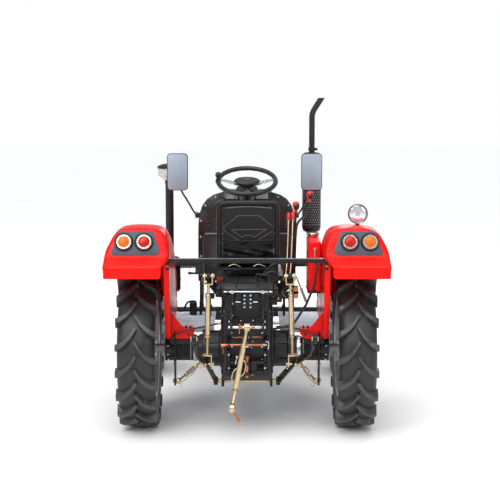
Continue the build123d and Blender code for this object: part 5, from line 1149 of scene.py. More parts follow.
def seat_loop():
    """Tube loop round the backrest, its feet bolted to the seat pan."""
    line = [back_point(x, z) for x, z in ((-189, 1047), (-189, 1240), (-189, 1400), (-189, 1450), (-184, 1476),
                                          (-150, 1484), (-70, 1485), (70, 1485), (150, 1484), (184, 1476),
                                          (189, 1450), (189, 1400), (189, 1240), (189, 1047))]
    loop = tube("seat_loop", line, 0.0165, sides=6)
    feet = [box("loop_foot", place(x - 24, 4, 1050), place(x + 24, 60, 1056), 0.002) for x in (-187, 187)]
    return joined("seat_frame_looks", [loop, *feet])


dressed(seat_loop(), "chassis", FRAME_BLACK, ("seat_frame",))


def seat_base():
    """Pressed seat pan with a rolled edge, slides, springs' box and pedestal."""
    low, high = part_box("seat_base")
    pan = box("seat_pan", (low.x, low.y, 1.035), (high.x, high.y, 1.050), 0.005, 3)
    slides = [box("seat_slide", place(x - 16, 10, 1018), place(x + 16, 390, 1035), 0.003) for x in (-140, 140)]
    post = box("seat_post", place(-110, 30, 1000), place(110, 190, 1036), 0.006, 3)
    handle = tube("slide_handle", [place(150, 200, 1026), place(190, 240, 1024), place(215, 300, 1022)], 0.006)
    return joined("seat_base_looks", [pan, *slides, post, handle])


dressed(seat_base(), "chassis", FRAME_BLACK, ("seat_base",))
# ---------------------------------------------------------------- three-point hitch
ROCKSHAFT = (-250, 945)
ARM_END = (-470, 1070)
LINK_PIVOT = (-80, 312)
LINK_MID = (-361, 486)
LINK_END = (-752, 727)
ARM_X = {LEFT: -240, RIGHT: 268}
PIVOT_X = {LEFT: -205, RIGHT: 205}
END_X = {LEFT: -322, RIGHT: 413}
MID_X = {LEFT: -254, RIGHT: 292}
STAY_X = 450
TOP_PIN = (-475, 745)
TOP_EYE = (-95, -475, 225)


def strap(name, points, across, up, edge=0.0015, flat=35):
    """A flat bar that keeps its section along a bent line of points."""
    first, across, up = Vector(points[0]), Vector(across) / 2, Vector(up) / 2
    obj = traced(name, [first - across - up, first + across - up, first + across + up, first - across + up],
                 closed=True)
    bpy.ops.object.mode_set(mode="EDIT")
    bpy.ops.mesh.select_all(action="SELECT")
    bpy.ops.mesh.edge_face_add()
    for start, end in zip(points, points[1:]):
        bpy.ops.mesh.extrude_region_move(TRANSFORM_OT_translate={"value": tuple(Vector(end) - Vector(start))})
    bpy.ops.object.mode_set(mode="OBJECT")
    outwards(obj)
    return smooth(rounded(obj, edge, 2, flat) if edge else obj, 45)


def nut(name, start, end, across):
    """A hexagon nut round a rod, between two points."""
    return bar(name, start, end, across / 1.8, edge=0.0012, sides=6)


def eye(name, centre, radius, hole, wide, axis=(1, 0, 0)):
    """A round eye with its hole and rounded rims."""
    half, rim = wide / 2, 0.0025
    profile = [(-half, hole), (-half, radius - rim), (-half + rim, radius), (half - rim, radius),
               (half, radius - rim), (half, hole)]
    return spun(name, profile, centre, axis, 40)


def thread(name, start, end, radius, pitch=0.005):
    """A threaded rod: a bar with a close row of ridges."""
    start, end = Vector(start), Vector(end)
    run = end - start
    count = max(4, int(run.length / pitch))
    profile = []
    for number in range(count):
        profile += [(run.length * number / count, radius * 0.9), (run.length * (number + 0.5) / count, radius)]
    profile += [(run.length, radius * 0.9), (run.length, 0.0), (0.0, 0.0)]
    return smooth(spun(name, profile, start, run, 20), 60)


def spring_clip(name, centre, wide, drop, wire=0.0016):
    """A spring clip: a closed wire ring with a straight leg through its pin."""
    centre = Vector(centre)
    ring = [centre + Vector((math.cos(turn) * wide, 0, math.sin(turn) * drop - drop))
            for turn in (math.pi / 2 + math.tau * step / 12 for step in range(13))]
    return tube(name, ring, wire, sides=3)


def lift_arms():
    """Rockshaft with its two cranked arms and their forked ends."""
    y, z = ROCKSHAFT
    pieces = [bar("rockshaft", place(-207, y, z), place(207, y, z), 0.0248, edge=0.002, sides=40)]
    for side in (LEFT, RIGHT):
        hub, tip = side * 185, ARM_X[side]
        pieces.append(eye("arm_hub", place(hub, y, z), 0.044, 0.0235, 0.034))
        pieces.append(nut("hub_nut", place(side * 201, y, z), place(side * 215, y, z), 0.036))
        along = Vector((0, ARM_END[0] - y, ARM_END[1] - z)).normalized()
        square = Vector((0, -along.z, along.y))
        low = [(hub, -38, 26), (hub, -36, -30), (tip, 168, -21), (tip, 252, -19), (tip, 262, -8),
               (tip, 262, 8), (tip, 252, 19), (tip, 170, 20)]
        inner = [Vector((x * MM, AXLE_Y + (y + along.y * go + square.y * up) * MM,
                         (z + along.z * go + square.z * up) * MM)) for x, go, up in low]
        arm = slab("lift_arm", [corner + Vector((-0.011, 0, 0)) for corner in inner], (0.022, 0, 0), 0.004, 3)
        pieces.append(arm)
        pieces.append(eye("arm_eye", place(tip, *ARM_END), 0.0185, 0.0095, 0.025))
        rib = [place(hub + side * 2, y + along.y * 30, z + along.z * 30 + 18),
               place(tip, y + along.y * 150, z + along.z * 150 + 18)]
        pieces.append(strap("arm_rib", rib, (0.007, 0, 0), (0, 0, 0.012)))
    return joined("lift_arms_looks", pieces)


dressed(lift_arms(), "lift_arms", FRAME_BLACK, ("lift_arms",))


def lift_rod(side):
    """Lift rod: thin forked straps, threaded ends with nuts, thick middle tube with a grease nipple."""
    high, low = place(ARM_X[side], *ARM_END), place(MID_X[side], *LINK_MID)
    run = (low - high).normalized()
    long = (low - high).length
    square = Vector((0, -run.z, run.y))

    def at(distance):
        return high + run * distance * MM

    def fork(name, pin, way, half, reach, thick, tall):
        middle_line = Vector((1, 0, 0))
        crown = pin + way * reach
        legs = [strap(name + "_leg", [pin + middle_line * x, crown + middle_line * x], (thick, 0, 0), square * tall,
                      0.002) for x in (-half, half)]
        ends = [bar(name + "_ear", pin + middle_line * (x - thick / 2), pin + middle_line * (x + thick / 2),
                    tall / 2 + 0.001, edge=0.001) for x in (-half, half)]
        top = strap(name + "_crown", [crown - middle_line * (half + thick / 2), crown + middle_line * (half + thick / 2)],
                    way * thick, square * tall, 0.002)
        return legs + ends + [top]

    zinc = fork("upper_fork", high, run, 0.0245, 0.052, 0.007, 0.034)
    zinc += fork("lower_fork", low, -run, 0.0262, 0.062, 0.0075, 0.040)
    zinc.append(bar("upper_pin", high - Vector((0.036, 0, 0)), high + Vector((0.036, 0, 0)), 0.0088, sides=24))
    zinc.append(nut("pin_head", high + Vector((0.028, 0, 0)), high + Vector((0.037, 0, 0)), 0.022))
    zinc.append(thread("upper_thread", at(54), at(150), 0.0098))
    zinc.append(thread("lower_thread", at(392), at(long / MM - 62), 0.0098))
    tube_line = [(134, 0.0), (134, 0.0142), (138, 0.0168), (146, 0.0172), (150, 0.0160), (240, 0.0160), (246, 0.0170),
                 (340, 0.0170), (346, 0.0160), (376, 0.0162), (380, 0.0174), (390, 0.0174), (394, 0.0150), (394, 0.0)]
    zinc.append(spun("rod_tube", [(along * MM, radius) for along, radius in tube_line], high, run, 40, closed=False))
    zinc.append(nut("lower_nut", at(397), at(411), 0.031))
    bright = [nut("upper_nut", at(120), at(133), 0.025)]
    bright.append(bar("nipple", at(262) - square * 0.016, at(262) - square * 0.026, 0.003, sides=10))
    clip = [spring_clip("upper_clip", high + Vector((-0.033, 0, -0.001)), 0.008, 0.014)]
    made = [painted(joined("rod_zinc", zinc), ZINC), painted(joined("rod_bright", bright), BRIGHT_STEEL),
            painted(joined("rod_clip", clip), COPPER)]
    return joined("lift_rod_right_looks" if side == RIGHT else "lift_rod_left_looks", made)


for side, name in ((LEFT, "lift_rod_left"), (RIGHT, "lift_rod_right")):
    dressed(lift_rod(side), name, None, (name,))


def along_link(side, share, x=None):
    """A place on a lower link's line, by its share of the way from the front pivot to the rear eye."""
    across = PIVOT_X[side] + (END_X[side] - PIVOT_X[side]) * share if x is None else x
    return place(across, LINK_PIVOT[0] + (LINK_END[0] - LINK_PIVOT[0]) * share,
                 LINK_PIVOT[1] + (LINK_END[1] - LINK_PIVOT[1]) * share)


LINK_BEND = {LEFT: ((0.42, -254), (0.47, -260), (0.58, -300), (0.70, -318), (0.93, -322)),
             RIGHT: ((0.42, 292), (0.47, 304), (0.58, 352), (0.70, 392), (0.93, 413))}


def lower_link(side):
    """Lower link: bent flat bar, broad rear end with its ball, front ball end, lift rod's pin."""
    along = (along_link(side, 1) - along_link(side, 0)).normalized()
    flat = Vector((0, along.y, along.z)).normalized()
    square = Vector((0, -flat.z, flat.y))
    line = [along_link(side, 0.035), *[along_link(side, share, x) for share, x in LINK_BEND[side]]]
    steel = [strap("link_bar", line, (0.016, 0, 0), square * 0.046, 0.003)]
    start, end = along_link(side, 0), along_link(side, 1)
    steel.append(eye("front_eye", start, 0.0285, 0.0195, 0.026))
    steel.append(eye("rear_eye", end, 0.0295, 0.0205, 0.030))
    x = END_X[side]
    guard = [along_link(side, share, x - side * 17) + square * up for share, up in
             ((0.995, -0.026), (0.90, -0.034), (0.75, -0.050), (0.62, -0.044), (0.60, 0.0), (0.72, 0.022),
              (0.90, 0.026), (0.99, 0.022))]
    steel.append(slab("link_guard", guard, (side * 0.007, 0, 0), 0.0025, 3))
    mid = along_link(side, 0.418)
    ball_parts = [ball("front_ball", start, 0.0205), ball("rear_ball", end, 0.0208)]
    rear_sleeve = eye("rear_sleeve", end, 0.0150, 0.0112, 0.042)
    front_sleeve = eye("front_sleeve", start, 0.0150, 0.0125, 0.036)
    pin = bar("rod_pin", mid - Vector((0.040, 0, 0)), mid + Vector((0.040, 0, 0)), 0.0078)
    head = nut("rod_pin_head", mid + Vector((side * -0.043, 0, 0)), mid + Vector((side * -0.034, 0, 0)), 0.022)
    zinc = [rear_sleeve, front_sleeve, pin, head,
            spring_clip("rod_pin_clip", mid + Vector((side * 0.037, 0, 0)), 0.009, 0.015, 0.0018),
            nut("stop_bolt", along_link(side, 0.50) + square * 0.020, along_link(side, 0.50) + square * 0.034, 0.020)]
    for share in (0.36, 0.31):
        spot = along_link(side, share) - Vector((side * 0.009, 0, 0))
        zinc.append(bolts("link_bolt", [(spot, (-side, 0, 0))], 0.010, 0.006))
    for piece in ball_parts:
        centre = start if piece.name.startswith("front") else end
        hole = bar("ball_hole", centre - Vector((0.03, 0, 0)), centre + Vector((0.03, 0, 0)), 0.0115, edge=0)
        cut(piece, hole)
    made = [painted(joined("link_steel", steel), FRAME_BLACK), painted(joined("link_balls", ball_parts), BRIGHT_STEEL),
            painted(joined("link_zinc", zinc), ZINC)]
    return joined("lower_link_right_looks" if side == RIGHT else "lower_link_left_looks", made)


for side, name in ((LEFT, "lower_link_left"), (RIGHT, "lower_link_right")):
    dressed(lower_link(side), name, None, (name,))


def stabiliser(side):
    """Turnbuckle that holds a lower link sideways: eye bolts, jam nuts, open body, pins and clips."""
    outer = place(side * STAY_X, *LINK_PIVOT)
    inner = along_link(side, 0.52) + Vector((side * 0.009, 0, 0))
    run = inner - outer
    along = run.normalized()
    square = along.orthogonal().normalized()
    other = along.cross(square).normalized()

    def at(part):
        return outer + run * part

    zinc = [eye("outer_eye", outer, 0.0195, 0.0092, 0.022),
            thread("outer_thread", at(0.05), at(0.34), 0.0068), thread("inner_thread", at(0.68), at(0.93), 0.0068),
            nut("outer_nut", at(0.27), at(0.30), 0.020), nut("inner_nut", at(0.72), at(0.75), 0.020),
            nut("outer_boss", at(0.305), at(0.35), 0.027), nut("inner_boss", at(0.665), at(0.715), 0.027)]
    for way in (square, other, -square, -other):
        zinc.append(strap("body_bar", [at(0.33) + way * 0.010, at(0.69) + way * 0.010], square.cross(way).normalized()
                          * 0.006 + way * 0.0 if square.cross(way).length > 0.5 else other * 0.006, way * 0.006,
                          0.001))
    zinc.append(nut("inner_block", at(0.93), at(0.985), 0.030))
    pin = at(0.95)
    zinc.append(bar("inner_pin", pin - Vector((0, 0, 0.030)), pin + Vector((0, 0, 0.032)), 0.0065))
    zinc.append(nut("inner_pin_head", pin + Vector((0, 0, 0.028)), pin + Vector((0, 0, 0.037)), 0.020))
    zinc.append(spring_clip("inner_clip", pin + Vector((0, 0, -0.024)), 0.010, 0.011))
    zinc.append(spring_clip("outer_clip", outer + Vector((-side * 0.016, 0, -0.014)), 0.009, 0.013))
    brown = [tube("chain_wire", [at(0.10) + Vector((0, -0.012, -0.016)), at(0.24) + Vector((0, -0.014, -0.030)),
                                 at(0.40) + Vector((0, -0.014, -0.024)), at(0.55) + Vector((0, -0.012, -0.032)),
                                 at(0.70) + Vector((0, -0.012, -0.020))], 0.0022)]
    made = [painted(joined("stay_zinc", zinc), ZINC), painted(joined("stay_wire", brown), COPPER)]
    return joined("stabiliser_right_looks" if side == RIGHT else "stabiliser_left_looks", made)


for side, name in ((LEFT, "left"), (RIGHT, "right")):
    dressed(stabiliser(side), "lower_link_" + name, None, ("stabiliser_" + name,))


def top_link():
    """Top link hanging askew: pinned eye, threads, turnbuckle tube with wire handles, ball end and its pin."""
    start, end = place(0, *TOP_PIN), place(*TOP_EYE)
    run = end - start
    along = run.normalized()
    side = Vector((along.z, 0, -along.x)).normalized()
    back = Vector((0, -1, 0))

    def at(distance, aside=0.0, rear=0.0):
        return start + along * distance * MM + side * aside * MM + back * rear * MM

    zinc = [eye("upper_eye", start, 0.0262, 0.0095, 0.036),
            bar("upper_neck", at(22), at(112), 0.0125, 0.0105), thread("upper_thread", at(96), at(132), 0.0104)]
    collar = [(108, 0.0), (108, 0.0165), (112, 0.0185), (122, 0.0185), (127, 0.0165), (131, 0.0172), (136, 0.0178),
              (392, 0.0178), (397, 0.0165), (402, 0.0140), (402, 0.0)]
    zinc.append(spun("link_tube", [(far * MM, radius) for far, radius in collar], start, run, 40, closed=False))
    zinc.append(nut("lower_nut", at(405), at(421), 0.033))
    zinc.append(thread("lower_thread", at(418), at(496), 0.0106))
    low_ball = eye("lower_eye", end, 0.0292, 0.0200, 0.030)
    zinc.append(low_ball)
    for ear in (LEFT, RIGHT):
        wire = [at(238 + 30 * ear, 12 * ear), at(244 + 30 * ear, 24 * ear, 6), at(262 + 34 * ear, 36 * ear, 12),
                at(300 + 30 * ear, 38 * ear, 12), at(330 + 26 * ear, 30 * ear, 8), at(344 + 24 * ear, 14 * ear)]
        zinc.append(tube("handle", wire, 0.0036, sides=3))
    zinc.append(ball("handle_end", at(196, 28, 10), 0.0085, 8))
    zinc.append(tube("handle_neck", [at(244, 30, 8), at(222, 30, 10), at(200, 28, 10)], 0.0036, sides=3))
    ring_centre = end + Vector((0.058, -0.010, -0.102))
    zinc.append(tube("pin_ring", [ring_centre + Vector((math.cos(turn) * 0.021, 0, math.sin(turn) * 0.014))
                                  for turn in (math.tau * step / 14 + 1.9 for step in range(15))], 0.0018, sides=3))
    sphere = ball("lower_ball", end, 0.0206)
    cut(sphere, bar("ball_hole", end - Vector((0.04, 0, 0)), end + Vector((0.04, 0, 0)), 0.0097, edge=0))
    copper = [bar("hanging_pin", end + Vector((0.010, -0.006, -0.026)), end + Vector((0.048, -0.010, -0.088)), 0.0082)]
    copper.append(ball("ball_plug", end + Vector((-0.006, -0.018, 0.006)), 0.0105, 8))
    made = [painted(joined("link_zinc", zinc), ZINC), painted(sphere, BRASS_RING),
            painted(joined("link_copper", copper), COPPER)]
    return joined("top_link_looks", made)


dressed(top_link(), "top_link", None, ("top_link",))


def top_link_bracket():
    """Folded cheeks bolted to the lift cover, the cross pin with its clips and a hanging lock pin."""
    y, z = TOP_PIN
    steel = []
    for side in (LEFT, RIGHT):
        cheek = [(-300, z - 60), (-300, z + 130), (-330, z + 130), (y + 40, z + 42), (y - 16, z + 30), (y - 28, z + 18),
                 (y - 28, z - 18), (y - 16, z - 30), (y + 40, z - 42)]
        steel.append(slab("cheek", [place(side * 95, ahead, up) for ahead, up in cheek], (side * 0.012, 0, 0), 0.002))
        flange = [(side * 56, z - 56), (side * 46, z - 8), (side * 60, z + 34), (side * 96, z + 40), (side * 128, z + 34),
                  (side * 128, z - 46), (side * 112, z - 62)]
        steel.append(slab("cheek_flange", [place(x, -340, up) for x, up in flange], (0, 0.010, 0), 0.002))
        steel.append(box("cheek_foot", place(side * 100, -331, z - 50), place(side * 122, -300, z + 30), 0.002))
    steel.append(box("cross_plate", place(-96, -312, z - 60), place(96, -300, z + 130), 0.002))
    dark = painted(joined("bracket_steel", steel), FRAME_BLACK)
    shanks = [bar("top_pin", place(-117, y, z), place(117, y, z), 0.0088)]
    bright = painted(joined("bracket_bright", shanks + [
        nut("top_pin_nut", place(62, y, z), place(78, y, z), 0.022), eye("top_pin_washer", place(46, y, z), 0.015, 0.0086, 0.006),
        bolts("cheek_bolts", [(place(side * x, -340, up), (0, -1, 0)) for side in (LEFT, RIGHT)
                              for x, up in ((84, z - 22), (112, z + 12))], 0.0085, 0.005)]), BRIGHT_STEEL)
    copper = painted(joined("bracket_copper", [
        bar("pin_collar", place(-52, y, z), place(-28, y, z), 0.0122), bar("pin_sleeve", place(24, y, z), place(44, y, z), 0.0115),
        bar("lock_pin", place(-46, y - 14, z + 20), place(-48, y - 12, z - 40), 0.0035),
        spring_clip("top_pin_clip", place(-46, y - 8, z + 22), 0.009, 0.012, 0.0020),
        tube("hanging_spring", [place(-92, -352, z - 86), place(-70, -356, z - 92), place(-50, -356, z - 84),
                                place(-30, -356, z - 92), place(-8, -354, z - 84)], 0.0030),
        tube("hanging_spring", [place(30, -352, z - 84), place(50, -356, z - 90), place(72, -356, z - 82),
                                place(96, -354, z - 90)], 0.0030)]), COPPER)
    return joined("top_link_bracket_looks", [dark, bright, copper])


dressed(top_link_bracket(), "chassis", None, ("top_link_bracket",))


def hitch_frame():
    """Drawbar frame: posts with feet, double tongue, vertical hitch pin and the copper cross pin above."""
    rear, front = -390, -340
    steel = []
    for side in (LEFT, RIGHT):
        post = [(-300, 515), (-300, 575), (rear + 4, 575), (rear, 570), (rear, 424), (front, 424), (front, 515)]
        steel.append(slab("post", [place(side * 108, ahead, up) for ahead, up in post], (side * 0.014, 0, 0), 0.002))
        steel.append(box("post_foot", place(side * 104, rear - 6, 410), place(side * 142, front, 452), 0.006, 3))
        steel.append(box("post_rib", place(side * 124, rear + 12, 452), place(side * 132, -300, 660), 0.002))
    steel.append(box("middle_foot", place(56, rear - 6, 410), place(88, front, 450), 0.006, 3))
    for low in (424, 490):
        steel.append(box("frame_bar", place(-120, rear, low), place(120, front, low + 20), 0.003))
        tongue = [(-28, rear + 6), (28, rear + 6), (28, rear - 28), (17, rear - 42), (-17, rear - 42), (-28, rear - 28)]
        steel.append(slab("tongue", [place(x, ahead, low) for x, ahead in tongue], (0, 0, 0.020), 0.002))
    steel.append(box("drawbar_block", place(20, rear + 2, 444), place(62, front - 4, 490), 0.003))
    dark = painted(joined("frame_steel", steel), FRAME_BLACK)
    pins = [bar("hitch_pin", place(0, -414, 410), place(0, -414, 540), 0.0108, edge=0.003),
            bar("hitch_pin_head", place(0, -414, 536), place(0, -414, 548), 0.0165, edge=0.003),
            bar("cross_pin", place(-150, -402, 618), place(108, -402, 618), 0.0062),
            bar("cross_pin_grip", place(-164, -402, 614), place(-128, -402, 618), 0.0115, 0.0095),
            bar("cross_pin_lock", place(-152, -402, 612), place(-152, -404, 560), 0.0026),
            tube("hitch_pin_handle", [place(10, -414, 430), place(24, -418, 424), place(38, -416, 428)], 0.0032)]
    copper = painted(joined("frame_copper", pins), COPPER)
    keep = [tube("pin_keeper", [place(118, -404, 640), place(136, -404, 638), place(137, -404, 612), place(132, -404, 590)],
                 0.0042, smooth_line=False),
            bar("cross_pin_end", place(106, -402, 618), place(124, -402, 618), 0.0085)]
    keep.append(bolts("post_bolts", [(place(side * 115, rear, up), (0, -1, 0)) for side in (LEFT, RIGHT)
                                     for up in (552, 466)], 0.0075, 0.005))
    bright = painted(joined("frame_bright", keep), BRIGHT_STEEL)
    brackets = []
    for side in (LEFT, RIGHT):
        plate = box("pin_lug", place(side * 108, -410, 596), place(side * 120, -338, 640), 0.002)
        brackets.append(plate)
    lugs = painted(joined("frame_lugs", brackets), FRAME_BLACK)
    return joined("hitch_frame_looks", [dark, copper, bright, lugs])


dressed(hitch_frame(), "chassis", None, ("hitch_frame",))


def link_brackets():
    """Plates under the gearbox with the links' cross shaft, and the stabilisers' hangers with their pins."""
    y, z = LINK_PIVOT
    steel, zinc = [], []
    for side in (LEFT, RIGHT):
        plate = [(y - 70, 342), (y + 90, 342), (y + 40, z - 32), (y - 35, z - 32)]
        steel.append(slab("pivot_plate", [place(side * 150, ahead, up) for ahead, up in plate], (side * 0.018, 0, 0), 0.003))
        hanger = [(y - 45, 652), (y + 60, 605), (y + 30, z - 26), (y - 30, z - 26)]
        steel.append(slab("hanger", [place(side * 465, ahead, up) for ahead, up in hanger], (side * 0.012, 0, 0), 0.003))
        zinc.append(bar("stay_pin", place(side * 432, y, z), place(side * 470, y, z), 0.0088))
        zinc.append(nut("stay_nut", place(side * 478, y, z), place(side * 488, y, z), 0.024))
        zinc.append(bar("hanger_bolt", place(side * 455, y - 20, 430), place(side * 484, y - 20, 430), 0.009, sides=6))
    zinc.append(bar("cross_shaft", place(-235, y, z), place(235, y, z), 0.0118))
    return joined("link_brackets_looks", [painted(joined("bracket_steel", steel), FRAME_BLACK),
                                          painted(joined("bracket_zinc", zinc), ZINC)])


dressed(link_brackets(), "chassis", None, ("link_brackets",))
# ---------------------------------------------------------------- inner plates, cross bar, tank, foot plates
PLATE_X = 494
FOOT_Z = 657


def inner_plate():
    """Plate beside the tyre: rear flange, top edge under the shoulder, gusset and folded foot."""
    edge = [(-345, 1196), (-345, 1080), (-300, 880), (-215, 655), (-180, 618), (-112, 600), (-104, 658), (96, 658),
            (130, 640), (560, 640), (600, 676), (598, 762), (566, 850), (520, 950), (430, 1050), (300, 1120),
            (140, 1150), (-100, 1200)]
    web = slab("plate", [place(PLATE_X, ahead, up) for ahead, up in edge], (0.004, 0, 0), 0.0012)
    line = [place(PLATE_X + 16, ahead, up) for ahead, up in edge[:5]]
    flange = strap("rear_flange", line, (0.036, 0, 0), (0, 0.004, 0.0015), 0.0012)
    foot = slab("foot", [place(x, ahead, FOOT_Z) for x, ahead in
                         ((338, -98), (345, -104), (512, -104), (512, 0), (352, 0))], (0, 0, 0.004), 0.0012)
    lip = [(341, FOOT_Z + 3), (346, 632), (366, 606), (384, 599), (500, 598), (512, 598), (512, FOOT_Z + 3)]
    fold = slab("foot_lip", [place(x, -107, up) for x, up in lip], (0, 0.004, 0), 0.0015)
    gusset = slab("gusset", [place(x, -108, up) for x, up in ((380, FOOT_Z), (512, FOOT_Z), (512, 790), (486, 764), (428, 688))],
                  (0, 0.004, 0), 0.0012)
    edge_roll = tube("lip_edge", [place(350, -106, FOOT_Z + 4), place(420, -106, FOOT_Z + 4), place(500, -106, FOOT_Z + 4)],
                     0.003, smooth_line=False)
    front = [place(PLATE_X + 14, ahead, up) for ahead, up in edge[10:14]]
    turned_edge = strap("front_flange", front, (0.030, 0, 0), (0, 0.0035, 0.002), 0.001)
    folded = [flange, foot, fold, gusset, edge_roll, turned_edge]
    holes = bolts("foot_bolts", [(place(x, -107, 628), (0, -1, 0)) for x in (382, 470)] +
                  [(place(x, ahead, FOOT_Z + 4), (0, 0, 1)) for x in (372, 400) for ahead in (-60, -24)], 0.011, 0.007)
    return joined("inner_plate", [painted(web, RED_PLATE), painted(joined("plate_folds", folded), RED_PAINT),
                                  painted(holes, CAST_GREY)])


plate = inner_plate()
dressed(joined("inner_plates_looks", [plate, twin(plate, "inner_plate_left")]), "chassis", None,
        ("inner_plates",))


def cross_bar():
    """Flat bar across the back with rounded edges, end brackets, bolts and a hanging tab."""
    bar_body = box("bar_body", place(-513, -392, 1138), place(513, -346, 1165), 0.005, 3)
    steel = [bar_body]
    for side in (LEFT, RIGHT):
        bracket = [(side * 513, 1150), (side * 513, 1088), (side * 494, 1088), (side * 490, 1150)]
        steel.append(slab("bar_bracket", [place(x, -352, up) for x, up in bracket], (0, 0.006, 0), 0.0015))
    steel.append(box("bar_tab", place(-326, -378, 1074), place(-276, -370, 1142), 0.003))
    steel.append(box("bar_tab_foot", place(-352, -384, 1066), place(-262, -340, 1074), 0.002))
    steel.append(bar("tab_grip", place(-372, -362, 1072), place(-340, -362, 1070), 0.010, 0.007))
    # The strip on the bar's top face is a painted highlight in the sheen black.
    top = strap("bar_top_wear", [place(-500, -368, 1165.2), place(500, -368, 1165.2)], (0, 0.034, 0), (0, 0, 0.0008), 0)
    heads = bolts("bar_bolts", [(place(side * 504, -352, 1116), (0, -1, 0)) for side in (LEFT, RIGHT)], 0.012, 0.008)
    return joined("cross_bar_looks", [painted(joined("bar_steel", steel), FRAME_BLACK), painted(top, SHEEN_PAINTED_BLACK),
                                      painted(heads, COPPER)])


dressed(cross_bar(), "chassis", None, ("cross_bar",))


def fuel_tank():
    """Pressed fuel tank with a seam, strap, level tube, filler cap and drain tap."""
    low, high = place(403, 0, 888), place(487, 340, 1224)
    body = box("tank", low, high, 0.014, 4)
    seam = box("tank_seam", (low.x - 0.001, low.y - 0.006, 1.052), (high.x + 0.001, high.y + 0.006, 1.057), 0.002)
    pressed = [box("tank_press", (low.x + 0.020, low.y - 0.003, 1.075), (high.x - 0.020, low.y + 0.004, 1.185), 0.003)]
    red = painted(joined("tank_red", [body, seam] + pressed), RED_PAINT)
    x, y = (low.x + high.x) / 2, high.y - 0.062
    cap = spun("tank_cap", [(0.0, 0.0), (0.0, 0.032), (0.008, 0.034), (0.008, 0.041), (0.012, 0.044), (0.024, 0.044),
                            (0.028, 0.040), (0.029, 0.0)], (x, y, high.z - 0.001), (0, 0, 1), 48, closed=False)
    level = joined("tank_level", [
        tube("level_tube", [(x, low.y - 0.010, 1.090), (x, low.y - 0.010, 1.176)], 0.0045, smooth_line=False),
        box("level_end", (x - 0.007, low.y - 0.014, 1.168), (x + 0.007, low.y + 0.002, 1.184), 0.002),
        box("level_end", (x - 0.007, low.y - 0.014, 1.084), (x + 0.007, low.y + 0.002, 1.098), 0.002)])
    straps = []
    for up in (0.945, 1.150):
        straps.append(box("tank_strap", (low.x - 0.003, low.y + 0.120, up - 0.40 + 0.34), (low.x - 0.0005, low.y + 0.150,
                                                                                         up), 0.0008))
    bracket = [box("tank_shelf", place(400, 20, 878), place(492, 320, 887), 0.002),
               bar("drain_tap", place(445, -6, 900), place(445, -26, 900), 0.008)]
    return joined("fuel_tank_looks", [red, painted(cap, BRIGHT_STEEL), painted(level, RIM_PAINT),
                                      painted(joined("tank_iron", straps + bracket), FRAME_BLACK)])


dressed(fuel_tank(), "chassis", None, ("fuel_tank",))


def foot_plates():
    """Chequer foot plates with raised diamonds, folded edges and bolts."""
    low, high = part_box("foot_plates")
    made = []
    inner = 0.222
    plate_top = 0.608
    floor_plate = box("step", (inner, low.y, plate_top - 0.004), (high.x, high.y, plate_top), 0.001)
    edge = box("step_edge", (high.x - 0.004, low.y, plate_top - 0.034), (high.x, high.y, plate_top), 0.001)
    rear_edge = box("step_rear_edge", (inner, low.y, plate_top - 0.034), (high.x, low.y + 0.004, plate_top), 0.001)
    bpy.ops.mesh.primitive_cube_add(size=1, location=(0, 0, 0))
    bead = named("bead")
    bead.scale = (0.022, 0.006, 0.0016)
    settled(bead)
    rounded(bead, 0.0007, 1)
    spots = []
    rows, columns = int((high.y - low.y - 0.03) / 0.021), int((high.x - inner - 0.02) / 0.021)
    for row in range(rows):
        for column in range(columns):
            turn = math.radians(45 if (row + column) % 2 else -45)
            spots.append(Matrix.Translation((inner + 0.018 + column * 0.021, low.y + 0.022 + row * 0.021,
                                             plate_top + 0.0006)) @ Matrix.Rotation(turn, 4, "Z"))
    beads = joined("beads", copies(bead, spots))
    heads = bolts("step_bolts", [((x, y, plate_top), (0, 0, 1)) for x in (inner + 0.03, high.x - 0.03)
                                 for y in (low.y + 0.03, high.y - 0.03)], 0.010, 0.005)
    right = joined("foot_plate_right", [floor_plate, edge, rear_edge, beads, heads])
    made = [right, twin(right, "foot_plate_left")]
    return joined("foot_plates_looks", made)


dressed(foot_plates(), "chassis", STEP_PLATE, ("foot_plates",))
# ---------------------------------------------------------------- gearbox, final drives and PTO shaft
DARK_RED = finish("dark_red_casting", (0.10, 0.006, 0.005), (0.16, 0.010, 0.008), (0.34, 0.5), size=18, grain=420,
                  bump=0.4)
CASE_REAR = -300
CASE_TOP = 790


def ring_of(centre, axis, radius, count, start=0.0):
    """Points evenly round an axis."""
    axis = Vector(axis).normalized()
    across = axis.orthogonal().normalized()
    return [Vector(centre) + Matrix.Rotation(math.tau * (n + start) / count, 3, axis) @ across * radius
            for n in range(count)]


def final_drive(side):
    """A stepped round casing beside the gearbox, with four ribs and a bolt ring."""
    hub = place(0, 0, REAR_R * 1000)
    out = Vector((side, 0, 0))
    case = spun("final_drive", [(0.160, 0.0), (0.160, 0.125), (0.178, 0.125), (0.184, 0.114), (0.262, 0.104),
                                (0.270, 0.124), (0.290, 0.124), (0.294, 0.096), (0.316, 0.092), (0.316, 0.0)],
                hub, out, 64, closed=False)
    web = box("drive_web", (0.180, -0.005, 0.090), (0.268, 0.005, 0.120), 0.002)
    turned = Matrix.Translation(hub) @ Matrix.Scale(side, 4, (1, 0, 0))
    webs = copies(web, [turned @ Matrix.Rotation(math.tau * n / 6, 4, "X") for n in range(6)])
    if side == LEFT:
        for web in webs:
            web.data.flip_normals()
    heads = bolts("drive_bolts", [(spot + out * 0.290, out) for spot in ring_of(hub, out, 0.112, 10)], 0.011)
    return [painted(case, CAST_GREY), painted(heads, FRAME_BLACK)] + [painted(web, CAST_GREY) for web in webs]


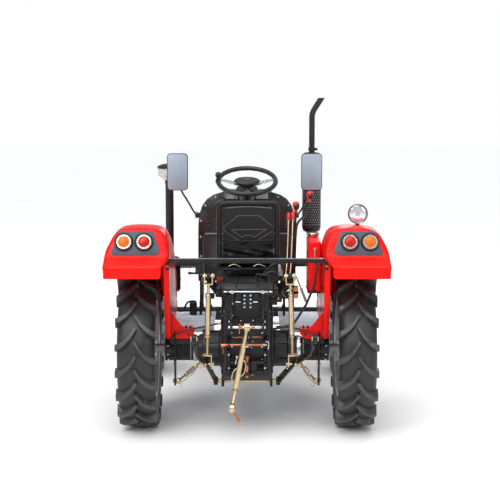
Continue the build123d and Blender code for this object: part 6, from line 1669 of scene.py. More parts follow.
def gearbox():
    """Casing with a chamfered sump, side ribs, flanges, a rear cover, plugs and the splined PTO stub."""
    outline = [place(-160, y, z) for y, z in ((CASE_REAR, 430), (-210, 340), (240, 340), (300, 400), (300, 780),
                                             (CASE_REAR, 780))]
    grey = [smooth(slab("gearbox_case", outline, (0.320, 0, 0), 0.016, 3), 35),
            box("gearbox_deck", place(-170, CASE_REAR, CASE_TOP - 16), place(170, 300, CASE_TOP), 0.003),
            box("front_joint", place(-170, 280, 430), place(170, 300, CASE_TOP), 0.003),
            box("rear_cover", place(-112, -309, 480), place(112, CASE_REAR + 2, 770), 0.006, 3)]
    for side in (LEFT, RIGHT):
        grey += [box("case_rib", *sorted_low(side * 0.158, AXLE_Y + y * MM, 0.400, side * 0.168,
                                             AXLE_Y + (y + 12) * MM, 0.776), 0.003)
                 for y in (-260, -170, 140, 220)]
        grey += final_drive(side)
    spots = [place(x, -309, z) for x in (-98, 98) for z in (500, 590, 680, 752)]
    spots += [place(x, -309, z) for x in (-40, 40) for z in (492, 758)]
    steel = [bolts("cover_bolts", [(spot, (0, -1, 0)) for spot in spots], 0.010, 0.006)]
    drive = place(0, CASE_REAR, 612)
    steel.append(spun("pto_stub", [(0.018, 0.0), (0.018, 0.0155), (0.088, 0.0155), (0.0945, 0.012), (0.0945, 0.0)],
                      drive, (0, -1, 0), 32, closed=False))
    spline = box("spline", (-0.0032, -0.086, 0.0145), (0.0032, -0.030, 0.0175), 0.0008)
    steel += copies(spline, [Matrix.Translation(drive) @ Matrix.Rotation(math.tau * n / 6, 4, "Y") for n in range(6)])
    grey.append(spun("pto_flange", [(0.0, 0.0), (0.0, 0.048), (0.014, 0.048), (0.020, 0.030), (0.020, 0.0)],
                     drive + Vector((0, -0.001, 0)), (0, -1, 0), 48, closed=False))
    steel.append(bolts("pto_bolts", [(spot + Vector((0, -0.014, 0)), (0, -1, 0))
                                     for spot in ring_of(drive, (0, -1, 0), 0.039, 6, 0.5)], 0.007, 0.004))
    steel.append(bolts("drain_plugs", [(place(x, -40, 341), (0, 0, -1)) for x in (-60, 60)], 0.018, 0.0005))
    cast = [painted(piece, CAST_GREY) for piece in grey if not piece.data.materials]
    done = [piece for piece in grey if piece not in cast]
    return joined("gearbox_looks", cast + done + [painted(piece, BRIGHT_STEEL) for piece in steel])


dressed(gearbox(), "chassis", None, ("gearbox",))


# ---------------------------------------------------------------- hydraulic lift cover and its clutter
def lift_cover():
    """Lift cover: sloped lid, rockshaft bosses, valve block, and the bars, studs and pins on its rear."""
    outline = [place(-146, y, z) for y, z in ((-298, 802), (220, 802), (220, 930), (150, 990), (-150, 1000),
                                             (-262, 985), (-298, 900))]
    grey = [smooth(slab("lift_lid", outline, (0.292, 0, 0), 0.014, 3), 35),
            box("lift_joint", place(-150, CASE_REAR, CASE_TOP), place(150, 220, 806), 0.003),
            bar("rockshaft_tube", place(-165, -250, 945), place(165, -250, 945), 0.050, edge=0.004, sides=40),
            box("valve_block", place(146, -120, 842), place(228, 40, 936), 0.006, 3),
            box("valve_cap", place(160, -104, 930), place(218, 20, 948), 0.004)]
    grey += [bar("shaft_seal", place(side * 152, -250, 945), place(side * 165, -250, 945), 0.054, edge=0.003, sides=40)
             for side in (LEFT, RIGHT)]
    grey += [bar("valve_spool", place(x, -142, 905), place(x, -118, 905), 0.013) for x in (172, 206)]
    grey.append(box("valve_foot", place(133, -132, 826), place(197, -100, 866), 0.003))
    grey += [box("lid_rib", place(x - 5, -296, 850), place(x + 5, 160, 1004), 0.003) for x in (-70, 70)]
    black = [box("rear_strap", place(x - 11, -313, 775), place(x + 11, -303, 950), 0.002) for x in (-94, 101)]
    black += [box("rear_block", place(*low), place(*high), 0.004) for low, high in
              (((-80, -318, 812), (-30, -300, 868)), ((34, -316, 818), (84, -300, 872)),
               ((-72, -320, 890), (-36, -300, 932)), ((40, -320, 890), (78, -300, 930)),
               ((-12, -314, 820), (20, -300, 935)))]
    black.append(spun("dark_ring", [(0.0, 0.010), (0.0, 0.018), (0.012, 0.018), (0.012, 0.010)],
                      place(-133, -300, 905), (0, -1, 0), 24))
    bright = [bar("cross_rod", place(x0, -322, 945), place(x1, -322, 945), 0.0062) for x0, x1 in
              ((-148, -124), (-117, 132), (139, 162))]
    bright += [box("keeper", place(x0, -328, 876), place(x1, -318, 884), 0.002) for x0, x1 in ((-73, -41), (38, 70))]
    spots = [place(x, -314, z) for x in (-16, 23) for z in (845, 870, 895, 920)]
    spots += [place(x, -313, z) for x in (-94, 101) for z in (790, 868)]
    bright.append(bolts("rear_studs", [(spot, (0, -1, 0)) for spot in spots], 0.0085, 0.009))
    bright.append(bolts("rod_nuts", [(place(x, -326, 945), (0, -1, 0)) for x in (-94, 101)], 0.015, 0.010))
    lid_spots = [place(x, y, 806) for x in (-143, 143) for y in (-270, -180, -90, 0, 90, 190)]
    bright.append(bolts("lid_bolts", [(spot, (0, 0, 1)) for spot in lid_spots if spot.x < 0 or spot.y < AXLE_Y - 0.13],
                        0.011, 0.007))
    brass = [bar("valve_port", place(x, -136, z), place(x, -118, z), 0.0085) for x, z in ((165, 884), (203, 870))]
    for x, z in ((320, 925), (320, 880)):
        brass.append(spun("coupler", [(0.0, 0.0), (0.0, 0.016), (0.010, 0.016), (0.016, 0.011), (0.030, 0.011),
                                      (0.030, 0.0)], place(x, -100, z), (0, 1, 0), 32, closed=False))
        black.append(bar("coupler_tail", place(x, -72, z), place(x, -20, z), 0.011))
    black.append(box("coupler_shelf", place(222, -76, 894), place(338, -66, 908), 0.002))
    black.append(box("coupler_post", place(306, -76, 862), place(334, -66, 944), 0.002))
    yellow = [tube("yellow_clip", [place(x + dx, -92, z) for dx, z in ((0, 945), (way * 16, 936), (way * 22, 905),
                                                                     (way * 14, 880), (0, 874))], 0.0024)
              for x, way in ((252, -1), (282, 1))]
    # The strut is painted in the sheen black: a painted sheen along it.
    strut = [bar("strut_rod", place(322, -58, 1004), place(364, -58, 896), 0.0055),
             bar("strut_case", place(352, -58, 927), place(388, -58, 835), 0.009)]
    sets = ((grey, CAST_GREY), (black, FRAME_BLACK), (bright, BRIGHT_STEEL), (brass, COPPER), (yellow, ZINC),
            (strut, SHEEN_PAINTED_BLACK))
    red = box("red_bracket", place(-196, -180, 930), place(-150, -60, 1010), 0.008, 3)
    return joined("lift_cover_looks", [painted(piece, paint) for group, paint in sets for piece in group]
                  + [painted(red, DARK_RED)])


dressed(lift_cover(), "chassis", None, ("lift_cover",))


# ---------------------------------------------------------------- axle housings
def axle_housing(side):
    """A round trumpet with ring fins, a bolted end flange, a flat pad and a bright collar."""
    hub = place(0, 0, REAR_R * 1000)
    out = Vector((side, 0, 0))
    profile = [(0.318, 0.0), (0.318, 0.083), (0.336, 0.083), (0.340, 0.076)]
    for n in range(6):
        start = 0.352 + 0.022 * n
        profile += [(start, 0.072 - 0.001 * n), (start, 0.080), (start + 0.008, 0.080),
                    (start + 0.008, 0.072 - 0.001 * n)]
    profile += [(0.500, 0.068), (0.522, 0.074), (0.524, 0.083), (0.540, 0.083), (0.540, 0.034), (0.528, 0.034),
                (0.528, 0.0)]
    trumpet = painted(spun("axle_trumpet", profile, hub, out, 56, closed=False), CAST_GREY)
    pad = box("axle_pad", *sorted_low(side * 0.365, AXLE_Y - 0.090, REAR_R + 0.0415, side * 0.505, AXLE_Y + 0.090,
                                      REAR_R + 0.083), 0.004)
    low_rib = box("axle_rib", *sorted_low(side * 0.330, AXLE_Y - 0.006, REAR_R - 0.082, side * 0.520, AXLE_Y + 0.006,
                                          REAR_R - 0.050), 0.003)
    collar = spun("axle_collar", [(0.326, 0.070), (0.326, 0.0835), (0.330, 0.0855), (0.350, 0.0855), (0.354, 0.080),
                                  (0.354, 0.070)], hub, out, 48)
    fins = [box("pad_fin", *sorted_low(side * x, AXLE_Y - 0.098, 0.462, side * (x + 0.005), AXLE_Y - 0.060, 0.594),
                0.0012) for x in (0.366, 0.381, 0.396, 0.411, 0.426, 0.441, 0.456, 0.471)]
    # The two end fins take the sheen black: painted highlights on the outer fins.
    finned = [painted(fin, SHEEN_PAINTED_BLACK if n in (0, 7) else CAST_GREY) for n, fin in enumerate(fins)]
    heads = bolts("flange_bolts", [(spot + out * 0.524, -out) for spot in ring_of(hub, out, 0.076, 8, 0.5)], 0.0065,
                  0.008)
    copper = bar("copper_plug", place(side * 474, -84, 452), place(side * 474, -40, 452), 0.010)
    return [trumpet, painted(pad, CAST_GREY), painted(low_rib, CAST_GREY), painted(collar, BRIGHT_STEEL),
            painted(heads, BRIGHT_STEEL), painted(copper, COPPER), *finned]


dressed(joined("axle_housings_looks", axle_housing(LEFT) + axle_housing(RIGHT)), "chassis", None,
        ("axle_housings",))


# ---------------------------------------------------------------- clutch housing and engine
def clutch_housing():
    """Bell housing with sloped lower edge, joint flanges, side ribs and an inspection lid."""
    low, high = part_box("clutch_housing")
    outline = [place(-150, y, z) for y, z in ((300, 480), (360, 430), (1100, 430), (1155, 480), (1155, 794), (300, 794))]
    pieces = [smooth(slab("bell_case", outline, (0.300, 0, 0), 0.016, 3), 35)]
    for y in (low.y, high.y - 0.022):
        pieces.append(box("bell_flange", (low.x, y, 0.428), (high.x, y + 0.022, high.z), 0.003))
    for side in (LEFT, RIGHT):
        pieces += [box("bell_rib", *sorted_low(side * 0.148, AXLE_Y + 0.320, z, side * 0.158, AXLE_Y + 1.135, z + 0.012),
                       0.003) for z in (0.500, 0.620, 0.740)]
    pieces.append(box("bell_lid", place(-90, 480, 790), place(90, 760, 799), 0.003))
    lid_bolts = bolts("bell_bolts", [(place(x, y, 798), (0, 0, 1)) for x in (-80, 80) for y in (492, 620, 748)],
                      0.009, 0.0015)
    return joined("clutch_housing_looks", [painted(piece, CAST_GREY) for piece in pieces]
                  + [painted(lid_bolts, BRIGHT_STEEL)])


dressed(clutch_housing(), "chassis", None, ("clutch_housing",))


def engine_block():
    """Plain engine block: ribbed sides, head and rocker lid, sump, side lids and exhaust stub."""
    low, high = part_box("engine_block")
    rear, front = AXLE_Y + 1.155, AXLE_Y + 1.580
    pieces = [box("block", (-0.180, rear + 0.004, 0.552), (0.180, front - 0.002, 0.840), 0.010, 3),
              box("head", (-0.165, rear + 0.020, 0.846), (0.165, front - 0.020, 0.920), 0.008, 3),
              box("head_joint", (-0.172, rear + 0.014, 0.838), (0.172, front - 0.014, 0.848), 0.001),
              box("rocker_lid", (-0.090, rear + 0.050, 0.916), (0.090, front - 0.050, high.z), 0.022, 4),
              box("rear_plate", (-0.190, rear, 0.560), (0.190, rear + 0.018, 0.860), 0.003),
              box("sump", (-0.138, rear + 0.050, low.z), (0.138, front - 0.050, 0.548), 0.020, 4),
              box("sump_flange", (-0.186, rear + 0.006, 0.546), (0.186, front - 0.006, 0.558), 0.002),
              box("timing_lid", (-0.150, front - 0.030, 0.570), (0.150, front, 0.820), 0.014, 3)]
    for side in (LEFT, RIGHT):
        pieces += [box("block_rib", *sorted_low(side * 0.176, rear + 0.030 + 0.095 * n, 0.575, side * 0.190,
                                                rear + 0.042 + 0.095 * n, 0.830), 0.004) for n in range(5)]
    spots = [Vector((x, rear + 0.030 + 0.073 * n, 0.920)) for x in (-0.145, 0.145) for n in range(6)]
    heads = bolts("head_bolts", [(spot, (0, 0, 1)) for spot in spots], 0.010, 0.008)
    return joined("engine_looks", [painted(smooth(piece, 35), CAST_GREY) for piece in pieces]
                  + [painted(heads, BRIGHT_STEEL)])


dressed(engine_block(), "chassis", None, ("engine_block",))


# ---------------------------------------------------------------- hand levers, knobs and pedals
def lever_rods():
    """Thin rods from their feet on the casing to their knobs, with bright lock nuts and a slotted quadrant."""
    pieces = []
    for line, radius, paint in LEVERS:
        spots = [place(*spot) for spot in line]
        pieces.append(painted(tube("lever_rod", spots, radius * MM), paint))
        way = (spots[-1] - spots[-2]).normalized()
        top = spots[-1]
        if paint is ZINC:
            pieces.append(painted(nut("lock_nut", top - way * 0.042, top - way * 0.032, radius * 0.0036), BRIGHT_STEEL))
    plate = box("lever_quadrant", place(204, -72, 1010), place(232, -66, 1112), 0.002)
    hole = bar("quadrant_pin", place(218, -74, 1062), place(218, -64, 1062), 0.008, edge=0.0006)
    return pieces + [painted(plate, BRIGHT_STEEL), painted(hole, COPPER)]


LEVERS = ((((120, 250, 790), (200, 255, 830), (302, 262, 880), (310, 280, 980), (326, 330, 1290), (332, 350, 1430)),
           9, FRAME_BLACK),
          (((155, 275, 790), (240, 285, 840), (322, 300, 900), (328, 335, 1200), (338, 362, 1302), (372, 390, 1334),
            (404, 415, 1358), (420, 440, 1420), (431, 450, 1492)), 8, FRAME_BLACK),
          (((190, -60, 940), (224, -44, 960), (256, -30, 1000), (268, 50, 1160), (276, 150, 1378)), 4.5, ZINC),
          (((210, -20, 940), (252, -16, 958), (286, -10, 1000), (297, 80, 1180), (306, 175, 1381)), 4.5, ZINC))
dressed(joined("levers_looks", lever_rods()), "chassis", None, ("levers",))


def lever_knobs():
    """Two ball knobs, red over a black collar, and two long red grips."""
    pieces = []
    for line, radius, _ in LEVERS:
        top = place(*line[-1])
        way = (top - place(*line[-2])).normalized()
        if radius > 5:
            shape = [(-0.052, 0.0), (-0.052, 0.011), (-0.034, 0.013), (-0.016, 0.020), (0.0, 0.024), (0.012, 0.0225),
                     (0.022, 0.014), (0.026, 0.0)]
            front = ball("knob_front", top + Vector((0.004, -0.007, -0.008)), 0.0205, 10)
            for corner in front.data.vertices:
                corner.co.z = top.z - 0.008 + (corner.co.z - top.z + 0.008) * 1.25
            pieces.append(painted(front, BLACK_PLASTIC))
        else:
            shape = [(-0.032, 0.0), (-0.032, 0.009), (-0.027, 0.0115), (0.014, 0.012), (0.020, 0.010), (0.024, 0.0)]
        pieces.append(painted(spun("lever_knob", shape, top, way, 32, closed=False), RED_PLASTIC))
    return pieces


dressed(joined("lever_knobs_looks", lever_knobs()), "chassis", None, ("lever_knobs",))


def pedals():
    """Two clutch and brake pedals: bent arms with ribbed rubber pads."""
    pieces = []
    for side in (LEFT, RIGHT):
        line = [place(side * 262, y, z) for y, z in ((690, 500), (680, 620), (650, 700), (668, 752))]
        pieces.append(tube("pedal_arm", line, 0.009, sides=5))
        pad = box("pedal_pad", (-0.033, -0.032, 0), (0.033, 0.032, 0.010), 0.003)
        ribs = [box("pad_rib", (-0.030, -0.026 + 0.012 * n, 0.009), (0.030, -0.021 + 0.012 * n, 0.013), 0.001)
                for n in range(5)]
        pad = joined("pedal_pad", [pad, *ribs])
        pad.data.transform(Matrix.Translation(place(side * 262, 666, 748)) @ Matrix.Rotation(math.radians(24), 4, "X"))
        pieces.append(pad)
        pieces.append(bar("pedal_pivot", place(side * 248, 690, 500), place(side * 276, 690, 500), 0.014))
    return pieces


dressed(joined("pedals_looks", pedals()), "chassis", FRAME_BLACK, ("pedals",))
# ---------------------------------------------------------------- exhaust
STACK = (477, 1210)


def muffler():
    """Upright muffler in a perforated shield with rolled ends, its collar, flange and elbow."""
    x, y = STACK
    foot = place(x, y, 1146)
    can = spun("muffler_can", [(0.0, 0.0), (0.0, 0.050), (0.006, 0.060), (0.022, 0.066), (0.565, 0.066), (0.579, 0.060),
                               (0.585, 0.048), (0.585, 0.0)], foot, (0, 0, 1), 56, closed=False)
    shield = spun("heat_shield", [(0.030, 0.0655), (0.030, 0.070), (0.036, 0.070), (0.038, 0.0685), (0.544, 0.0685),
                                  (0.546, 0.070), (0.552, 0.070), (0.552, 0.0655)], foot, (0, 0, 1), 56)
    dot = bar("shield_dot", (0.0672, 0, 0), (0.0696, 0, 0), 0.0052, 0.0040, edge=0, sides=8)
    spots = [Matrix.Translation(foot + Vector((0, 0, 0.056 + 0.0185 * row)))
             @ Matrix.Rotation(math.tau * (n + 0.5 * (row % 2)) / 22, 4, "Z") for row in range(26) for n in range(22)]
    # The shield's dots take the sheen black: painted glints on the perforations.
    dots = painted(joined("shield_dots", copies(dot, spots)), SHEEN_PAINTED_BLACK)
    elbow = tube("exhaust_elbow", [place(190, y, 902), place(300, y, 902), place(420, y, 902), place(477, y, 906),
                                   place(477, y, 970), place(477, y, 1060), place(477, y, 1150)], 0.021, sides=6)
    rings = [spun("pipe_flange", [(0.0, 0.018), (0.0, 0.036), (0.010, 0.036), (0.010, 0.018)], spot, way, 40)
             for spot, way in ((place(190, y, 902), (1, 0, 0)), (place(x, y, 1122), (0, 0, 1)),
                               (place(x, y, 1134), (0, 0, 1)))]
    collar = painted(spun("muffler_collar", [(-0.004, 0.018), (-0.004, 0.044), (0.008, 0.044), (0.008, 0.018)],
                          foot, (0, 0, 1), 48), BRIGHT_STEEL)
    heads = bolts("flange_nuts", [(place(x + dx, y + dy, 1132), (0, 0, -1)) for dx, dy in
                                  ((26, 0), (-26, 0), (0, 26), (0, -26))], 0.007, 0.006)
    dark = [painted(piece, EXHAUST_BLACK) for piece in (can, shield, elbow, *rings)]
    return [*dark, dots, collar, painted(heads, BRIGHT_STEEL)]


dressed(joined("muffler_looks", muffler()), "chassis", None, ("muffler",))


def exhaust_stack():
    """Tail pipe that leans outwards above its bend and is cut level, open at its tip."""
    x, y = STACK
    bend, tip = place(x, y, 2020), place(x + 75, y, 2140)
    line = [place(x, y, 1731), place(x, y, 1850), place(x, y, 1960), bend, bend.lerp(tip, 0.5), tip]
    pipe = tube("stack_pipe", line, 0.021, sides=7)
    cut(pipe, tube("stack_bore", [place(x, y, 1830)] + line[1:-1] + [tip + (tip - bend) * 0.3], 0.0185, sides=7))
    cut(pipe, box("stack_trim", place(x - 60, y - 60, 2130), place(x + 190, y + 60, 2260), 0))
    clamp = spun("stack_clamp", [(0.0, 0.0205), (0.0, 0.0265), (0.022, 0.0265), (0.022, 0.0205)],
                 place(x, y, 1744), (0, 0, 1), 40)
    ears = box("clamp_ears", place(x + 20, y - 7, 1746), place(x + 42, y + 7, 1764), 0.002)
    return [painted(smooth(pipe, 40), EXHAUST_BLACK), painted(clamp, EXHAUST_BLACK), painted(ears, EXHAUST_BLACK)]


dressed(joined("exhaust_stack_looks", exhaust_stack()), "chassis", None, ("exhaust_stack",))


# ---------------------------------------------------------------- air cleaner and pre-cleaner
CLEANER = (-572, 1200)


def air_cleaner():
    """Air cleaner can with beads, band clamps, duct to the engine, stand pipe and the pre-cleaner's lid."""
    x, y = CLEANER
    can = spun("cleaner_can", [(0.700, 0.0), (0.700, 0.066), (0.714, 0.078), (0.780, 0.078), (0.784, 0.080),
                               (0.796, 0.080), (0.800, 0.078), (0.900, 0.078), (0.904, 0.080), (0.916, 0.080),
                               (0.920, 0.078), (0.944, 0.077), (0.956, 0.062), (0.956, 0.0)],
               place(x, y, 0), (0, 0, 1), 56, closed=False)
    pipe = bar("stand_pipe", place(x, y, 950), place(x, y, 1532), 0.030, edge=0, sides=40)
    bands = [spun("pipe_band", [(z, 0.029), (z, 0.0335), (z + 0.018, 0.0335), (z + 0.018, 0.029)],
                  place(x, y, 0), (0, 0, 1), 40) for z in (0.962, 1.504)]
    duct = tube("cleaner_duct", [place(-186, y + 58, 895), place(-300, y + 52, 895), place(-420, y + 40, 895),
                                 place(x + 56, y + 12, 895)], 0.028, sides=6)
    ribs = [spun("duct_ring", [(0.0, 0.027), (0.0, 0.0315), (0.012, 0.0315), (0.012, 0.027)],
                 place(along, y + 60 - 40 * (-190 - along) / 330, 895), (-1, -0.1, 0), 32)
            for along in (-240, -300, -360, -420)]
    bracket = box("cleaner_bracket", place(-565, 1078, 905), place(-312, 1086, 960), 0.003)
    lid = spun("precleaner_lid", [(1.618, 0.0), (1.618, 0.088), (1.630, 0.088), (1.636, 0.078), (1.646, 0.046),
                                  (1.650, 0.012), (1.650, 0.0)], place(x, y, 0), (0, 0, 1), 56, closed=False)
    nut_top = painted(bolts("lid_nut", [(place(x, y, 1638), (0, 0, 1))], 0.014, 0.006), BRIGHT_STEEL)
    dark = [painted(piece, EXHAUST_BLACK) for piece in (can, pipe, *bands, bracket, lid)]
    # The duct and its rings take the sheen black: a painted sheen along the duct.
    return [*dark, nut_top] + [painted(piece, SHEEN_PAINTED_BLACK) for piece in (duct, *ribs)]


def precleaner_bowl():
    """Pale clear bowl with a moulded waist and seam."""
    x, y = CLEANER
    return spun("precleaner_bowl_looks", [(1.530, 0.0), (1.530, 0.046), (1.536, 0.050), (1.564, 0.082), (1.572, 0.083),
                                          (1.578, 0.0845), (1.584, 0.083), (1.614, 0.084), (1.618, 0.080), (1.618, 0.0)],
                place(x, y, 0), (0, 0, 1), 56, closed=False)


dressed(joined("air_cleaner_looks", air_cleaner()), "chassis", None, ("air_cleaner",))
dressed(precleaner_bowl(), "chassis", BOWL, ("precleaner_bowl",))


# ---------------------------------------------------------------- bonnet, grille, headlamps and radiator
BONNET_HALF, BONNET_REAR, BONNET_NOSE, BONNET_LOW, NOSE_LOW = 275, 1150, 2060, 940, 720


def bonnet_ring(y, top, low, half, round_):
    """One cross-section of the bonnet, from its left lower edge over the top to the right."""
    corner = []
    for step in range(7):
        turn = math.radians(15 * step)
        corner.append((half - round_ + round_ * math.cos(turn), top - round_ + round_ * math.sin(turn)))
    right = [(half, low), (half, low + (top - round_ - low) * 0.45), (half, low + (top - round_ - low) * 0.55)] + corner
    crown = [(half * 0.4, top + 1.5), (0, top + 3.0)]
    side = right + crown
    line = [(-x, z) for x, z in side[:-1]] + [(x, z) for x, z in reversed(side)]
    return [place(x, y, min(z, 1420)) for x, z in line]


def bonnet():
    """Sheet bonnet with a rolled rear edge, side creases, louvres, nose panel, lamp rings and latches."""
    rows = [(1150, 1414, 940, 271, 84), (1156, 1418, 940, 274, 85), (1300, 1398, 940, 275, 85),
            (1500, 1370, 940, 275, 85), (1700, 1338, 940, 275, 85), (1830, 1296, 940, 274, 85),
            (1886, 1278, 940, 273, 85), (1892, 1276, 724, 273, 85), (1960, 1250, 724, 270, 84),
            (2020, 1186, 724, 266, 80), (2046, 1150, 724, 258, 74), (2056, 1128, 724, 250, 70)]
    rings = [bonnet_ring(*row) for row in rows]
    count = len(rings[0])
    mesh = bpy.data.meshes.new("bonnet_skin")
    faces = [(r * count + n, r * count + n + 1, (r + 1) * count + n + 1, (r + 1) * count + n)
             for r in range(len(rings) - 1) for n in range(count - 1)]
    last = (len(rings) - 1) * count
    faces.append(tuple(last + n for n in range(count)))
    mesh.from_pydata([tuple(spot) for line in rings for spot in line], [], faces)
    skin = bpy.data.objects.new("bonnet_skin", mesh)
    bpy.context.collection.objects.link(skin)
    outwards(skin)
    modified(skin, "SOLIDIFY", thickness=0.003, offset=-1, use_even_offset=True)
    window = box("grille_window", place(-200, 2030, 745), place(200, 2090, 945), 0)
    cut(skin, window)
    for x in (-160, 160):
        cut(skin, bar("lamp_window", place(x, 2030, 1030), place(x, 2090, 1030), 0.062, edge=0, sides=48))
    smooth(outwards(skin), 28)
    red = [skin]
    for side in (LEFT, RIGHT):
        for n in range(8):
            y = 1330 + 46 * n
            fin = slab("side_louvre", [place(side * 273.5, y + dy, z) for dy, z in
                                       ((0, 1010), (30, 1010), (30, 1090), (0, 1090))], (side * 0.0015, 0, 0), 0.0005, 1)
            red.append(painted(fin, FRAME_BLACK))
        red.append(painted(box("bonnet_latch", *sorted_low(side * 0.270, AXLE_Y + 1.600, 0.944, side * 0.275,
                                                           AXLE_Y + 1.630, 0.990), 0.001), BRIGHT_STEEL))
    for x in (-130, 130):
        red.append(bar("hinge_eye", place(x - 14, 1156, 1434), place(x + 14, 1156, 1434), 0.009))
        red.append(box("hinge_leaf", place(x - 14, 1157, 1416), place(x + 14, 1182, 1430), 0.002))
    return joined("bonnet_looks", [piece if piece.data.materials else painted(piece, RED_PAINT) for piece in red])


dressed(bonnet(), "bonnet", None, ("bonnet",))


def grille():
    """Grille: a rounded frame with eleven upright bars before a dark mesh."""
    y0, y1 = 2048, 2060
    frame_bars = [box("grille_edge", place(*low), place(*high), 0.003) for low, high in
                  (((-200, y0, 745), (200, y1, 759)), ((-200, y0, 931), (200, y1, 945)),
                   ((-200, y0, 752), (-186, y1, 938)), ((186, y0, 752), (200, y1, 938)))]
    frame_bars += [box("grille_bar", place(x - 5, y0, 752), place(x + 5, y1 - 3, 938), 0.002)
                   for x in (32 * (n - 5) for n in range(11))]
    mesh = box("grille_mesh", place(-192, y0 - 3, 752), place(192, y0, 938), 0)
    return joined("grille_looks", frame_bars + [mesh])


dressed(grille(), "bonnet", FRAME_BLACK, ("grille",))


def headlamps():
    """Two round headlamps: dark shells, bright rims and ribbed lenses."""
    pieces = []
    for x in (-160, 160):
        spot = place(x, 2020, 1030)
        pieces.append(painted(spun("lamp_shell", [(0.0, 0.0), (0.0, 0.030), (0.012, 0.056), (0.030, 0.061),
                                                  (0.030, 0.0)], spot, (0, 1, 0), 48, closed=False), BLACK_PLASTIC))
        pieces.append(painted(spun("lamp_rim", [(0.030, 0.052), (0.030, 0.0615), (0.038, 0.0615), (0.0395, 0.055),
                                                (0.037, 0.052)], spot, (0, 1, 0), 48), BRIGHT_STEEL))
        pieces.append(painted(spun("lamp_glass", [(0.031, 0.0), (0.031, 0.053), (0.035, 0.053), (0.0385, 0.030),
                                                  (0.0395, 0.0)], spot, (0, 1, 0), 48, closed=False), CLEAR_LAMP))
    return joined("headlamps_looks", pieces)


dressed(headlamps(), "bonnet", None, ("headlamps",))


def radiator():
    """Radiator: finned core between tanks, side channels and filler cap."""
    low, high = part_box("radiator")
    core_high = 1.120
    pieces = [box("core", (low.x + 0.014, low.y + 0.010, low.z + 0.030), (high.x - 0.014, high.y - 0.010, core_high
                                                                        - 0.020), 0.001)]
    fin = box("fin", (low.x + 0.016, low.y + 0.006, low.z + 0.034), (high.x - 0.016, high.y - 0.006, low.z + 0.0365),
              0.0)
    pieces += copies(fin, [Matrix.Translation((0, 0, 0.0115 * n)) for n in range(38)])
    black = [box("lower_tank", (low.x, low.y, low.z), (high.x, high.y, low.z + 0.034), 0.005, 3),
             box("upper_tank", (low.x, low.y, core_high - 0.028), (high.x, high.y, core_high), 0.005, 3),
             box("header_tank", (low.x + 0.030, low.y + 0.005, core_high - 0.004), (high.x - 0.030, high.y - 0.005,
                                                                                  high.z - 0.006), 0.010, 3),
             bar("filler_cap", (0.08, (low.y + high.y) / 2, high.z - 0.010), (0.08, (low.y + high.y) / 2, high.z),
                 0.024)]
    for x0 in (low.x, high.x - 0.016):
        black.append(box("side_channel", (x0, low.y, low.z + 0.02), (x0 + 0.016, high.y, core_high - 0.01), 0.002))
    return joined("radiator_looks", [painted(piece, RADIATOR_CORE) for piece in pieces]
                  + [painted(piece, FRAME_BLACK) for piece in black])


dressed(radiator(), "chassis", None, ("radiator",))


# ---------------------------------------------------------------- front frame, axle and steering
PIVOT_Y = 1650


def front_bracket():
    """Rails with bolted cross plate, axle hangers, radiator shelf and a channel bumper."""
    pieces = []
    for side in (LEFT, RIGHT):
        pieces.append(box("rail", *sorted_low(side * 0.110, AXLE_Y + 1.580, 0.530, side * 0.150, AXLE_Y + 2.092, 0.610),
                          0.004))
    pieces.append(box("cross_plate", place(-150, 1580, 530), place(150, 1596, 700), 0.004))
    for y in (PIVOT_Y - 66, PIVOT_Y + 46):
        pieces.append(slab("hanger", [place(x, y, z) for x, z in ((-150, 550), (-150, 500), (-70, 436), (70, 436),
                                                                 (150, 500), (150, 550))], (0, 0.020, 0), 0.004, 2))
        pieces[-1] = cut(pieces[-1], bar("pin_bore", place(0, y - 5, 470), place(0, y + 25, 470), 0.0202, edge=0))
    pieces.append(box("radiator_shelf", place(-150, 1780, 598), place(150, 1880, 610), 0.002))
    pieces.append(box("bumper_face", place(-250, 2118, 500), place(250, 2130, 680), 0.005, 3))
    pieces += [box("bumper_edge", place(-250, 2090, z), place(250, 2122, z + 12), 0.003) for z in (500, 668)]
    pieces += [box("bumper_rib", place(x - 5, 2090, 504), place(x + 5, 2122, 676), 0.002) for x in (-245, -120, 0, 120,
                                                                                                  245)]
    spots = [(place(x, 1596, z), (0, 1, 0)) for x in (-85, 85) for z in (560, 610, 660)]
    spots += [(place(x, 2130, z), (0, 1, 0)) for x in (-130, 130) for z in (545, 595)]
    pieces = [painted(piece, FRAME_BLACK) for piece in pieces]
    return pieces + [painted(bolts("frame_bolts", spots[:6], 0.012, 0.008), BRIGHT_STEEL)]


dressed(joined("front_bracket_looks", front_bracket()), "chassis", None, ("front_bracket",))


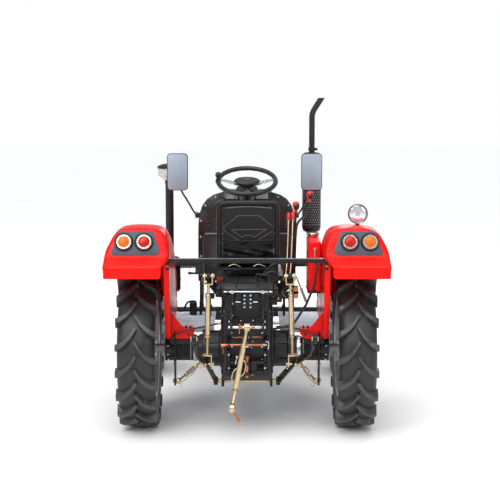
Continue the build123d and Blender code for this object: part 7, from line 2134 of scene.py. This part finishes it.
def front_axle():
    """Axle beam with telescopic ends, clamp bolts, kingpin bushes, pivot pin and steering barrel."""
    grey = [box("beam", place(-300, PIVOT_Y - 45, 430), place(300, PIVOT_Y + 45, 496), 0.010, 3)]
    bright = [bar("pivot_pin", place(0, PIVOT_Y - 68, 470), place(0, PIVOT_Y + 68, 470), 0.020)]
    spots = []
    for side in (LEFT, RIGHT):
        king = side * 575
        grey.append(box("beam_arm", *sorted_low(side * 0.290, AXLE_Y + 1.623, 0.443, side * 0.560, AXLE_Y + 1.677,
                                                0.497), 0.005))
        grey.append(spun("king_bush", [(0.415, 0.0205), (0.415, 0.030), (0.419, 0.034), (0.551, 0.034), (0.555, 0.030),
                                       (0.555, 0.0205)], place(king, PIVOT_Y, 0), (0, 0, 1), 40))
        grey.append(box("beam_collar", *sorted_low(side * 0.270, AXLE_Y + 1.606, 0.428, side * 0.300, AXLE_Y + 1.694,
                                                   0.512), 0.006))
        spots += [(place(side * x, PIVOT_Y - 45, 470), (0, -1, 0)) for x in (200, 250)]
    grey.append(bar("ram_barrel", place(-20, 1770, 398), place(-352, 1770, 398), 0.025, edge=0.003, sides=32))
    grey.append(box("ram_lug", place(-90, 1670, 404), place(-30, 1768, 434), 0.003))
    bright.append(spun("ram_gland", [(0.0, 0.0125), (0.0, 0.0235), (0.012, 0.0235), (0.012, 0.0125)],
                       place(-360, 1770, 398), (1, 0, 0), 32))
    bright.append(bolts("beam_bolts", spots, 0.012, 0.008))
    bright += [bar("ram_port", place(x, 1770, 418), place(x, 1770, 436), 0.008) for x in (-60, -320)]
    return [painted(piece, CAST_GREY) for piece in grey] + [painted(piece, BRIGHT_STEEL) for piece in bright]


dressed(joined("front_axle_looks", front_axle()), "chassis", None, ("front_axle",))


def knuckle(side):
    """Steering knuckle: kingpin, cap with grease nipple, stub axle and its forged arms."""
    king, z = side * 575, FRONT_R * 1000
    low, high = 364, 378
    pieces = [bar("kingpin", place(king, PIVOT_Y, 395), place(king, PIVOT_Y, 569), 0.020),
              bar("king_cap", place(king, PIVOT_Y, 556), place(king, PIVOT_Y, 569), 0.030, edge=0.003),
              bar("king_foot", place(king, PIVOT_Y, z - 34), place(king, PIVOT_Y, 414), 0.034, edge=0.004),
              bar("stub_axle", place(king, PIVOT_Y, z), place(side * 735, PIVOT_Y, z), 0.026, edge=0.003)]
    ends = [-140] + ([120] if side == LEFT else [])
    for reach in ends:
        way = math.copysign(1, reach)
        arm = slab("steering_arm", [place(king + dx, PIVOT_Y + dy, low) for dx, dy in
                                    ((-16, -way * 10), (16, -way * 10), (16, reach - way * 4), (10, reach + way * 10),
                                     (0, reach + way * 15), (-10, reach + way * 10), (-16, reach - way * 4))],
                   (0, 0, (high - low) * MM), 0.003, 2)
        pieces.append(arm)
    pieces.append(bar("arm_pin", place(king, PIVOT_Y - 140, high - 2), place(king, PIVOT_Y - 140, 414), 0.008))
    if side == LEFT:
        pieces.append(bar("ram_pin", place(king, PIVOT_Y + 120, high - 2), place(king, PIVOT_Y + 120, 382), 0.012))
    black = [painted(piece, FRAME_BLACK) for piece in pieces]
    nipple = bar("grease_nipple", place(king + side * 12, PIVOT_Y, 566), place(king + side * 12, PIVOT_Y, 569), 0.004)
    return black + [painted(nipple, BRIGHT_STEEL)]


for side, body in ((LEFT, "knuckle_left"), (RIGHT, "knuckle_right")):
    dressed(joined(body + "_looks", knuckle(side)), body, None, (body,))


def tie_rod():
    """Tie rod with threaded ends, lock nuts and round joints."""
    y, z = PIVOT_Y - 140, 398
    pieces = [bar("tie_tube", place(-440, y, z), place(440, y, z), 0.012, edge=0.002)]
    for side in (LEFT, RIGHT):
        pieces.append(thread("tie_thread", place(side * 430, y, z), place(side * 548, y, z), 0.0085))
        pieces.append(nut("tie_nut", place(side * 442, y, z), place(side * 454, y, z), 0.027))
        pieces.append(spun("tie_joint", [(-0.018, 0.0083), (-0.018, 0.015), (-0.012, 0.019), (0.006, 0.019),
                                         (0.012, 0.014), (0.012, 0.0083)], place(side * 575, y, z), (0, 0, 1), 32))
    return joined("tie_rod_looks", pieces)


dressed(tie_rod(), "tie_rod", BRIGHT_STEEL, ("tie_rod",))


def steering_rod():
    """Bright rod of the steering ram with its clevis eye."""
    y, z = PIVOT_Y + 120, 398
    pieces = [bar("ram_rod", place(-190, y, z), place(-560, y, z), 0.012, edge=0.001),
              nut("ram_nut", place(-536, y, z), place(-548, y, z), 0.028),
              spun("ram_eye", [(-0.014, 0.0), (-0.014, 0.017), (-0.010, 0.019), (0.010, 0.019), (0.014, 0.017),
                               (0.014, 0.0)], place(-575, y, z), (0, 0, 1), 32, closed=False)]
    return joined("steering_rod_looks", pieces)


dressed(steering_rod(), "steering_rod", BRIGHT_STEEL, ("steering_rod",))


# ---------------------------------------------------------------- held cables and small trim
def cables():
    """Thin black cables over the foot plates and the short hoses behind the lever quadrant."""
    runs = (((-520, -60, 560), (-507, -128, 598), (-463, -132, 634), (-399, -130, 658), (-289, -126, 682),
             (-190, -120, 700)),
            ((190, -150, 690), (319, -130, 676), (365, -130, 656), (476, -132, 622), (512, -120, 580),
             (520, -60, 550)))
    thin = [tube("foot_cable", [place(*spot) for spot in run], 0.005) for run in runs]
    arcs = (((110, -60, 1002), (128, -80, 1048), (170, -88, 1092), (226, -80, 1100), (232, -60, 1040), (222, -50, 930)),
            ((90, -100, 1002), (120, -118, 1030), (176, -120, 1052), (200, -110, 1010), (196, -90, 946)))
    thick = [tube("short_hose", [place(*spot) for spot in run], 0.0085) for run in arcs]
    springs = [tube("seat_clip", [place(x + dx, -14, z) for dx, z in ((0, 1062), (24, 1078), (52, 1074), (78, 1060))],
                    0.003) for x in (-121, 42)]
    linkage = [bar("cross_link", place(-486, 700, 640), place(-326, 700, 652), 0.010),
               box("link_block", place(-408, 686, 612), place(-356, 744, 700), 0.006, 3),
               box("link_post", place(-338, 700, 608), place(-320, 744, 712), 0.004),
               tube("link_arm", [place(-446, 704, 642), place(-436, 704, 690), place(-400, 704, 712),
                                 place(-362, 704, 706)], 0.007)]
    return ([painted(piece, HOSE_RUBBER) for piece in thin + thick] + [painted(piece, ZINC) for piece in springs]
            + [painted(piece, FRAME_BLACK) for piece in linkage])


dressed(joined("cables_and_clips", cables()), "chassis", None)
